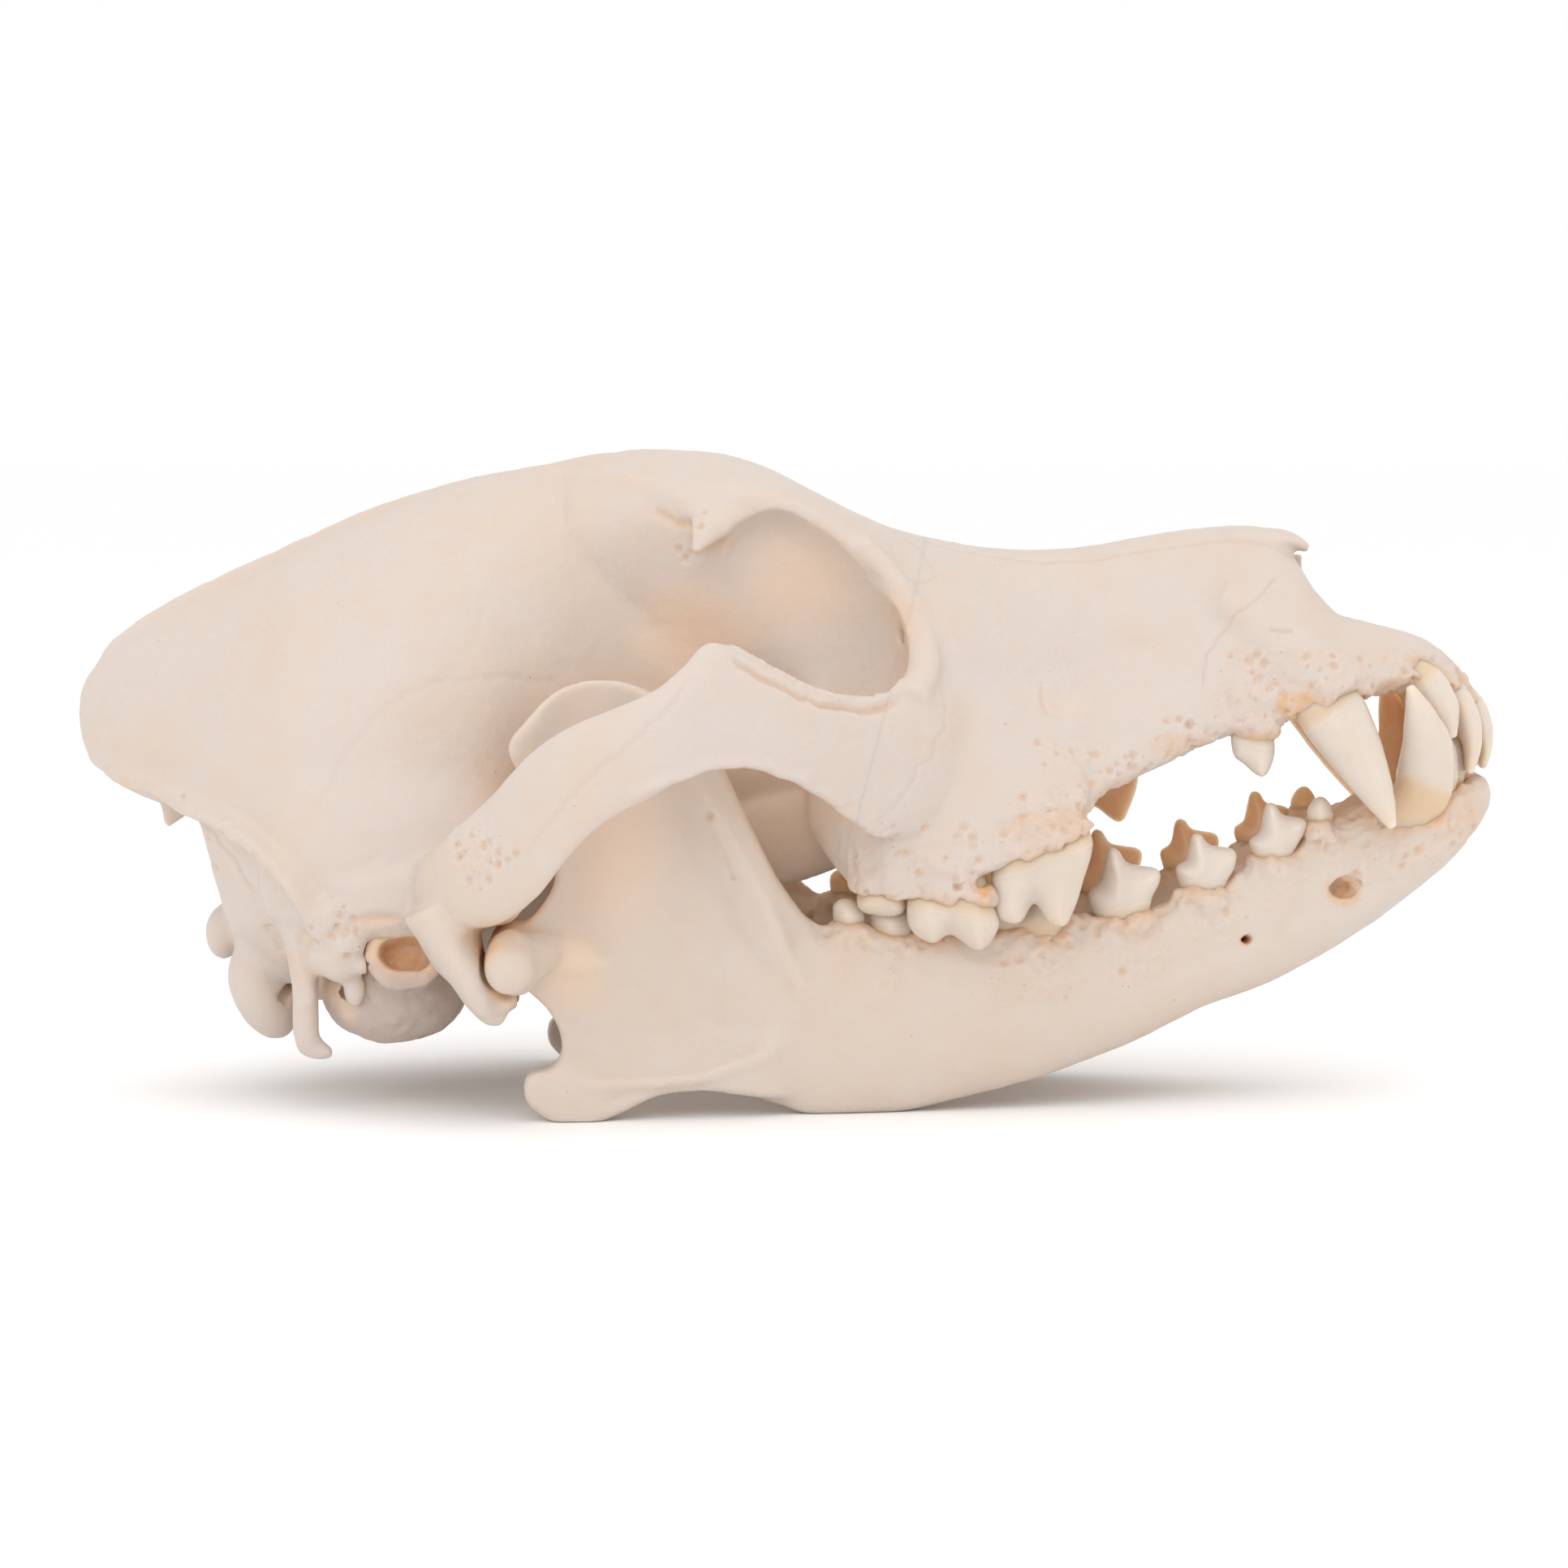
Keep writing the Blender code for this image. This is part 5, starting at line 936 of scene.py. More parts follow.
def resurface(item, voxel, rounds=0):
    """Remesh at a voxel size and smooth the result."""
    grid = item.modifiers.new("grid", "REMESH")
    grid.mode = "VOXEL"
    grid.voxel_size = voxel * MM
    if rounds:
        soften = item.modifiers.new("soften", "SMOOTH")
        soften.factor = 0.5
        soften.iterations = rounds
    settle(item)


def fine_plate(name, curve, half, voxel):
    """A prism about y = 0 as a fine grid, with its points in millimetres."""
    plate = prism(name, curve, -half, half)
    resurface(plate, voxel)
    return plate, read_values(plate.data.vertices, "co", 3) / MM


def bent_plate(plate, points, side):
    """The plate with its points moved, facing outwards on either side."""
    plate.data.vertices.foreach_set("co", (points * MM).astype(np.float32).ravel())
    if side < 0:
        plate.data.flip_normals()
    plate.data.update()
    return plate


def grow_together(name, pieces, voxel, rounds):
    """Join overlapping pieces into one skin and soften where they meet."""
    shape = bmesh.new()
    for piece in pieces:
        shape.from_mesh(piece.data)
    item = finished_shape(name, shape)
    remove(pieces)
    resurface(item, voxel, rounds)
    return item


def combine(item, tools, operation):
    """One Boolean of the object with a collection of tools, which are then removed."""
    group = bpy.data.collections.new("tools")
    bpy.context.scene.collection.children.link(group)
    for tool in tools:
        group.objects.link(tool)
    change = item.modifiers.new("combine", "BOOLEAN")
    change.operation = operation
    change.operand_type = "COLLECTION"
    change.collection = group
    change.solver = "MANIFOLD"
    settle(item)
    remove(tools)
    bpy.data.collections.remove(group)


def rounds_for(distance_squared):
    """Rounds of softening that spread as far at this voxel size as one round does at 1 mm."""
    return max(1, round(distance_squared / BONE_VOXEL ** 2))


def noise(points, size, seed):
    """Smooth noise from -1 to 1 in lumps about `size` wide."""
    spot = points / size + 512.0
    cell = np.floor(spot).astype(np.int64)
    share = spot - cell
    share = share * share * (3 - 2 * share)
    total = np.zeros(len(points))
    for corner in range(8):
        step = np.array([corner & 1, corner >> 1 & 1, corner >> 2 & 1])
        mixed = ((cell + step) * (73856093, 19349663, 83492791)).sum(axis=1) + seed * 6542989
        mixed = (mixed ^ mixed >> 13) * 1274126177 & 0x7FFFFFFF
        mixed ^= mixed >> 15
        weight = np.prod(np.where(step, share, 1 - share), axis=1)
        total += weight * ((mixed & 0xFFFF) / 32767.5 - 1.0)
    return total


def rough(points, size, seed):
    """Three sizes of noise on top of each other."""
    return (noise(points, size, seed) + 0.5 * noise(points, size / 2.1, seed + 1)
            + 0.25 * noise(points, size / 4.3, seed + 2))


def read_values(source, name, width):
    """Values of every point of a mesh as an array."""
    values = np.empty(len(source) * width, np.float32)
    source.foreach_get(name, values)
    return values.reshape(-1, width).astype(float)


def edges_of(mesh):
    """The numbers of the points at the two ends of every edge."""
    edges = np.empty(len(mesh.edges) * 2, np.int32)
    mesh.edges.foreach_get("vertices", edges)
    return edges.reshape(-1, 2)


def averaged(points, edges, rounds, share):
    """Points after rounds in which each goes a share of the way to its neighbours' middle."""
    ends, others = edges.T.ravel(), edges[:, ::-1].T.ravel()
    total = len(points)
    shared = np.maximum(np.bincount(ends, minlength=total), 1)[:, None]
    for _ in range(rounds):
        near = [np.bincount(ends, points[others, axis], minlength=total) for axis in range(3)]
        points = points + share * (np.stack(near, axis=1) / shared - points)
    return points


class Surface:
    """One bone's skin as arrays while it is worked: points, normals and masks.

    A place is given as on the left side, with a side of -1 for the right one.
    """

    # The hollow mask holds painted shade
    MASKS = ("hollow", "stain", "pores", "seam", "polish")

    def __init__(self, item, *sides):
        self.item = item
        self.sides = sides
        self.masks = {name: np.zeros(len(item.data.vertices)) for name in self.MASKS}
        self.read()

    def read(self):
        """Take the points and normals from the mesh."""
        self.points = read_values(self.item.data.vertices, "co", 3) / MM
        self.normals = read_values(self.item.data.vertex_normals, "vector", 3)

    def write(self):
        """Put the moved points back in the mesh, and take its new normals."""
        moved = (self.points * MM).astype(np.float32).ravel()
        self.item.data.vertices.foreach_set("co", moved)
        self.item.data.update()
        self.read()

    def push(self, where, amount):
        """Move points out along their normals, or in where the amount is below 0."""
        self.points[where] += self.normals[where] * amount[:, None]

    def paint(self, mask, where, amount):
        """Raise a mask to at least this amount."""
        self.masks[mask][where] = np.maximum(self.masks[mask][where], np.clip(amount, 0.0, 1.0))

    def within(self, low, high):
        """The points in a box."""
        return np.flatnonzero(np.all((self.points > low) & (self.points < high), axis=1))

    def around(self, side, middle, radii, reach=1.0):
        """The points of a round place and a bit beyond, and how far out each is."""
        middle, radii = mirrored(middle, side), np.array(radii, float)
        where = self.within(middle - reach * radii, middle + reach * radii)
        return where, np.linalg.norm((self.points[where] - middle) / radii, axis=1)

    def laid(self, path, side, jag, seed):
        """A path laid onto the surface. A jag makes it wander as a suture does."""
        path = mirrored(path, side)
        length = np.linalg.norm(np.diff(path, axis=0), axis=1).sum()
        route = resample(path, max(3, int(length / ROUTE_STEP)), 3)
        if jag:
            for axis in range(3):
                route[:, axis] += jag * rough(route, JAG_LENGTH, seed + 7 * axis)
        laid = [self.item.closest_point_on_mesh(Vector(point) * MM)[1] for point in route]
        return np.array([tuple(point) for point in laid]) / MM

    def beside(self, route, reach):
        """The points near a route, how far they are from it and how far along it."""
        where = self.within(route.min(axis=0) - reach, route.max(axis=0) + reach)
        spots = self.points[where]
        gap = np.full(len(where), np.inf)
        share = np.zeros(len(where))
        count = len(route) - 1
        for i in range(count):
            step = route[i + 1] - route[i]
            along = np.clip((spots - route[i]) @ step / max(step @ step, 1e-9), 0.0, 1.0)
            distance = np.linalg.norm(spots - route[i] - along[:, None] * step, axis=1)
            closer = distance < gap
            gap[closer] = distance[closer]
            share[closer] = (i + along[closer]) / count
        close = gap < reach
        return where[close], gap[close], share[close]

    def crease(self, side, seed, path, width, lift, jag, mask="", strength=0.0):
        """A ridge, or a groove where the lift is below 0, that fades at both ends."""
        route = self.laid(path, side, jag, seed)
        where, gap, share = self.beside(route, 2.6 * width)
        shape = (np.exp(-(gap / width) ** 2) * ease(share / CREASE_END)
                 * ease((1.0 - share) / CREASE_END))
        self.push(where, lift * shape)
        if mask:
            self.paint(mask, where, strength * shape)

    def dent(self, side, middle, radii, lift, mask="", strength=0.0):
        """A soft round hollow, or a swelling where the lift is above 0."""
        where, gap = self.around(side, middle, radii)
        shape = np.clip(1.0 - gap ** 2, 0.0, 1.0) ** 2.0
        self.push(where, lift * shape)
        if mask:
            self.paint(mask, where, strength * shape)

    def patch(self, side, seed, mask, middle, radii, strength):
        """Paint a ragged patch of a mask without moving a point."""
        where, gap = self.around(side, middle, radii, 1.3)
        gap += 0.35 * rough(self.points[where], 4.0, seed)
        self.paint(mask, where, strength * ease((1.15 - gap) / 0.6))

    def pits(self, count, seed):
        """Small stained holes strewn where the pore mask is high."""
        chance = self.masks["pores"] ** 1.5
        picker = np.random.default_rng(seed)
        chosen = picker.choice(len(chance), size=count, p=chance / chance.sum())
        for spot, share in zip(chosen, picker.random(count)):
            radius = PIT_RADIUS * (0.6 + 0.8 * share)
            middle = self.points[spot].copy()
            where = self.within(middle - radius, middle + radius)
            gap = np.linalg.norm(self.points[where] - middle, axis=1) / radius
            shape = np.clip(1.0 - gap ** 2, 0.0, 1.0)
            self.push(where, -PIT_DEPTH * (0.5 + share) * shape)
            self.paint("stain", where, PIT_STAIN * shape)

    def soften(self, side, middle, radii, rounds):
        """Round off what is sharp in one round place, less and less towards its border."""
        away = np.linalg.norm((self.points - mirrored(middle, side)) / radii, axis=1)
        share = 0.5 * ease((1.0 - away) / 0.4)
        edges = edges_of(self.item.data)
        used, edges = np.unique(edges[(share[edges] > 0.0).any(axis=1)], return_inverse=True)
        edges = edges.reshape(-1, 2)
        self.points[used] = averaged(self.points[used], edges, rounds, share[used][:, None])


def keep_largest(item):
    """Drop every loose shell but the one with the most points."""
    one, other = edges_of(item.data).T
    labels = np.arange(len(item.data.vertices))
    while True:
        lower = labels.copy()
        np.minimum.at(lower, one, labels[other])
        np.minimum.at(lower, other, labels[one])
        lower = lower[lower]
        if np.array_equal(lower, labels):
            break
        labels = lower
    largest = np.bincount(labels).argmax()
    if np.all(labels == largest):
        return
    shape = bmesh.new()
    shape.from_mesh(item.data)
    loose = [vert for vert in shape.verts if labels[vert.index] != largest]
    bmesh.ops.delete(shape, geom=loose, context="VERTS")
    shape.to_mesh(item.data)
    shape.free()


def jaw_joint_rod(name, side, grow):
    """The spindle of one jaw condyle, or the room that it needs."""
    x, y, z = JAW_JOINT
    reach = JAW_JOINT_HALF_WIDTH + grow
    rows = [
        (x - 0.8, y - reach - 0.9, z - 1.0, 0.5, 0.5),
        (x - 0.6, y - reach, z - 0.8, 2.4, 2.6),
        (x - 0.3, y - 0.6 * reach, z - 0.3, 3.8, 4.0),
        (x, y, z - 0.6, JAW_JOINT_RADIUS, JAW_JOINT_RADIUS),
        (x, y + 0.6 * reach, z - 2.2, 4.5, 4.6),
        (x - 0.2, y + reach - 1.0, z - 3.0, 4.0, 4.2),
        (x - 0.2, y + reach + 0.5, z - 3.1, 2.6, 2.8),
        (x - 0.2, y + reach + 1.0, z - 3.2, 0.6, 0.6),
    ]
    return rod(name, rows, side, grow=grow)


def jaw_joint_knob(name, side, grow):
    """The blunt outer end of one jaw condyle, or the room that it needs."""
    return ball(name, JAW_KNOB_MIDDLE, JAW_KNOB_RADII, side, grow, turn_y=JAW_KNOB_LEAN)


def ear_capsule(name, side, grow):
    """The round capsule under the ear and its short tube, without the hole."""
    x, y, z = BULLA_MIDDLE
    capsule = ball(name, BULLA_MIDDLE, BULLA_RADII, side, grow, turn_z=-BULLA_TURN * side)
    rows = [
        (x + 1.0, y, z + 2.0, 4.5, 4.5),
        (x + 2.0, y + 8.0, z + 5.0, 6.4, 5.4),
        (*EAR_HOLE, 6.8, 5.8),
    ]
    combine(capsule, [rod("ear_tube", rows, side, grow=grow)], "UNION")
    return capsule


def channels(table, side, count=16, sides=16):
    """The tools of one side for a table of channels."""
    return [rod(name, path, side, count, sides) for name, path in table.items()]


def cranium_hollows():
    """Tools for the nose, the throat, the neck opening, the orbits and the bones that fit in."""
    inward = Vector((math.cos(FORAMEN_SLOPE), 0.0, math.sin(FORAMEN_SLOPE)))
    neck = [(*(Vector(FORAMEN_MIDDLE) + inward * depth), tall, wide)
            for depth, tall, wide in FORAMEN]
    tools = [
        rod("nose_hollow", NOSE_HOLLOW),
        rod("neck_hollow", neck),
        ball("throat_hollow", *THROAT),
    ]
    for side in SIDES.values():
        tools += [
            ball("orbit", ORBIT_MIDDLE, ORBIT_RADII, side, turn_y=ORBIT_LEAN),
            ball("orbit_roof", *ORBIT_ROOF, side),
            jaw_joint_rod("joint_room", side, JOINT_ROOM),
            jaw_joint_knob("knob_room", side, JOINT_ROOM),
            rod("neck_room", JAW_NECK_ROOM, side),
            ear_capsule("ear_room", side, EAR_ROOM),
            *channels(SMALL_CHANNELS, side),
        ]
    return tools


def standing(table, jaw, side_name):
    """The teeth of a table that are left on one side of a jaw."""
    missing = MISSING_TEETH.get((jaw, side_name), ())
    return {name: shape for name, shape in table[jaw].items()
            if name.replace("_inner", "") not in missing}


def socket_collars(jaw, side_name):
    """Swellings of the gum bone that reach up round the neck of each bladed tooth."""
    down = COLLAR_DROP if jaw == "upper" else -COLLAR_DROP
    collars = []
    for middle, half, outline in standing(BLADES, jaw, side_name).values():
        rear, front = np.array(outline[1]), np.array(outline[-2])
        x, z = 0.5 * (rear + front)
        length = 0.5 * abs(front[0] - rear[0])
        tilt = math.atan2(rear[1] - front[1], front[0] - rear[0])
        radii = (length + COLLAR_WIDTH, half + COLLAR_WIDTH, COLLAR_HEIGHT)
        collars.append(ball("collar", (x, middle, z + down), radii, SIDES[side_name], turn_y=tilt))
    return collars


def whole_cranium():
    """The upper skull in one piece, without teeth and ear capsules."""
    pieces = [
        hull("braincase_hull", BRAINCASE),
        hull("forehead_hull", FOREHEAD),
        muzzle_hull("muzzle_hull", MUZZLE),
        rib("top_crest", TOP_CREST, 1.0),
        ball("rear_end", REAR_END_MIDDLE, REAR_END_RADII),
    ]
    for side in SIDES.values():
        pieces += [
            rib("cheek_arch", CHEEK_ARCH, side),
            rib("pterygoid", PTERYGOID, side),
            rod("nuchal_crest", NUCHAL_CREST, side),
            rod("eye_socket_rim", EYE_SOCKET_RIM, side),
            rod("brow_process", BROW_PROCESS, side),
            rod("neck_process", NECK_PROCESS, side),
            rod("canine_swelling", CANINE_SWELLING, side),
            rod("nose_tip", NOSE_TIP, side),
            ball("neck_tubercle", *NECK_TUBERCLE, side),
            rod("neck_condyle_root", NECK_CONDYLE_ROOT, side),
            ball("neck_condyle", NECK_CONDYLE_MIDDLE, NECK_CONDYLE_RADII, side,
                 turn_y=NECK_CONDYLE_LEAN),
            rod("joint_roof", JOINT_ROOF, side),
            rod("behind_jaw_joint", BEHIND_JAW_JOINT, side),
            ball("mastoid", *MASTOID, side),
            rib("ear_roof", EAR_ROOF, side),
            rib("temporal_wall", TEMPORAL_WALL, side, power=2.0),
            rod("joint_buttress", JOINT_BUTTRESS, side),
            rod("pterygoid_hook", PTERYGOID_HOOK, side),
            rod("occipital_spike", OCCIPITAL_SPIKE, side),
        ]
        pieces += [ball("ear_lump", *lump, side) for lump in EAR_LUMPS]
    for side_name in SIDES:
        pieces += socket_collars("upper", side_name)
    cranium = grow_together("cranium", pieces, BONE_VOXEL, rounds_for(5))
    combine(cranium, cranium_hollows(), "DIFFERENCE")
    resurface(cranium, BONE_VOXEL, rounds_for(1.2))
    keep_largest(cranium)
    return cranium


def ramus_plate(side):
    """The jaw's upright branch, hollowed on its outer face."""
    curve = closed_curve(RAMUS_OUTLINE)
    plate, points = fine_plate("ramus", curve, RAMUS_ROUGH_HALF, RAMUS_VOXEL)
    x, y, z = points.T
    share = y / RAMUS_ROUGH_HALF
    front = np.interp(z, *zip(*CHEW_HOLLOW_FRONT))
    base = np.interp(x, *zip(*CHEW_HOLLOW_BASE))
    hollow = ease((front - x) / 9.0) * ease((z - base) / 8.0) * ease((x + 43.0) / 10.0)
    blend = ease((9.0 - x) / 12.0)
    thinner_top = 0.8 * ease((z - 50.0) / 20.0)
    outer = blend * (RAMUS_OUTER_HALF - CHEW_HOLLOW_DEPTH * hollow - thinner_top)
    inner = 0.4 + blend * (RAMUS_INNER_HALF - 0.4)
    middle = np.interp(x, *zip(*RAMUS_MIDDLE)) + 2.5 * ease((z - 45.0) / 25.0)
    points[:, 1] = side * (middle + np.where(share > 0, share * (outer + 0.3), share * inner))
    return bent_plate(plate, points, side)


def jaw_half(side_name):
    """One half of the lower jaw, without its teeth."""
    side = SIDES[side_name]
    pieces = [
        rib("jaw_body", JAW_BODY, side, power=2.6),
        ramus_plate(side),
        jaw_joint_rod("jaw_condyle", side, 0.0),
        jaw_joint_knob("jaw_knob", side, 0.0),
        rod("condyle_neck", CONDYLE_NECK, side),
        rod("condyle_shoulder", CONDYLE_SHOULDER, side),
        *socket_collars("lower", side_name),
    ]
    jaw = grow_together("jaw_" + side_name, pieces, BONE_VOXEL, rounds_for(2.2))
    low, high = sorted((-80.0 * side, 0.5 * GAP * side))
    around = [(-60.0, -30.0), (140.0, -30.0), (140.0, 100.0), (-60.0, 100.0)]
    tools = [prism("other_half", around, low, high), *channels(JAW_CHANNELS, side)]
    combine(jaw, tools, "DIFFERENCE")
    resurface(jaw, BONE_VOXEL, rounds_for(0.5))
    keep_largest(jaw)
    return jaw


def ear_bone(side_name):
    """One ear capsule with the ear hole sunk in its tube."""
    side = SIDES[side_name]
    capsule = ear_capsule("ear_" + side_name, side, 0.0)
    x, y, z = EAR_HOLE
    tall, wide = EAR_HOLE_RADII
    rows = [
        (x, y - 4.4, z - 1.0, 3.4, 2.3),
        (x, y - 2.0, z - 0.4, tall, wide),
        (x, y + 5.0, z + 1.0, tall + 0.5, wide + 0.4),
    ]
    tools = [rod("ear_hole", rows, side), *channels(EAR_CHANNELS, side, 12, 14)]
    combine(capsule, tools, "DIFFERENCE")
    resurface(capsule, 0.8 * BONE_VOXEL, rounds_for(0.4))
    keep_largest(capsule)
    return capsule


def cut_line(z):
    """x of the slanted cut between braincase and muzzle at a height."""
    (low_x, low_z), (high_x, high_z) = MUZZLE_CUT_LOW, MUZZLE_CUT_HIGH
    return low_x + (high_x - low_x) * (z - low_z) / (high_z - low_z)


def bone_of_each_face(middles):
    """0 for the braincase, 1 for the muzzle, 2 and 3 for the right and left cheek arch."""
    x, y, z = middles.T
    out = np.abs(y)
    low, high = ARCH_HEIGHTS
    front = (x > ARCH_FRONT_X) & (out > ARCH_FRONT_Y) & (z < ARCH_FRONT_TOP)
    arch = ((out > ARCH_ROOT_Y) | front) & (x > ARCH_REAR_X) & (z > low) & (z < high)
    owner = np.where(arch, np.where(y < 0, 2, 3), 0)
    owner[x > cut_line(z)] = 1
    return owner


def bone_object(name, surface, faces):
    """A finished bone from some of the worked skin's faces, shaded by the whole skin's normals."""
    used, corners = np.unique(faces, return_inverse=True)
    corners = corners.reshape(faces.shape)
    mesh = bpy.data.meshes.new(name)
    mesh.vertices.add(len(used))
    mesh.vertices.foreach_set("co", (surface.points[used] * MM).astype(np.float32).ravel())
    mesh.loops.add(corners.size)
    mesh.loops.foreach_set("vertex_index", corners.astype(np.int32).ravel())
    mesh.polygons.add(len(corners))
    starts = np.arange(0, corners.size, faces.shape[1], dtype=np.int32)
    mesh.polygons.foreach_set("loop_start", starts)
    mesh.update(calc_edges=True)
    mesh.shade_smooth()
    mesh.normals_split_custom_set_from_vertices(surface.normals[used])
    for mask, values in surface.masks.items():
        layer = mesh.attributes.new(mask, "FLOAT", "POINT")
        layer.data.foreach_set("value", values[used].astype(np.float32))
    return new_object(name, mesh)


def faces_of(surface):
    """The corner numbers of every four-sided face."""
    corners = np.empty(len(surface.item.data.loops), np.int32)
    surface.item.data.loops.foreach_get("vertex_index", corners)
    return corners.reshape(-1, 4)


def inside_the_box(surface):
    """Keep every point inside the solids' box, which the floor closes below."""
    low, high = (np.array(corner) / MM for corner in BOX)
    surface.points = np.clip(surface.points, low + BOX_MARGIN, high - BOX_MARGIN)
    surface.write()


def dressed(item, material, slot, *nodes):
    """Give a piece its material, hang it under the root, and hide the solids that it stands for."""
    item.data.materials.append(material)
    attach(item, "root")
    if nodes:
        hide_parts(*nodes)
    return item


def finished_bone(name, surface, material, slot, *nodes):
    """Make one piece of a whole worked skin, and take the rough one away."""
    inside_the_box(surface)
    item = dressed(bone_object(name, surface, faces_of(surface)), material, slot, *nodes)
    remove([surface.item])
    return item


def canine_step(jaw, tooth, side):
    """How far a tooth stands before its fellow on the right side."""
    return LEFT_CANINE_AHEAD if (jaw, tooth, side) == ("upper", "canine", 1.0) else 0.0


def tooth_parts(jaw, side_name):
    """The closed parts of each tooth of one side of a jaw, by its name."""
    side = SIDES[side_name]
    teeth = {}
    for name, cusps in standing(RODS, jaw, side_name).items():
        ahead = canine_step(jaw, name, side)
        for cusp in cusps:
            moved = [(x + ahead, *rest) for x, *rest in cusp]
            teeth.setdefault(name.replace("_inner", ""), []).append(rod(name, moved, side, count=36))
    for name, (middle, half, outline) in standing(BLADES, jaw, side_name).items():
        teeth.setdefault(name, []).append(blade(name, middle, half, outline, side))
    return teeth


def blade(name, middle, half, outline, side):
    """A crown that swells up from its outline like a cushion, with a thinner root."""
    curve = closed_curve(outline)
    plate, points = fine_plate(name, curve, 1.0, 0.8 * TOOTH_VOXEL)
    spots = points[:, [0, 2]]
    depth = np.full(len(spots), np.inf)
    for start, end in zip(curve, np.roll(curve, -1, axis=0)):
        reach = end - start
        at = np.clip((spots - start) @ reach / (reach @ reach), 0.0, 1.0)
        depth = np.minimum(depth, np.linalg.norm(spots - start - at[:, None] * reach, axis=1))
    rear_root, rear, *_, front, front_root = np.array(outline)
    neck = 0.5 * (rear + front)
    down = 0.5 * (rear_root + front_root) - neck
    sunk = (spots - neck) @ down / (down @ down)
    edge = np.clip(depth / (1.2 * half + 0.5), 0.0, 1.0)
    cushion = (1.0 - (1.0 - edge) ** 2) ** 0.55
    thick = half * cushion * (1.08 - 0.45 * ease(sunk / 0.6)) * (1.0 - 0.12 * ease(-sunk))
    points[:, 1] = side * (middle + np.clip(points[:, 1], -1.0, 1.0) * thick)
    return bent_plate(plate, points, side)


def work_crown(surface, outline, upper):
    """Grooves up from each notch and keels down from each cusp."""
    way = -1.0 if upper else 1.0
    heights = [way * z for _, z in outline]
    base = 0.5 * (heights[1] + heights[-2])
    spots = surface.points
    for i in range(2, len(outline) - 2):
        notch = heights[i] < min(heights[i - 1], heights[i + 1])
        tip = heights[i] > max(heights[i - 1], heights[i + 1])
        if not (notch or tip):
            continue
        tall = max(heights[i] - base, 2.0)
        along = np.clip((way * spots[:, 2] - base + 0.35 * tall) / (1.35 * tall), 0.0, 1.0)
        gap = np.abs(spots[:, 0] - outline[i][0]) / (1.5 if notch else 1.3)
        shape = np.exp(-gap ** 2) * ease(along / 0.45)
        if notch:
            lift = -0.5 * shape * ease(along / 0.9)
        else:
            lift = 0.15 * shape * (1.0 - 0.6 * along)
        surface.push(EVERYWHERE, lift * np.abs(surface.normals[:, 1]))
    surface.write()


def enamel_line(jaw, tooth, side):
    """A place on the line between crown and root, and the way from root to tip, as (x, z)."""
    if tooth in BLADES[jaw]:
        outline = np.array(BLADES[jaw][tooth][2])
        rear, front = outline[1], outline[-2]
        way = np.array([-(front - rear)[1], (front - rear)[0]])
        if (way[1] > 0) == (jaw == "upper"):
            way = -way
        spot = 0.5 * (rear + front)
    else:
        path = np.array(RODS[jaw][tooth][0])[:, [0, 2]]
        at = 2 if tooth == "canine" else 1
        spot = path[at] + (canine_step(jaw, tooth, side), 0.0)
        way = path[at + 1] - path[at - 1]
    return spot, way / np.linalg.norm(way)


def finished_tooth(name, jaw, tooth, parts, side, material):
    """Grow one tooth together, work its crown and give it its enamel."""
    whole = grow_together(name + "_whole", parts, TOOTH_VOXEL, TOOTH_ROUNDS)
    keep_largest(whole)
    surface = Surface(whole, side)
    if tooth in BLADES[jaw]:
        work_crown(surface, BLADES[jaw][tooth][2], jaw == "upper")
    spot, way = enamel_line(jaw, tooth, side)
    below = (spot - surface.points[:, [0, 2]]) @ way + 0.35 * noise(surface.points, 1.6, 5)
    # Yellower neck, whose tint also stands in for warm light bounced into the shaded crease at the
    # gum
    surface.paint("stain", EVERYWHERE, ease((below + 1.8) / 3.0))
    # Painted shade: the faces that look into the mouth get a warm tan
    surface.paint("hollow", EVERYWHERE, ease(0.35 - side * surface.normals[:, 1]))
    waves = 0.14 + 0.05 * noise(surface.points, 1.5, 11)
    surface.push(EVERYWHERE, waves - 0.12 * ease((below + 0.4) / 1.6))
    if (jaw, tooth) == ("upper", "premolar_4"):
        surface.dent(side, *CARNASSIAL_CHIP)
    return finished_bone(name, surface, material, JAW_SLOTS[jaw])


def sees_sky(points, normals, solids, seed):
    """The share of rays from each point that leave past the solids."""
    picker = np.random.default_rng(seed)
    result = []
    for point, normal in zip(points, normals):
        start = Vector((point + SKY_START * normal) * MM)
        up = Vector(normal).normalized()
        across = up.orthogonal().normalized()
        other = up.cross(across)
        free = 0
        for turn, lean in zip(picker.random(SKY_RAYS) * 2 * math.pi, picker.random(SKY_RAYS)):
            flat = math.sqrt(lean)
            ray = (across * (math.cos(turn) * flat) + other * (math.sin(turn) * flat)
                   + up * math.sqrt(1.0 - lean))
            free += solids.ray_cast(start, ray, SKY_REACH)[0] is None
        result.append(free / SKY_RAYS)
    return np.array(result)


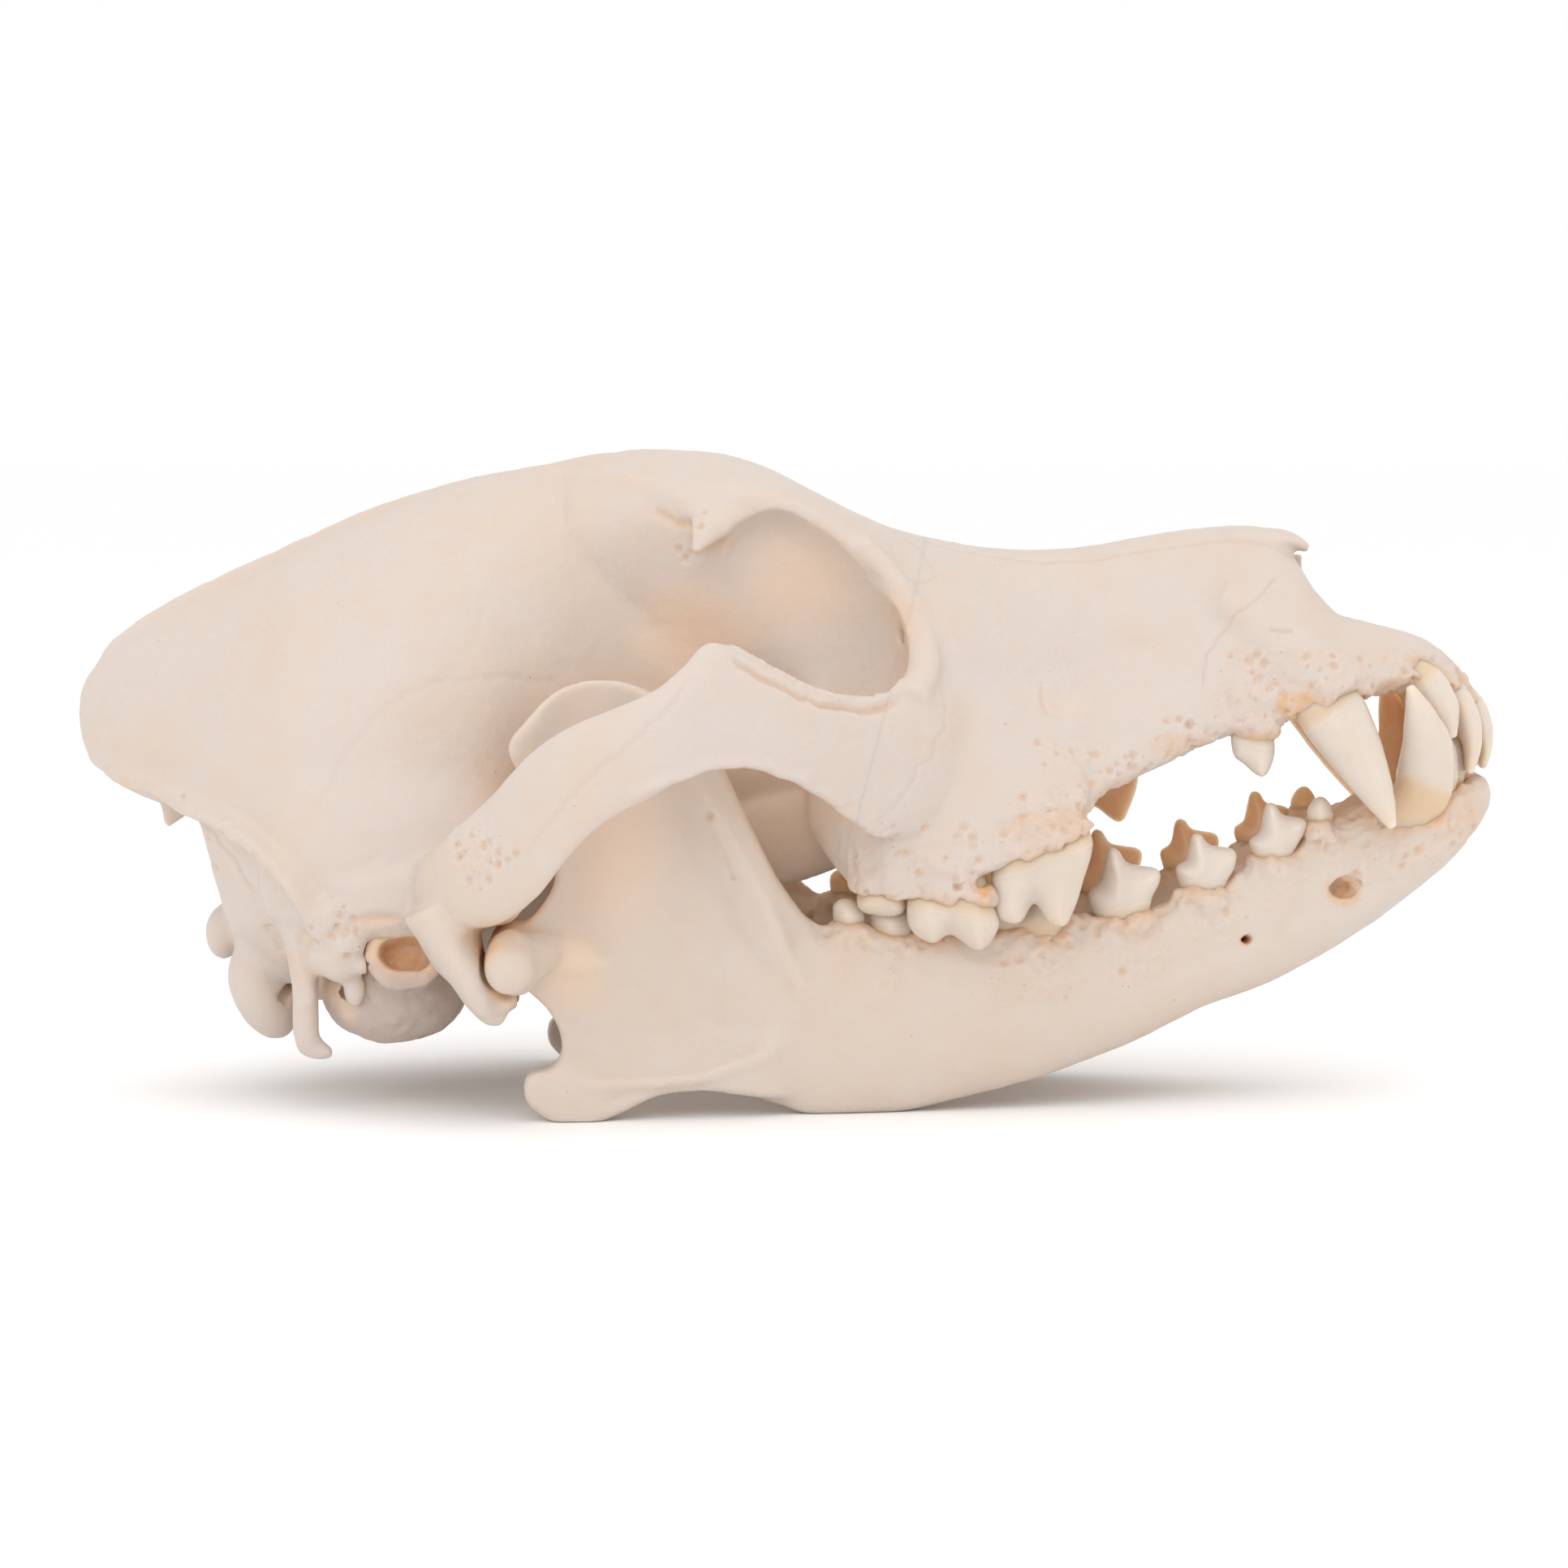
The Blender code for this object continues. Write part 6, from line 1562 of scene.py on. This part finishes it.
def shade_hollows(surface, solids, count, seed):
    """Raise the hollow mask, which paints shade, where little sky is seen: a coarse grid carries it
    to every point.
    """
    picker = np.random.default_rng(seed)
    chosen = picker.choice(len(surface.points), size=count, replace=False)
    values = 1.0 - sees_sky(surface.points[chosen], surface.normals[chosen], solids, seed + 1)
    keys = surface.points + 3.0 * surface.normals
    low = keys.min(axis=0) - 2 * SKY_CELL
    shape = ((keys.max(axis=0) - low) / SKY_CELL).astype(int) + 3
    spot = (keys - low) / SKY_CELL
    base = np.floor(spot).astype(int)
    share = spot - base
    corners = [np.array([i & 1, i >> 1 & 1, i >> 2 & 1]) for i in range(8)]
    weights = [np.prod(np.where(corner, share, 1 - share), axis=1) for corner in corners]
    sums, counts = np.zeros(shape), np.zeros(shape)
    for corner, weight in zip(corners, weights):
        at = tuple((base[chosen] + corner).T)
        np.add.at(sums, at, weight[chosen] * values)
        np.add.at(counts, at, weight[chosen])
    for axis in range(3):
        for grid in (sums, counts):
            grid[...] = np.roll(grid, 1, axis) + 2 * grid + np.roll(grid, -1, axis)
    top, bottom = np.zeros(len(keys)), np.full(len(keys), 1e-6)
    for corner, weight in zip(corners, weights):
        at = tuple((base + corner).T)
        top += weight * sums[at]
        bottom += weight * counts[at]
    surface.paint("hollow", EVERYWHERE, 0.95 * ease((top / bottom - 0.35) / 0.6))


def socket_edges(surface, crowns, low, high, seed):
    """The knobbly, stained bone around the teeth; the stain in the crease at each tooth also stands
    in for warm light bounced into its shade.
    """
    where = surface.within(low, high)
    spots = surface.points[where]
    gap = np.array([crowns.find(Vector(point))[2] for point in spots])
    near = ease((6.5 - gap) / 5.0)
    lumps = rough(spots, 2.2, seed)
    lip = 0.35 * np.exp(-((gap - 1.5) / 0.9) ** 2) * (0.7 + 0.5 * lumps)
    moat = -0.15 * np.exp(-(gap / 0.6) ** 2)
    surface.push(where, lip + moat + 0.4 * near * lumps)
    surface.paint("pores", where, near * (0.75 + 0.4 * lumps))
    # Stain at the tooth, which also stands in for warm light bounced into the shaded crease
    surface.paint("stain", where, 0.8 * np.exp(-(gap / 0.8) ** 2) + 0.1 * near * (0.5 + lumps))


def worked(surface, creases, dents, patches, seed):
    """The ridges, hollows and patches of one bone, on each side that it has."""
    for step, crease in enumerate(creases):
        for side in surface.sides:
            surface.crease(side, seed + 31 * step + int(side), *crease)
    for dent in dents:
        for side in surface.sides:
            surface.dent(side, *dent)
    for step, patch in enumerate(patches):
        for side in surface.sides:
            surface.patch(side, seed + 13 * step + int(side), *patch)
    surface.write()


def weathered(surface, solids, samples, holes, seed):
    """The fine surface of dry bone: faint waves, pits, and painted shade in its creases and hollows.
    """
    waves = 0.10 * rough(surface.points, 7.0, seed) + 0.045 * noise(surface.points, 1.7, seed + 5)
    knobs = noise(surface.points, 1.5, seed + 9) + 0.6 * noise(surface.points, 0.9, seed + 12)
    surface.push(EVERYWHERE, waves + 0.16 * surface.masks["pores"] * knobs)
    surface.pits(int(holes * EFFORT), seed + 20)
    surface.write()
    # Painted shade: points that lie lower than their evened neighbours get the hollow tint
    evened = averaged(surface.points, edges_of(surface.item.data), CREASE_SHADE_ROUNDS, 0.5)
    lower = ((evened - surface.points) * surface.normals).sum(axis=1)
    surface.paint("hollow", EVERYWHERE, 0.5 * ease((lower - 0.08) / 0.5))
    shade_hollows(surface, solids, int(samples * EFFORT), seed + 40)


def linear(red, green, blue):
    """A colour from its 0 to 255 values."""
    return (*[((value / 255 + 0.055) / 1.055) ** 2.4 for value in (red, green, blue)], 1.0)


CLEAN_BONE = linear(204, 192, 184)
WARM_BONE = linear(206, 189, 174)
# Painted shade: a warm tan laid where little light reaches, in hollows and creases
PAINTED_SHADE_BONE = linear(236, 206, 177)
STAINED_BONE = linear(212, 162, 112)
SEAM_BONE = linear(180, 150, 124)
ENAMEL = linear(210, 201, 192)
# Yellower neck enamel, also standing in for warm light bounced into the shaded crease at the gum
NECK_ENAMEL = linear(211, 184, 150)
# Painted shade for the faces of the teeth that look into the mouth
PAINTED_SHADE_ENAMEL = linear(240, 203, 160)
CHIPPED_ENAMEL = linear(112, 96, 84)
JAW_BONE = linear(206, 194, 184)
EAR_BONE = linear(190, 174, 164)
WARM_EAR_BONE = linear(180, 162, 150)


def group(name, inputs, outputs):
    """A shader node group with its inputs and outputs as (name, kind, value)."""
    tree = bpy.data.node_groups.new(name, "ShaderNodeTree")
    for label, kind, value in inputs:
        socket = tree.interface.new_socket(label, in_out="INPUT", socket_type="NodeSocket" + kind)
        socket.default_value = value
    for label, kind in outputs:
        tree.interface.new_socket(label, in_out="OUTPUT", socket_type="NodeSocket" + kind)
    return tree, tree.nodes.new("NodeGroupInput"), tree.nodes.new("NodeGroupOutput")


def feed(tree, socket, value):
    """Link an input to another socket, or give it a plain value."""
    if isinstance(value, bpy.types.NodeSocket):
        tree.links.new(value, socket)
    elif value is not None:
        socket.default_value = value


def place(tree, kind, **values):
    """A node, with its settings and its inputs by name."""
    node = tree.nodes.new(kind)
    for name, value in values.items():
        if hasattr(node, name):
            setattr(node, name, value)
        else:
            feed(tree, node.inputs[name.replace("_", " ")], value)
    return node


def math_node(tree, operation, first, second=None, third=None, clamp=False):
    """A Math node whose inputs are sockets or numbers."""
    node = place(tree, "ShaderNodeMath", operation=operation, use_clamp=clamp)
    for socket, value in zip(node.inputs, (first, second, third)):
        feed(tree, socket, value)
    return node.outputs[0]


def multiply_add(tree, first, second, third, clamp=False):
    """The first times the second plus the third."""
    return math_node(tree, "MULTIPLY_ADD", first, second, third, clamp)


def between(tree, value, low, high):
    """A smooth step of a socket from 0 at low to 1 at high."""
    return place(tree, "ShaderNodeMapRange", interpolation_type="SMOOTHSTEP", Value=value,
                 From_Min=low, From_Max=high).outputs["Result"]


def mixed_colour(tree, factor, first, second):
    """A mix of two colours, each a socket or a plain colour."""
    node = place(tree, "ShaderNodeMix", data_type="RGBA")
    for number, value in ((0, factor), (6, first), (7, second)):
        feed(tree, node.inputs[number], value)
    return node.outputs[2]


def object_place(tree):
    """Where a point of the surface is, in metres."""
    return tree.nodes.new("ShaderNodeTexCoord").outputs["Object"]


def noise_socket(tree, where, size, detail=3.0, roughness=0.55):
    """Noise whose lumps are about `size` millimetres wide."""
    return place(tree, "ShaderNodeTexNoise", Vector=where, Scale=1.0 / (size * MM), Detail=detail,
                 Roughness=roughness).outputs["Fac"]


def mottle_group():
    """Slow changes of tone and fine grain over a surface."""
    tree, _, ends = group("mottle", [], [("Tone", "Float"), ("Grain", "Float")])
    where = object_place(tree)
    broad = noise_socket(tree, where, 26.0, 4.0)
    small = noise_socket(tree, where, 5.0)
    tone = multiply_add(tree, small, 0.35, math_node(tree, "MULTIPLY", broad, 0.75))
    tree.links.new(between(tree, tone, 0.38, 0.74), ends.inputs["Tone"])
    fine = noise_socket(tree, where, 0.55, 4.0, 0.6)
    strands = noise_socket(tree, where, 1.8, 3.0, 0.6)
    grain = multiply_add(tree, strands, 0.9, math_node(tree, "MULTIPLY", fine, 0.5))
    tree.links.new(grain, ends.inputs["Grain"])
    return tree


def pinhole_group():
    """Round holes in bone, of which more are open where the pore mask is high."""
    tree, starts, ends = group(
        "pinholes",
        [("Pores", "Float", 0.0), ("Share open", "Float", 0.0), ("Share in pores", "Float", 0.2),
         ("Spacing", "Float", 1.0)],
        [("Holes", "Float"), ("Rims", "Float")])
    given = starts.outputs
    scale = math_node(tree, "DIVIDE", 1.0 / MM, given["Spacing"])
    cells = place(tree, "ShaderNodeTexVoronoi", Vector=object_place(tree), Scale=scale)
    luck = place(tree, "ShaderNodeSeparateColor", Color=cells.outputs["Color"])
    opened = math_node(tree, "MULTIPLY", given["Pores"], given["Share in pores"])
    opened = math_node(tree, "ADD", opened, given["Share open"])
    is_open = math_node(tree, "LESS_THAN", luck.outputs[0], opened)
    radius = multiply_add(tree, luck.outputs[1], 0.09, 0.06)
    reach = math_node(tree, "DIVIDE", cells.outputs["Distance"], radius)
    hole = math_node(tree, "SUBTRACT", 1.0, between(tree, reach, 0.5, 1.25))
    tree.links.new(math_node(tree, "MULTIPLY", hole, is_open), ends.inputs["Holes"])
    rim = math_node(tree, "SUBTRACT", 1.0, between(tree, reach, 1.0, 2.4))
    tree.links.new(math_node(tree, "MULTIPLY", rim, is_open), ends.inputs["Rims"])
    return tree


def stains_and_shade_group():
    """The colour of old bone from its clean colour and its masks, with painted shade in its hollows.
    """
    tree, starts, ends = group(
        "stains_and_painted_shade",
        [("Clean", "Color", CLEAN_BONE), ("Warm", "Color", WARM_BONE), ("Shaded", "Color", PAINTED_SHADE_BONE),
         ("Rust", "Color", STAINED_BONE), ("Line", "Color", SEAM_BONE), ("Tone", "Float", 0.5),
         ("Hollow", "Float", 0.0), ("Stain", "Float", 0.0), ("Seam", "Float", 0.0),
         ("Holes", "Float", 0.0)],
        [("Colour", "Color")])
    given = starts.outputs
    blotch = noise_socket(tree, object_place(tree), 2.6, 4.0, 0.65)
    colour = mixed_colour(tree, given["Tone"], given["Clean"], given["Warm"])
    # Painted shade: the hollow mask mixes in a warm tan where little light reaches
    colour = mixed_colour(tree, given["Hollow"], colour, given["Shaded"])
    patchy = math_node(tree, "MULTIPLY", given["Stain"], between(tree, blotch, 0.28, 0.66))
    patchy = math_node(tree, "MULTIPLY", patchy, 0.65)
    stain = multiply_add(tree, given["Stain"], 0.35, patchy, clamp=True)
    colour = mixed_colour(tree, stain, colour, given["Rust"])
    line = math_node(tree, "MULTIPLY", given["Seam"], 0.8)
    colour = mixed_colour(tree, line, colour, given["Line"])
    holes = math_node(tree, "MULTIPLY", given["Holes"], 0.45)
    tree.links.new(mixed_colour(tree, holes, colour, given["Rust"]), ends.inputs["Colour"])
    return tree


def mask_socket(tree, name):
    """One of the masks kept with the points."""
    return place(tree, "ShaderNodeAttribute", attribute_name=name).outputs["Fac"]


def use(tree, source, **inputs):
    """The outputs of a group in a material, with its inputs linked or set by name."""
    return place(tree, "ShaderNodeGroup", node_tree=source, **inputs).outputs


def new_material(name):
    """A material, its tree and its one surface shader."""
    material = bpy.data.materials.new(name)
    material.use_nodes = True
    return material, material.node_tree, material.node_tree.nodes["Principled BSDF"]


def finish_surface(tree, shader, **inputs):
    """Link or set the inputs of a surface shader by name."""
    for name, value in inputs.items():
        feed(tree, shader.inputs[name.replace("_", " ")], value)


def bone_material(name, groups, clean, warm, roughness, share_open, relief):
    """Dry bone: mottled, with painted shade in its hollows, rusty at holes and sockets, darker along
    its sutures.
    """
    material, tree, shader = new_material(name)
    mottle = use(tree, groups["mottle"])
    pores, seam = mask_socket(tree, "pores"), mask_socket(tree, "seam")
    holes = use(tree, groups["pinholes"], Pores=pores, Share_open=share_open, Share_in_pores=0.18,
                Spacing=1.1)
    specks = use(tree, groups["pinholes"], Pores=pores, Share_open=0.0, Share_in_pores=0.5,
                 Spacing=0.75)
    opened = math_node(tree, "MAXIMUM", holes["Holes"], specks["Holes"])
    rims = math_node(tree, "MAXIMUM", holes["Rims"], specks["Rims"])
    rings = math_node(tree, "MULTIPLY", rims, 0.16)
    stain = math_node(tree, "MAXIMUM", mask_socket(tree, "stain"), rings)
    # The hollow mask paints shade into the colour
    colour = use(tree, groups["stains_and_painted_shade"], Clean=clean, Warm=warm, Tone=mottle["Tone"],
                 Hollow=mask_socket(tree, "hollow"), Stain=stain, Seam=seam, Holes=opened)
    dry = multiply_add(tree, pores, 0.15, multiply_add(tree, mottle["Tone"], 0.1, roughness))
    polish = math_node(tree, "MULTIPLY", mask_socket(tree, "polish"), 0.2)
    grain = math_node(tree, "MULTIPLY", mottle["Grain"], relief)
    height = multiply_add(tree, seam, -0.5, multiply_add(tree, opened, -1.6, grain))
    bump = place(tree, "ShaderNodeBump", Strength=0.55, Distance=0.35 * MM, Height=height)
    finish_surface(tree, shader, Base_Color=colour["Colour"], Normal=bump.outputs["Normal"],
                   Roughness=math_node(tree, "SUBTRACT", dry, polish), Specular_IOR_Level=0.4,
                   Subsurface_Weight=0.35, Subsurface_Radius=(1.0, 0.66, 0.45),
                   Subsurface_Scale=2.4 * MM)
    return material


def enamel_material(name, groups):
    """Tooth enamel: glossy ivory, yellower towards the neck, where the tint also stands in for light
    bounced into the shaded crease, with painted shade on the faces in the mouth and faint cracks down
    the crown.
    """
    material, tree, shader = new_material(name)
    mottle = use(tree, groups["mottle"])
    neck = mask_socket(tree, "stain")
    squeeze = place(tree, "ShaderNodeMapping", Vector=object_place(tree), Scale=(1.0, 1.0, 0.16))
    cracks = place(tree, "ShaderNodeTexVoronoi", feature="DISTANCE_TO_EDGE",
                   Vector=squeeze.outputs["Vector"], Scale=1.0 / (2.4 * MM))
    crack = math_node(tree, "SUBTRACT", 1.0, between(tree, cracks.outputs["Distance"], 0.0, 0.035))
    yellow = math_node(tree, "MULTIPLY", neck, 0.75)
    tint = multiply_add(tree, mottle["Tone"], 0.25, yellow, clamp=True)
    colour = mixed_colour(tree, tint, ENAMEL, NECK_ENAMEL)
    # Painted shade on the faces that look into the mouth
    colour = mixed_colour(tree, mask_socket(tree, "hollow"), colour, PAINTED_SHADE_ENAMEL)
    colour = mixed_colour(tree, math_node(tree, "MULTIPLY", crack, 0.05), colour, SEAM_BONE)
    colour = mixed_colour(tree, mask_socket(tree, "seam"), colour, CHIPPED_ENAMEL)
    grain = math_node(tree, "MULTIPLY", mottle["Grain"], 0.3)
    height = multiply_add(tree, crack, -0.04, grain)
    bump = place(tree, "ShaderNodeBump", Strength=0.25, Distance=0.2 * MM, Height=height)
    finish_surface(tree, shader, Base_Color=colour, Normal=bump.outputs["Normal"],
                   Roughness=multiply_add(tree, neck, 0.22, 0.24), Subsurface_Weight=0.85,
                   Subsurface_Radius=(1.0, 0.76, 0.52), Subsurface_Scale=3.6 * MM)
    return material


def floor_material():
    """Matt white studio floor with the faintest mottling."""
    material, tree, shader = new_material("studio_floor")
    tone = noise_socket(tree, object_place(tree), 400.0, 2.0)
    colour = mixed_colour(tree, tone, linear(255, 255, 255), linear(254, 254, 254))
    finish_surface(tree, shader, Base_Color=colour, Roughness=0.9, Specular_IOR_Level=0.1)
    return material


def stand(name, data, spot, towards):
    """Put a light or a camera at a spot, looking the given way."""
    item = new_object(name, data)
    item.location = spot
    item.rotation_mode = "QUATERNION"
    item.rotation_quaternion = towards.to_track_quat("-Z", "Y")
    return item


def soft_light(name, spot, aim, size, power):
    """A large square light aimed at a point."""
    lamp = bpy.data.lights.new(name, "AREA")
    lamp.size = size
    lamp.energy = power
    stand(name, lamp, spot, aim - Vector(spot))


def studio():
    """The floor, the lights and the camera."""
    shape = bmesh.new()
    bmesh.ops.create_circle(shape, cap_ends=True, segments=96, radius=FLOOR_RADIUS)
    floor = finished_shape("studio_floor", shape)
    floor.location.z = -FLOOR_GAP
    floor.data.materials.append(floor_material())
    world = bpy.data.worlds.new("studio")
    world.use_nodes = True
    sky = world.node_tree.nodes["Background"]
    sky.inputs["Color"].default_value = (1.0, 1.0, 1.0, 1.0)
    sky.inputs["Strength"].default_value = SKY_STRENGTH
    bpy.context.scene.world = world
    middle = Vector((0.0, 0.0, CAMERA_AIM_HEIGHT))
    for name, spot, size, power in SOFT_LIGHTS:
        soft_light(name, spot, middle, size, power)
    lens = bpy.data.cameras.new("camera")
    lens.lens = CAMERA_LENS
    lens.sensor_width = 36.0
    lens.clip_start = 0.01
    lens.clip_end = 100.0
    back = Vector((0.0, -math.cos(CAMERA_RISE), math.sin(CAMERA_RISE)))
    bpy.context.scene.camera = stand("camera", lens, middle + back * CAMERA_DISTANCE, -back)
    bpy.context.scene.view_settings.view_transform = "Standard"


def sheet(shape, lines):
    """Add a sheet through lines of points in millimetres."""
    rows = [[shape.verts.new(Vector(point) * MM) for point in line] for line in lines]
    for low, high in zip(rows, rows[1:]):
        for i in range(len(low) - 1):
            shape.faces.new((low[i], low[i + 1], high[i + 1], high[i]))


def scroll_line(x, side):
    """One rolled line across the nose."""
    open_share = ease((x - 62.0) / 22.0)
    top, bottom = 88.5 + 0.12 * (x - 78.0), 76.0
    line = []
    for share in np.linspace(0.0, 1.0, 46):
        turn = share * SCROLL_HALF_TURNS * math.pi
        radius = (0.8 + 2.9 * share) * (0.55 + 0.45 * open_share)
        y = 5.2 + radius * math.cos(turn) * 0.9
        z = bottom + (top - bottom) * (0.5 + 0.36 * math.sin(turn) * (0.35 + 0.65 * share))
        line.append((x + 1.2 * math.sin(3.0 * turn), y * side, z))
    return line


def nose_scrolls(name, side, material):
    """The thin rolled bones in one side of the nose, with its half of the wall between."""
    shape = bmesh.new()
    sheet(shape, [scroll_line(x, side) for x in np.linspace(62.0, 85.0, 25)])
    sheet(shape, [[(x, 0.25 * side, z) for z in np.linspace(72.0, 91.5, 20)]
                  for x in np.linspace(58.0, 88.0, 31)])
    scrolls = finished_shape(name + "_whole", shape)
    thick = scrolls.modifiers.new("thick", "SOLIDIFY")
    thick.thickness = SCROLL_THICKNESS * MM
    thick.offset = 0.0
    fine = scrolls.modifiers.new("fine", "SUBSURF")
    fine.levels = 1
    fine.render_levels = 1
    settle(scrolls)
    surface = Surface(scrolls, side)
    surface.push(EVERYWHERE, 0.12 * noise(surface.points, 2.0, 3))
    # Painted shade, stronger deeper into the nose
    surface.paint("hollow", EVERYWHERE, ease((92.0 - surface.points[:, 0]) / 26.0))
    surface.paint("pores", EVERYWHERE, 0.35)
    finished_bone(name, surface, material, "skull_bone")


def solids_tree():
    """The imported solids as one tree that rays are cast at."""
    points, faces = [], []
    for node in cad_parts.values():
        start = len(points)
        points += [vert.co.copy() for vert in node.data.vertices]
        faces += [[start + corner for corner in face.vertices] for face in node.data.polygons]
    return BVHTree.FromPolygons(points, faces)


def teeth_of(jaw, side_name, material):
    """Make every tooth of one side of one jaw, and return every third of their points."""
    spots = []
    for tooth, parts in tooth_parts(jaw, side_name).items():
        name = "_".join((jaw, tooth, side_name))
        made = finished_tooth(name, jaw, tooth, parts, SIDES[side_name], material)
        spots.append(read_values(made.data.vertices, "co", 3)[::3])
    return np.concatenate(spots) / MM


def crown_tree(spots):
    """A tree of points on the teeth, to find how near the bone is to one."""
    tree = KDTree(len(spots))
    for number, spot in enumerate(spots):
        tree.insert(spot, number)
    tree.balance()
    return tree


def finished_cranium(crowns, solids, material):
    """Work the cranium in one piece and divide it into its bones."""
    cranium = whole_cranium()
    surface = Surface(cranium, -1.0, 1.0)
    for middle, radii, rounds in SKULL_EVENED:
        for side in surface.sides:
            surface.soften(side, middle, radii, rounds // FEWER_ROUNDS)
    surface.write()
    for step, crease in enumerate(SKULL_MIDLINE):
        surface.crease(1.0, 500 + 17 * step, *crease)
    worked(surface, SKULL_CREASES, SKULL_DENTS, SKULL_PATCHES, seed=100)
    socket_edges(surface, crowns, *UPPER_SOCKETS, seed=40)
    weathered(surface, solids, samples=5000, holes=900, seed=60)
    inside_the_box(surface)
    faces = faces_of(surface)
    owner = bone_of_each_face(surface.points[faces].mean(axis=1))
    for number, (name, node) in enumerate(CRANIUM_BONES):
        dressed(bone_object(name, surface, faces[owner == number]), material, "skull_bone", node)
    remove([cranium])


def finished_jaw(side_name, crowns, solids, material):
    """Work one half of the lower jaw."""
    surface = Surface(jaw_half(side_name), SIDES[side_name])
    worked(surface, JAW_CREASES, JAW_DENTS, JAW_PATCHES, seed=300)
    socket_edges(surface, crowns, *LOWER_SOCKETS, seed=80)
    weathered(surface, solids, samples=1800, holes=140, seed=160)
    finished_bone("lower_jaw_" + side_name, surface, material, "jaw_bone", "mandible_" + side_name)


def finished_ear(side_name, solids, material):
    """Work one ear capsule."""
    surface = Surface(ear_bone(side_name), SIDES[side_name])
    worked(surface, EAR_CREASES, EAR_DENTS, EAR_PATCHES, seed=700)
    surface.push(EVERYWHERE, 0.3 * rough(surface.points, 5.0, 21))
    weathered(surface, solids, samples=500, holes=60, seed=260)
    finished_bone("ear_capsule_" + side_name, surface, material, "ear_bone",
                  "tympanic_bulla_" + side_name)


def main():
    """Make the teeth, then the bones that hold them, then the studio."""
    groups = {"mottle": mottle_group(), "pinholes": pinhole_group(), "stains_and_painted_shade": stains_and_shade_group()}
    skull = bone_material("skull_bone", groups, CLEAN_BONE, WARM_BONE, roughness=0.50,
                          share_open=0.012, relief=0.8)
    jaw = bone_material("jaw_bone", groups, JAW_BONE, WARM_BONE, roughness=0.48,
                        share_open=0.008, relief=0.7)
    ear = bone_material("ear_bone", groups, EAR_BONE, WARM_EAR_BONE, roughness=0.40,
                        share_open=0.01, relief=0.6)
    enamel = enamel_material("enamel", groups)
    solids = solids_tree()
    upper, lower = [], {}
    for side_name in SIDES:
        upper.append(teeth_of("upper", side_name, enamel))
        lower[side_name] = teeth_of("lower", side_name, enamel)
    finished_cranium(crown_tree(np.concatenate(upper)), solids, skull)
    for side_name, side in SIDES.items():
        finished_jaw(side_name, crown_tree(lower[side_name]), solids, jaw)
        finished_ear(side_name, solids, ear)
        nose_scrolls("nose_scrolls_" + side_name, side, skull)
    studio()


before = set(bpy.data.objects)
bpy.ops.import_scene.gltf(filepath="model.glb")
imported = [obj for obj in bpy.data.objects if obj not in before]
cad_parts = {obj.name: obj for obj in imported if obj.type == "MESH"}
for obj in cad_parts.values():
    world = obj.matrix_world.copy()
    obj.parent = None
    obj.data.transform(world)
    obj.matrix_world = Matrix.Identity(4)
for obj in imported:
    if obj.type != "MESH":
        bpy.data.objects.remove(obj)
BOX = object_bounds()
main()
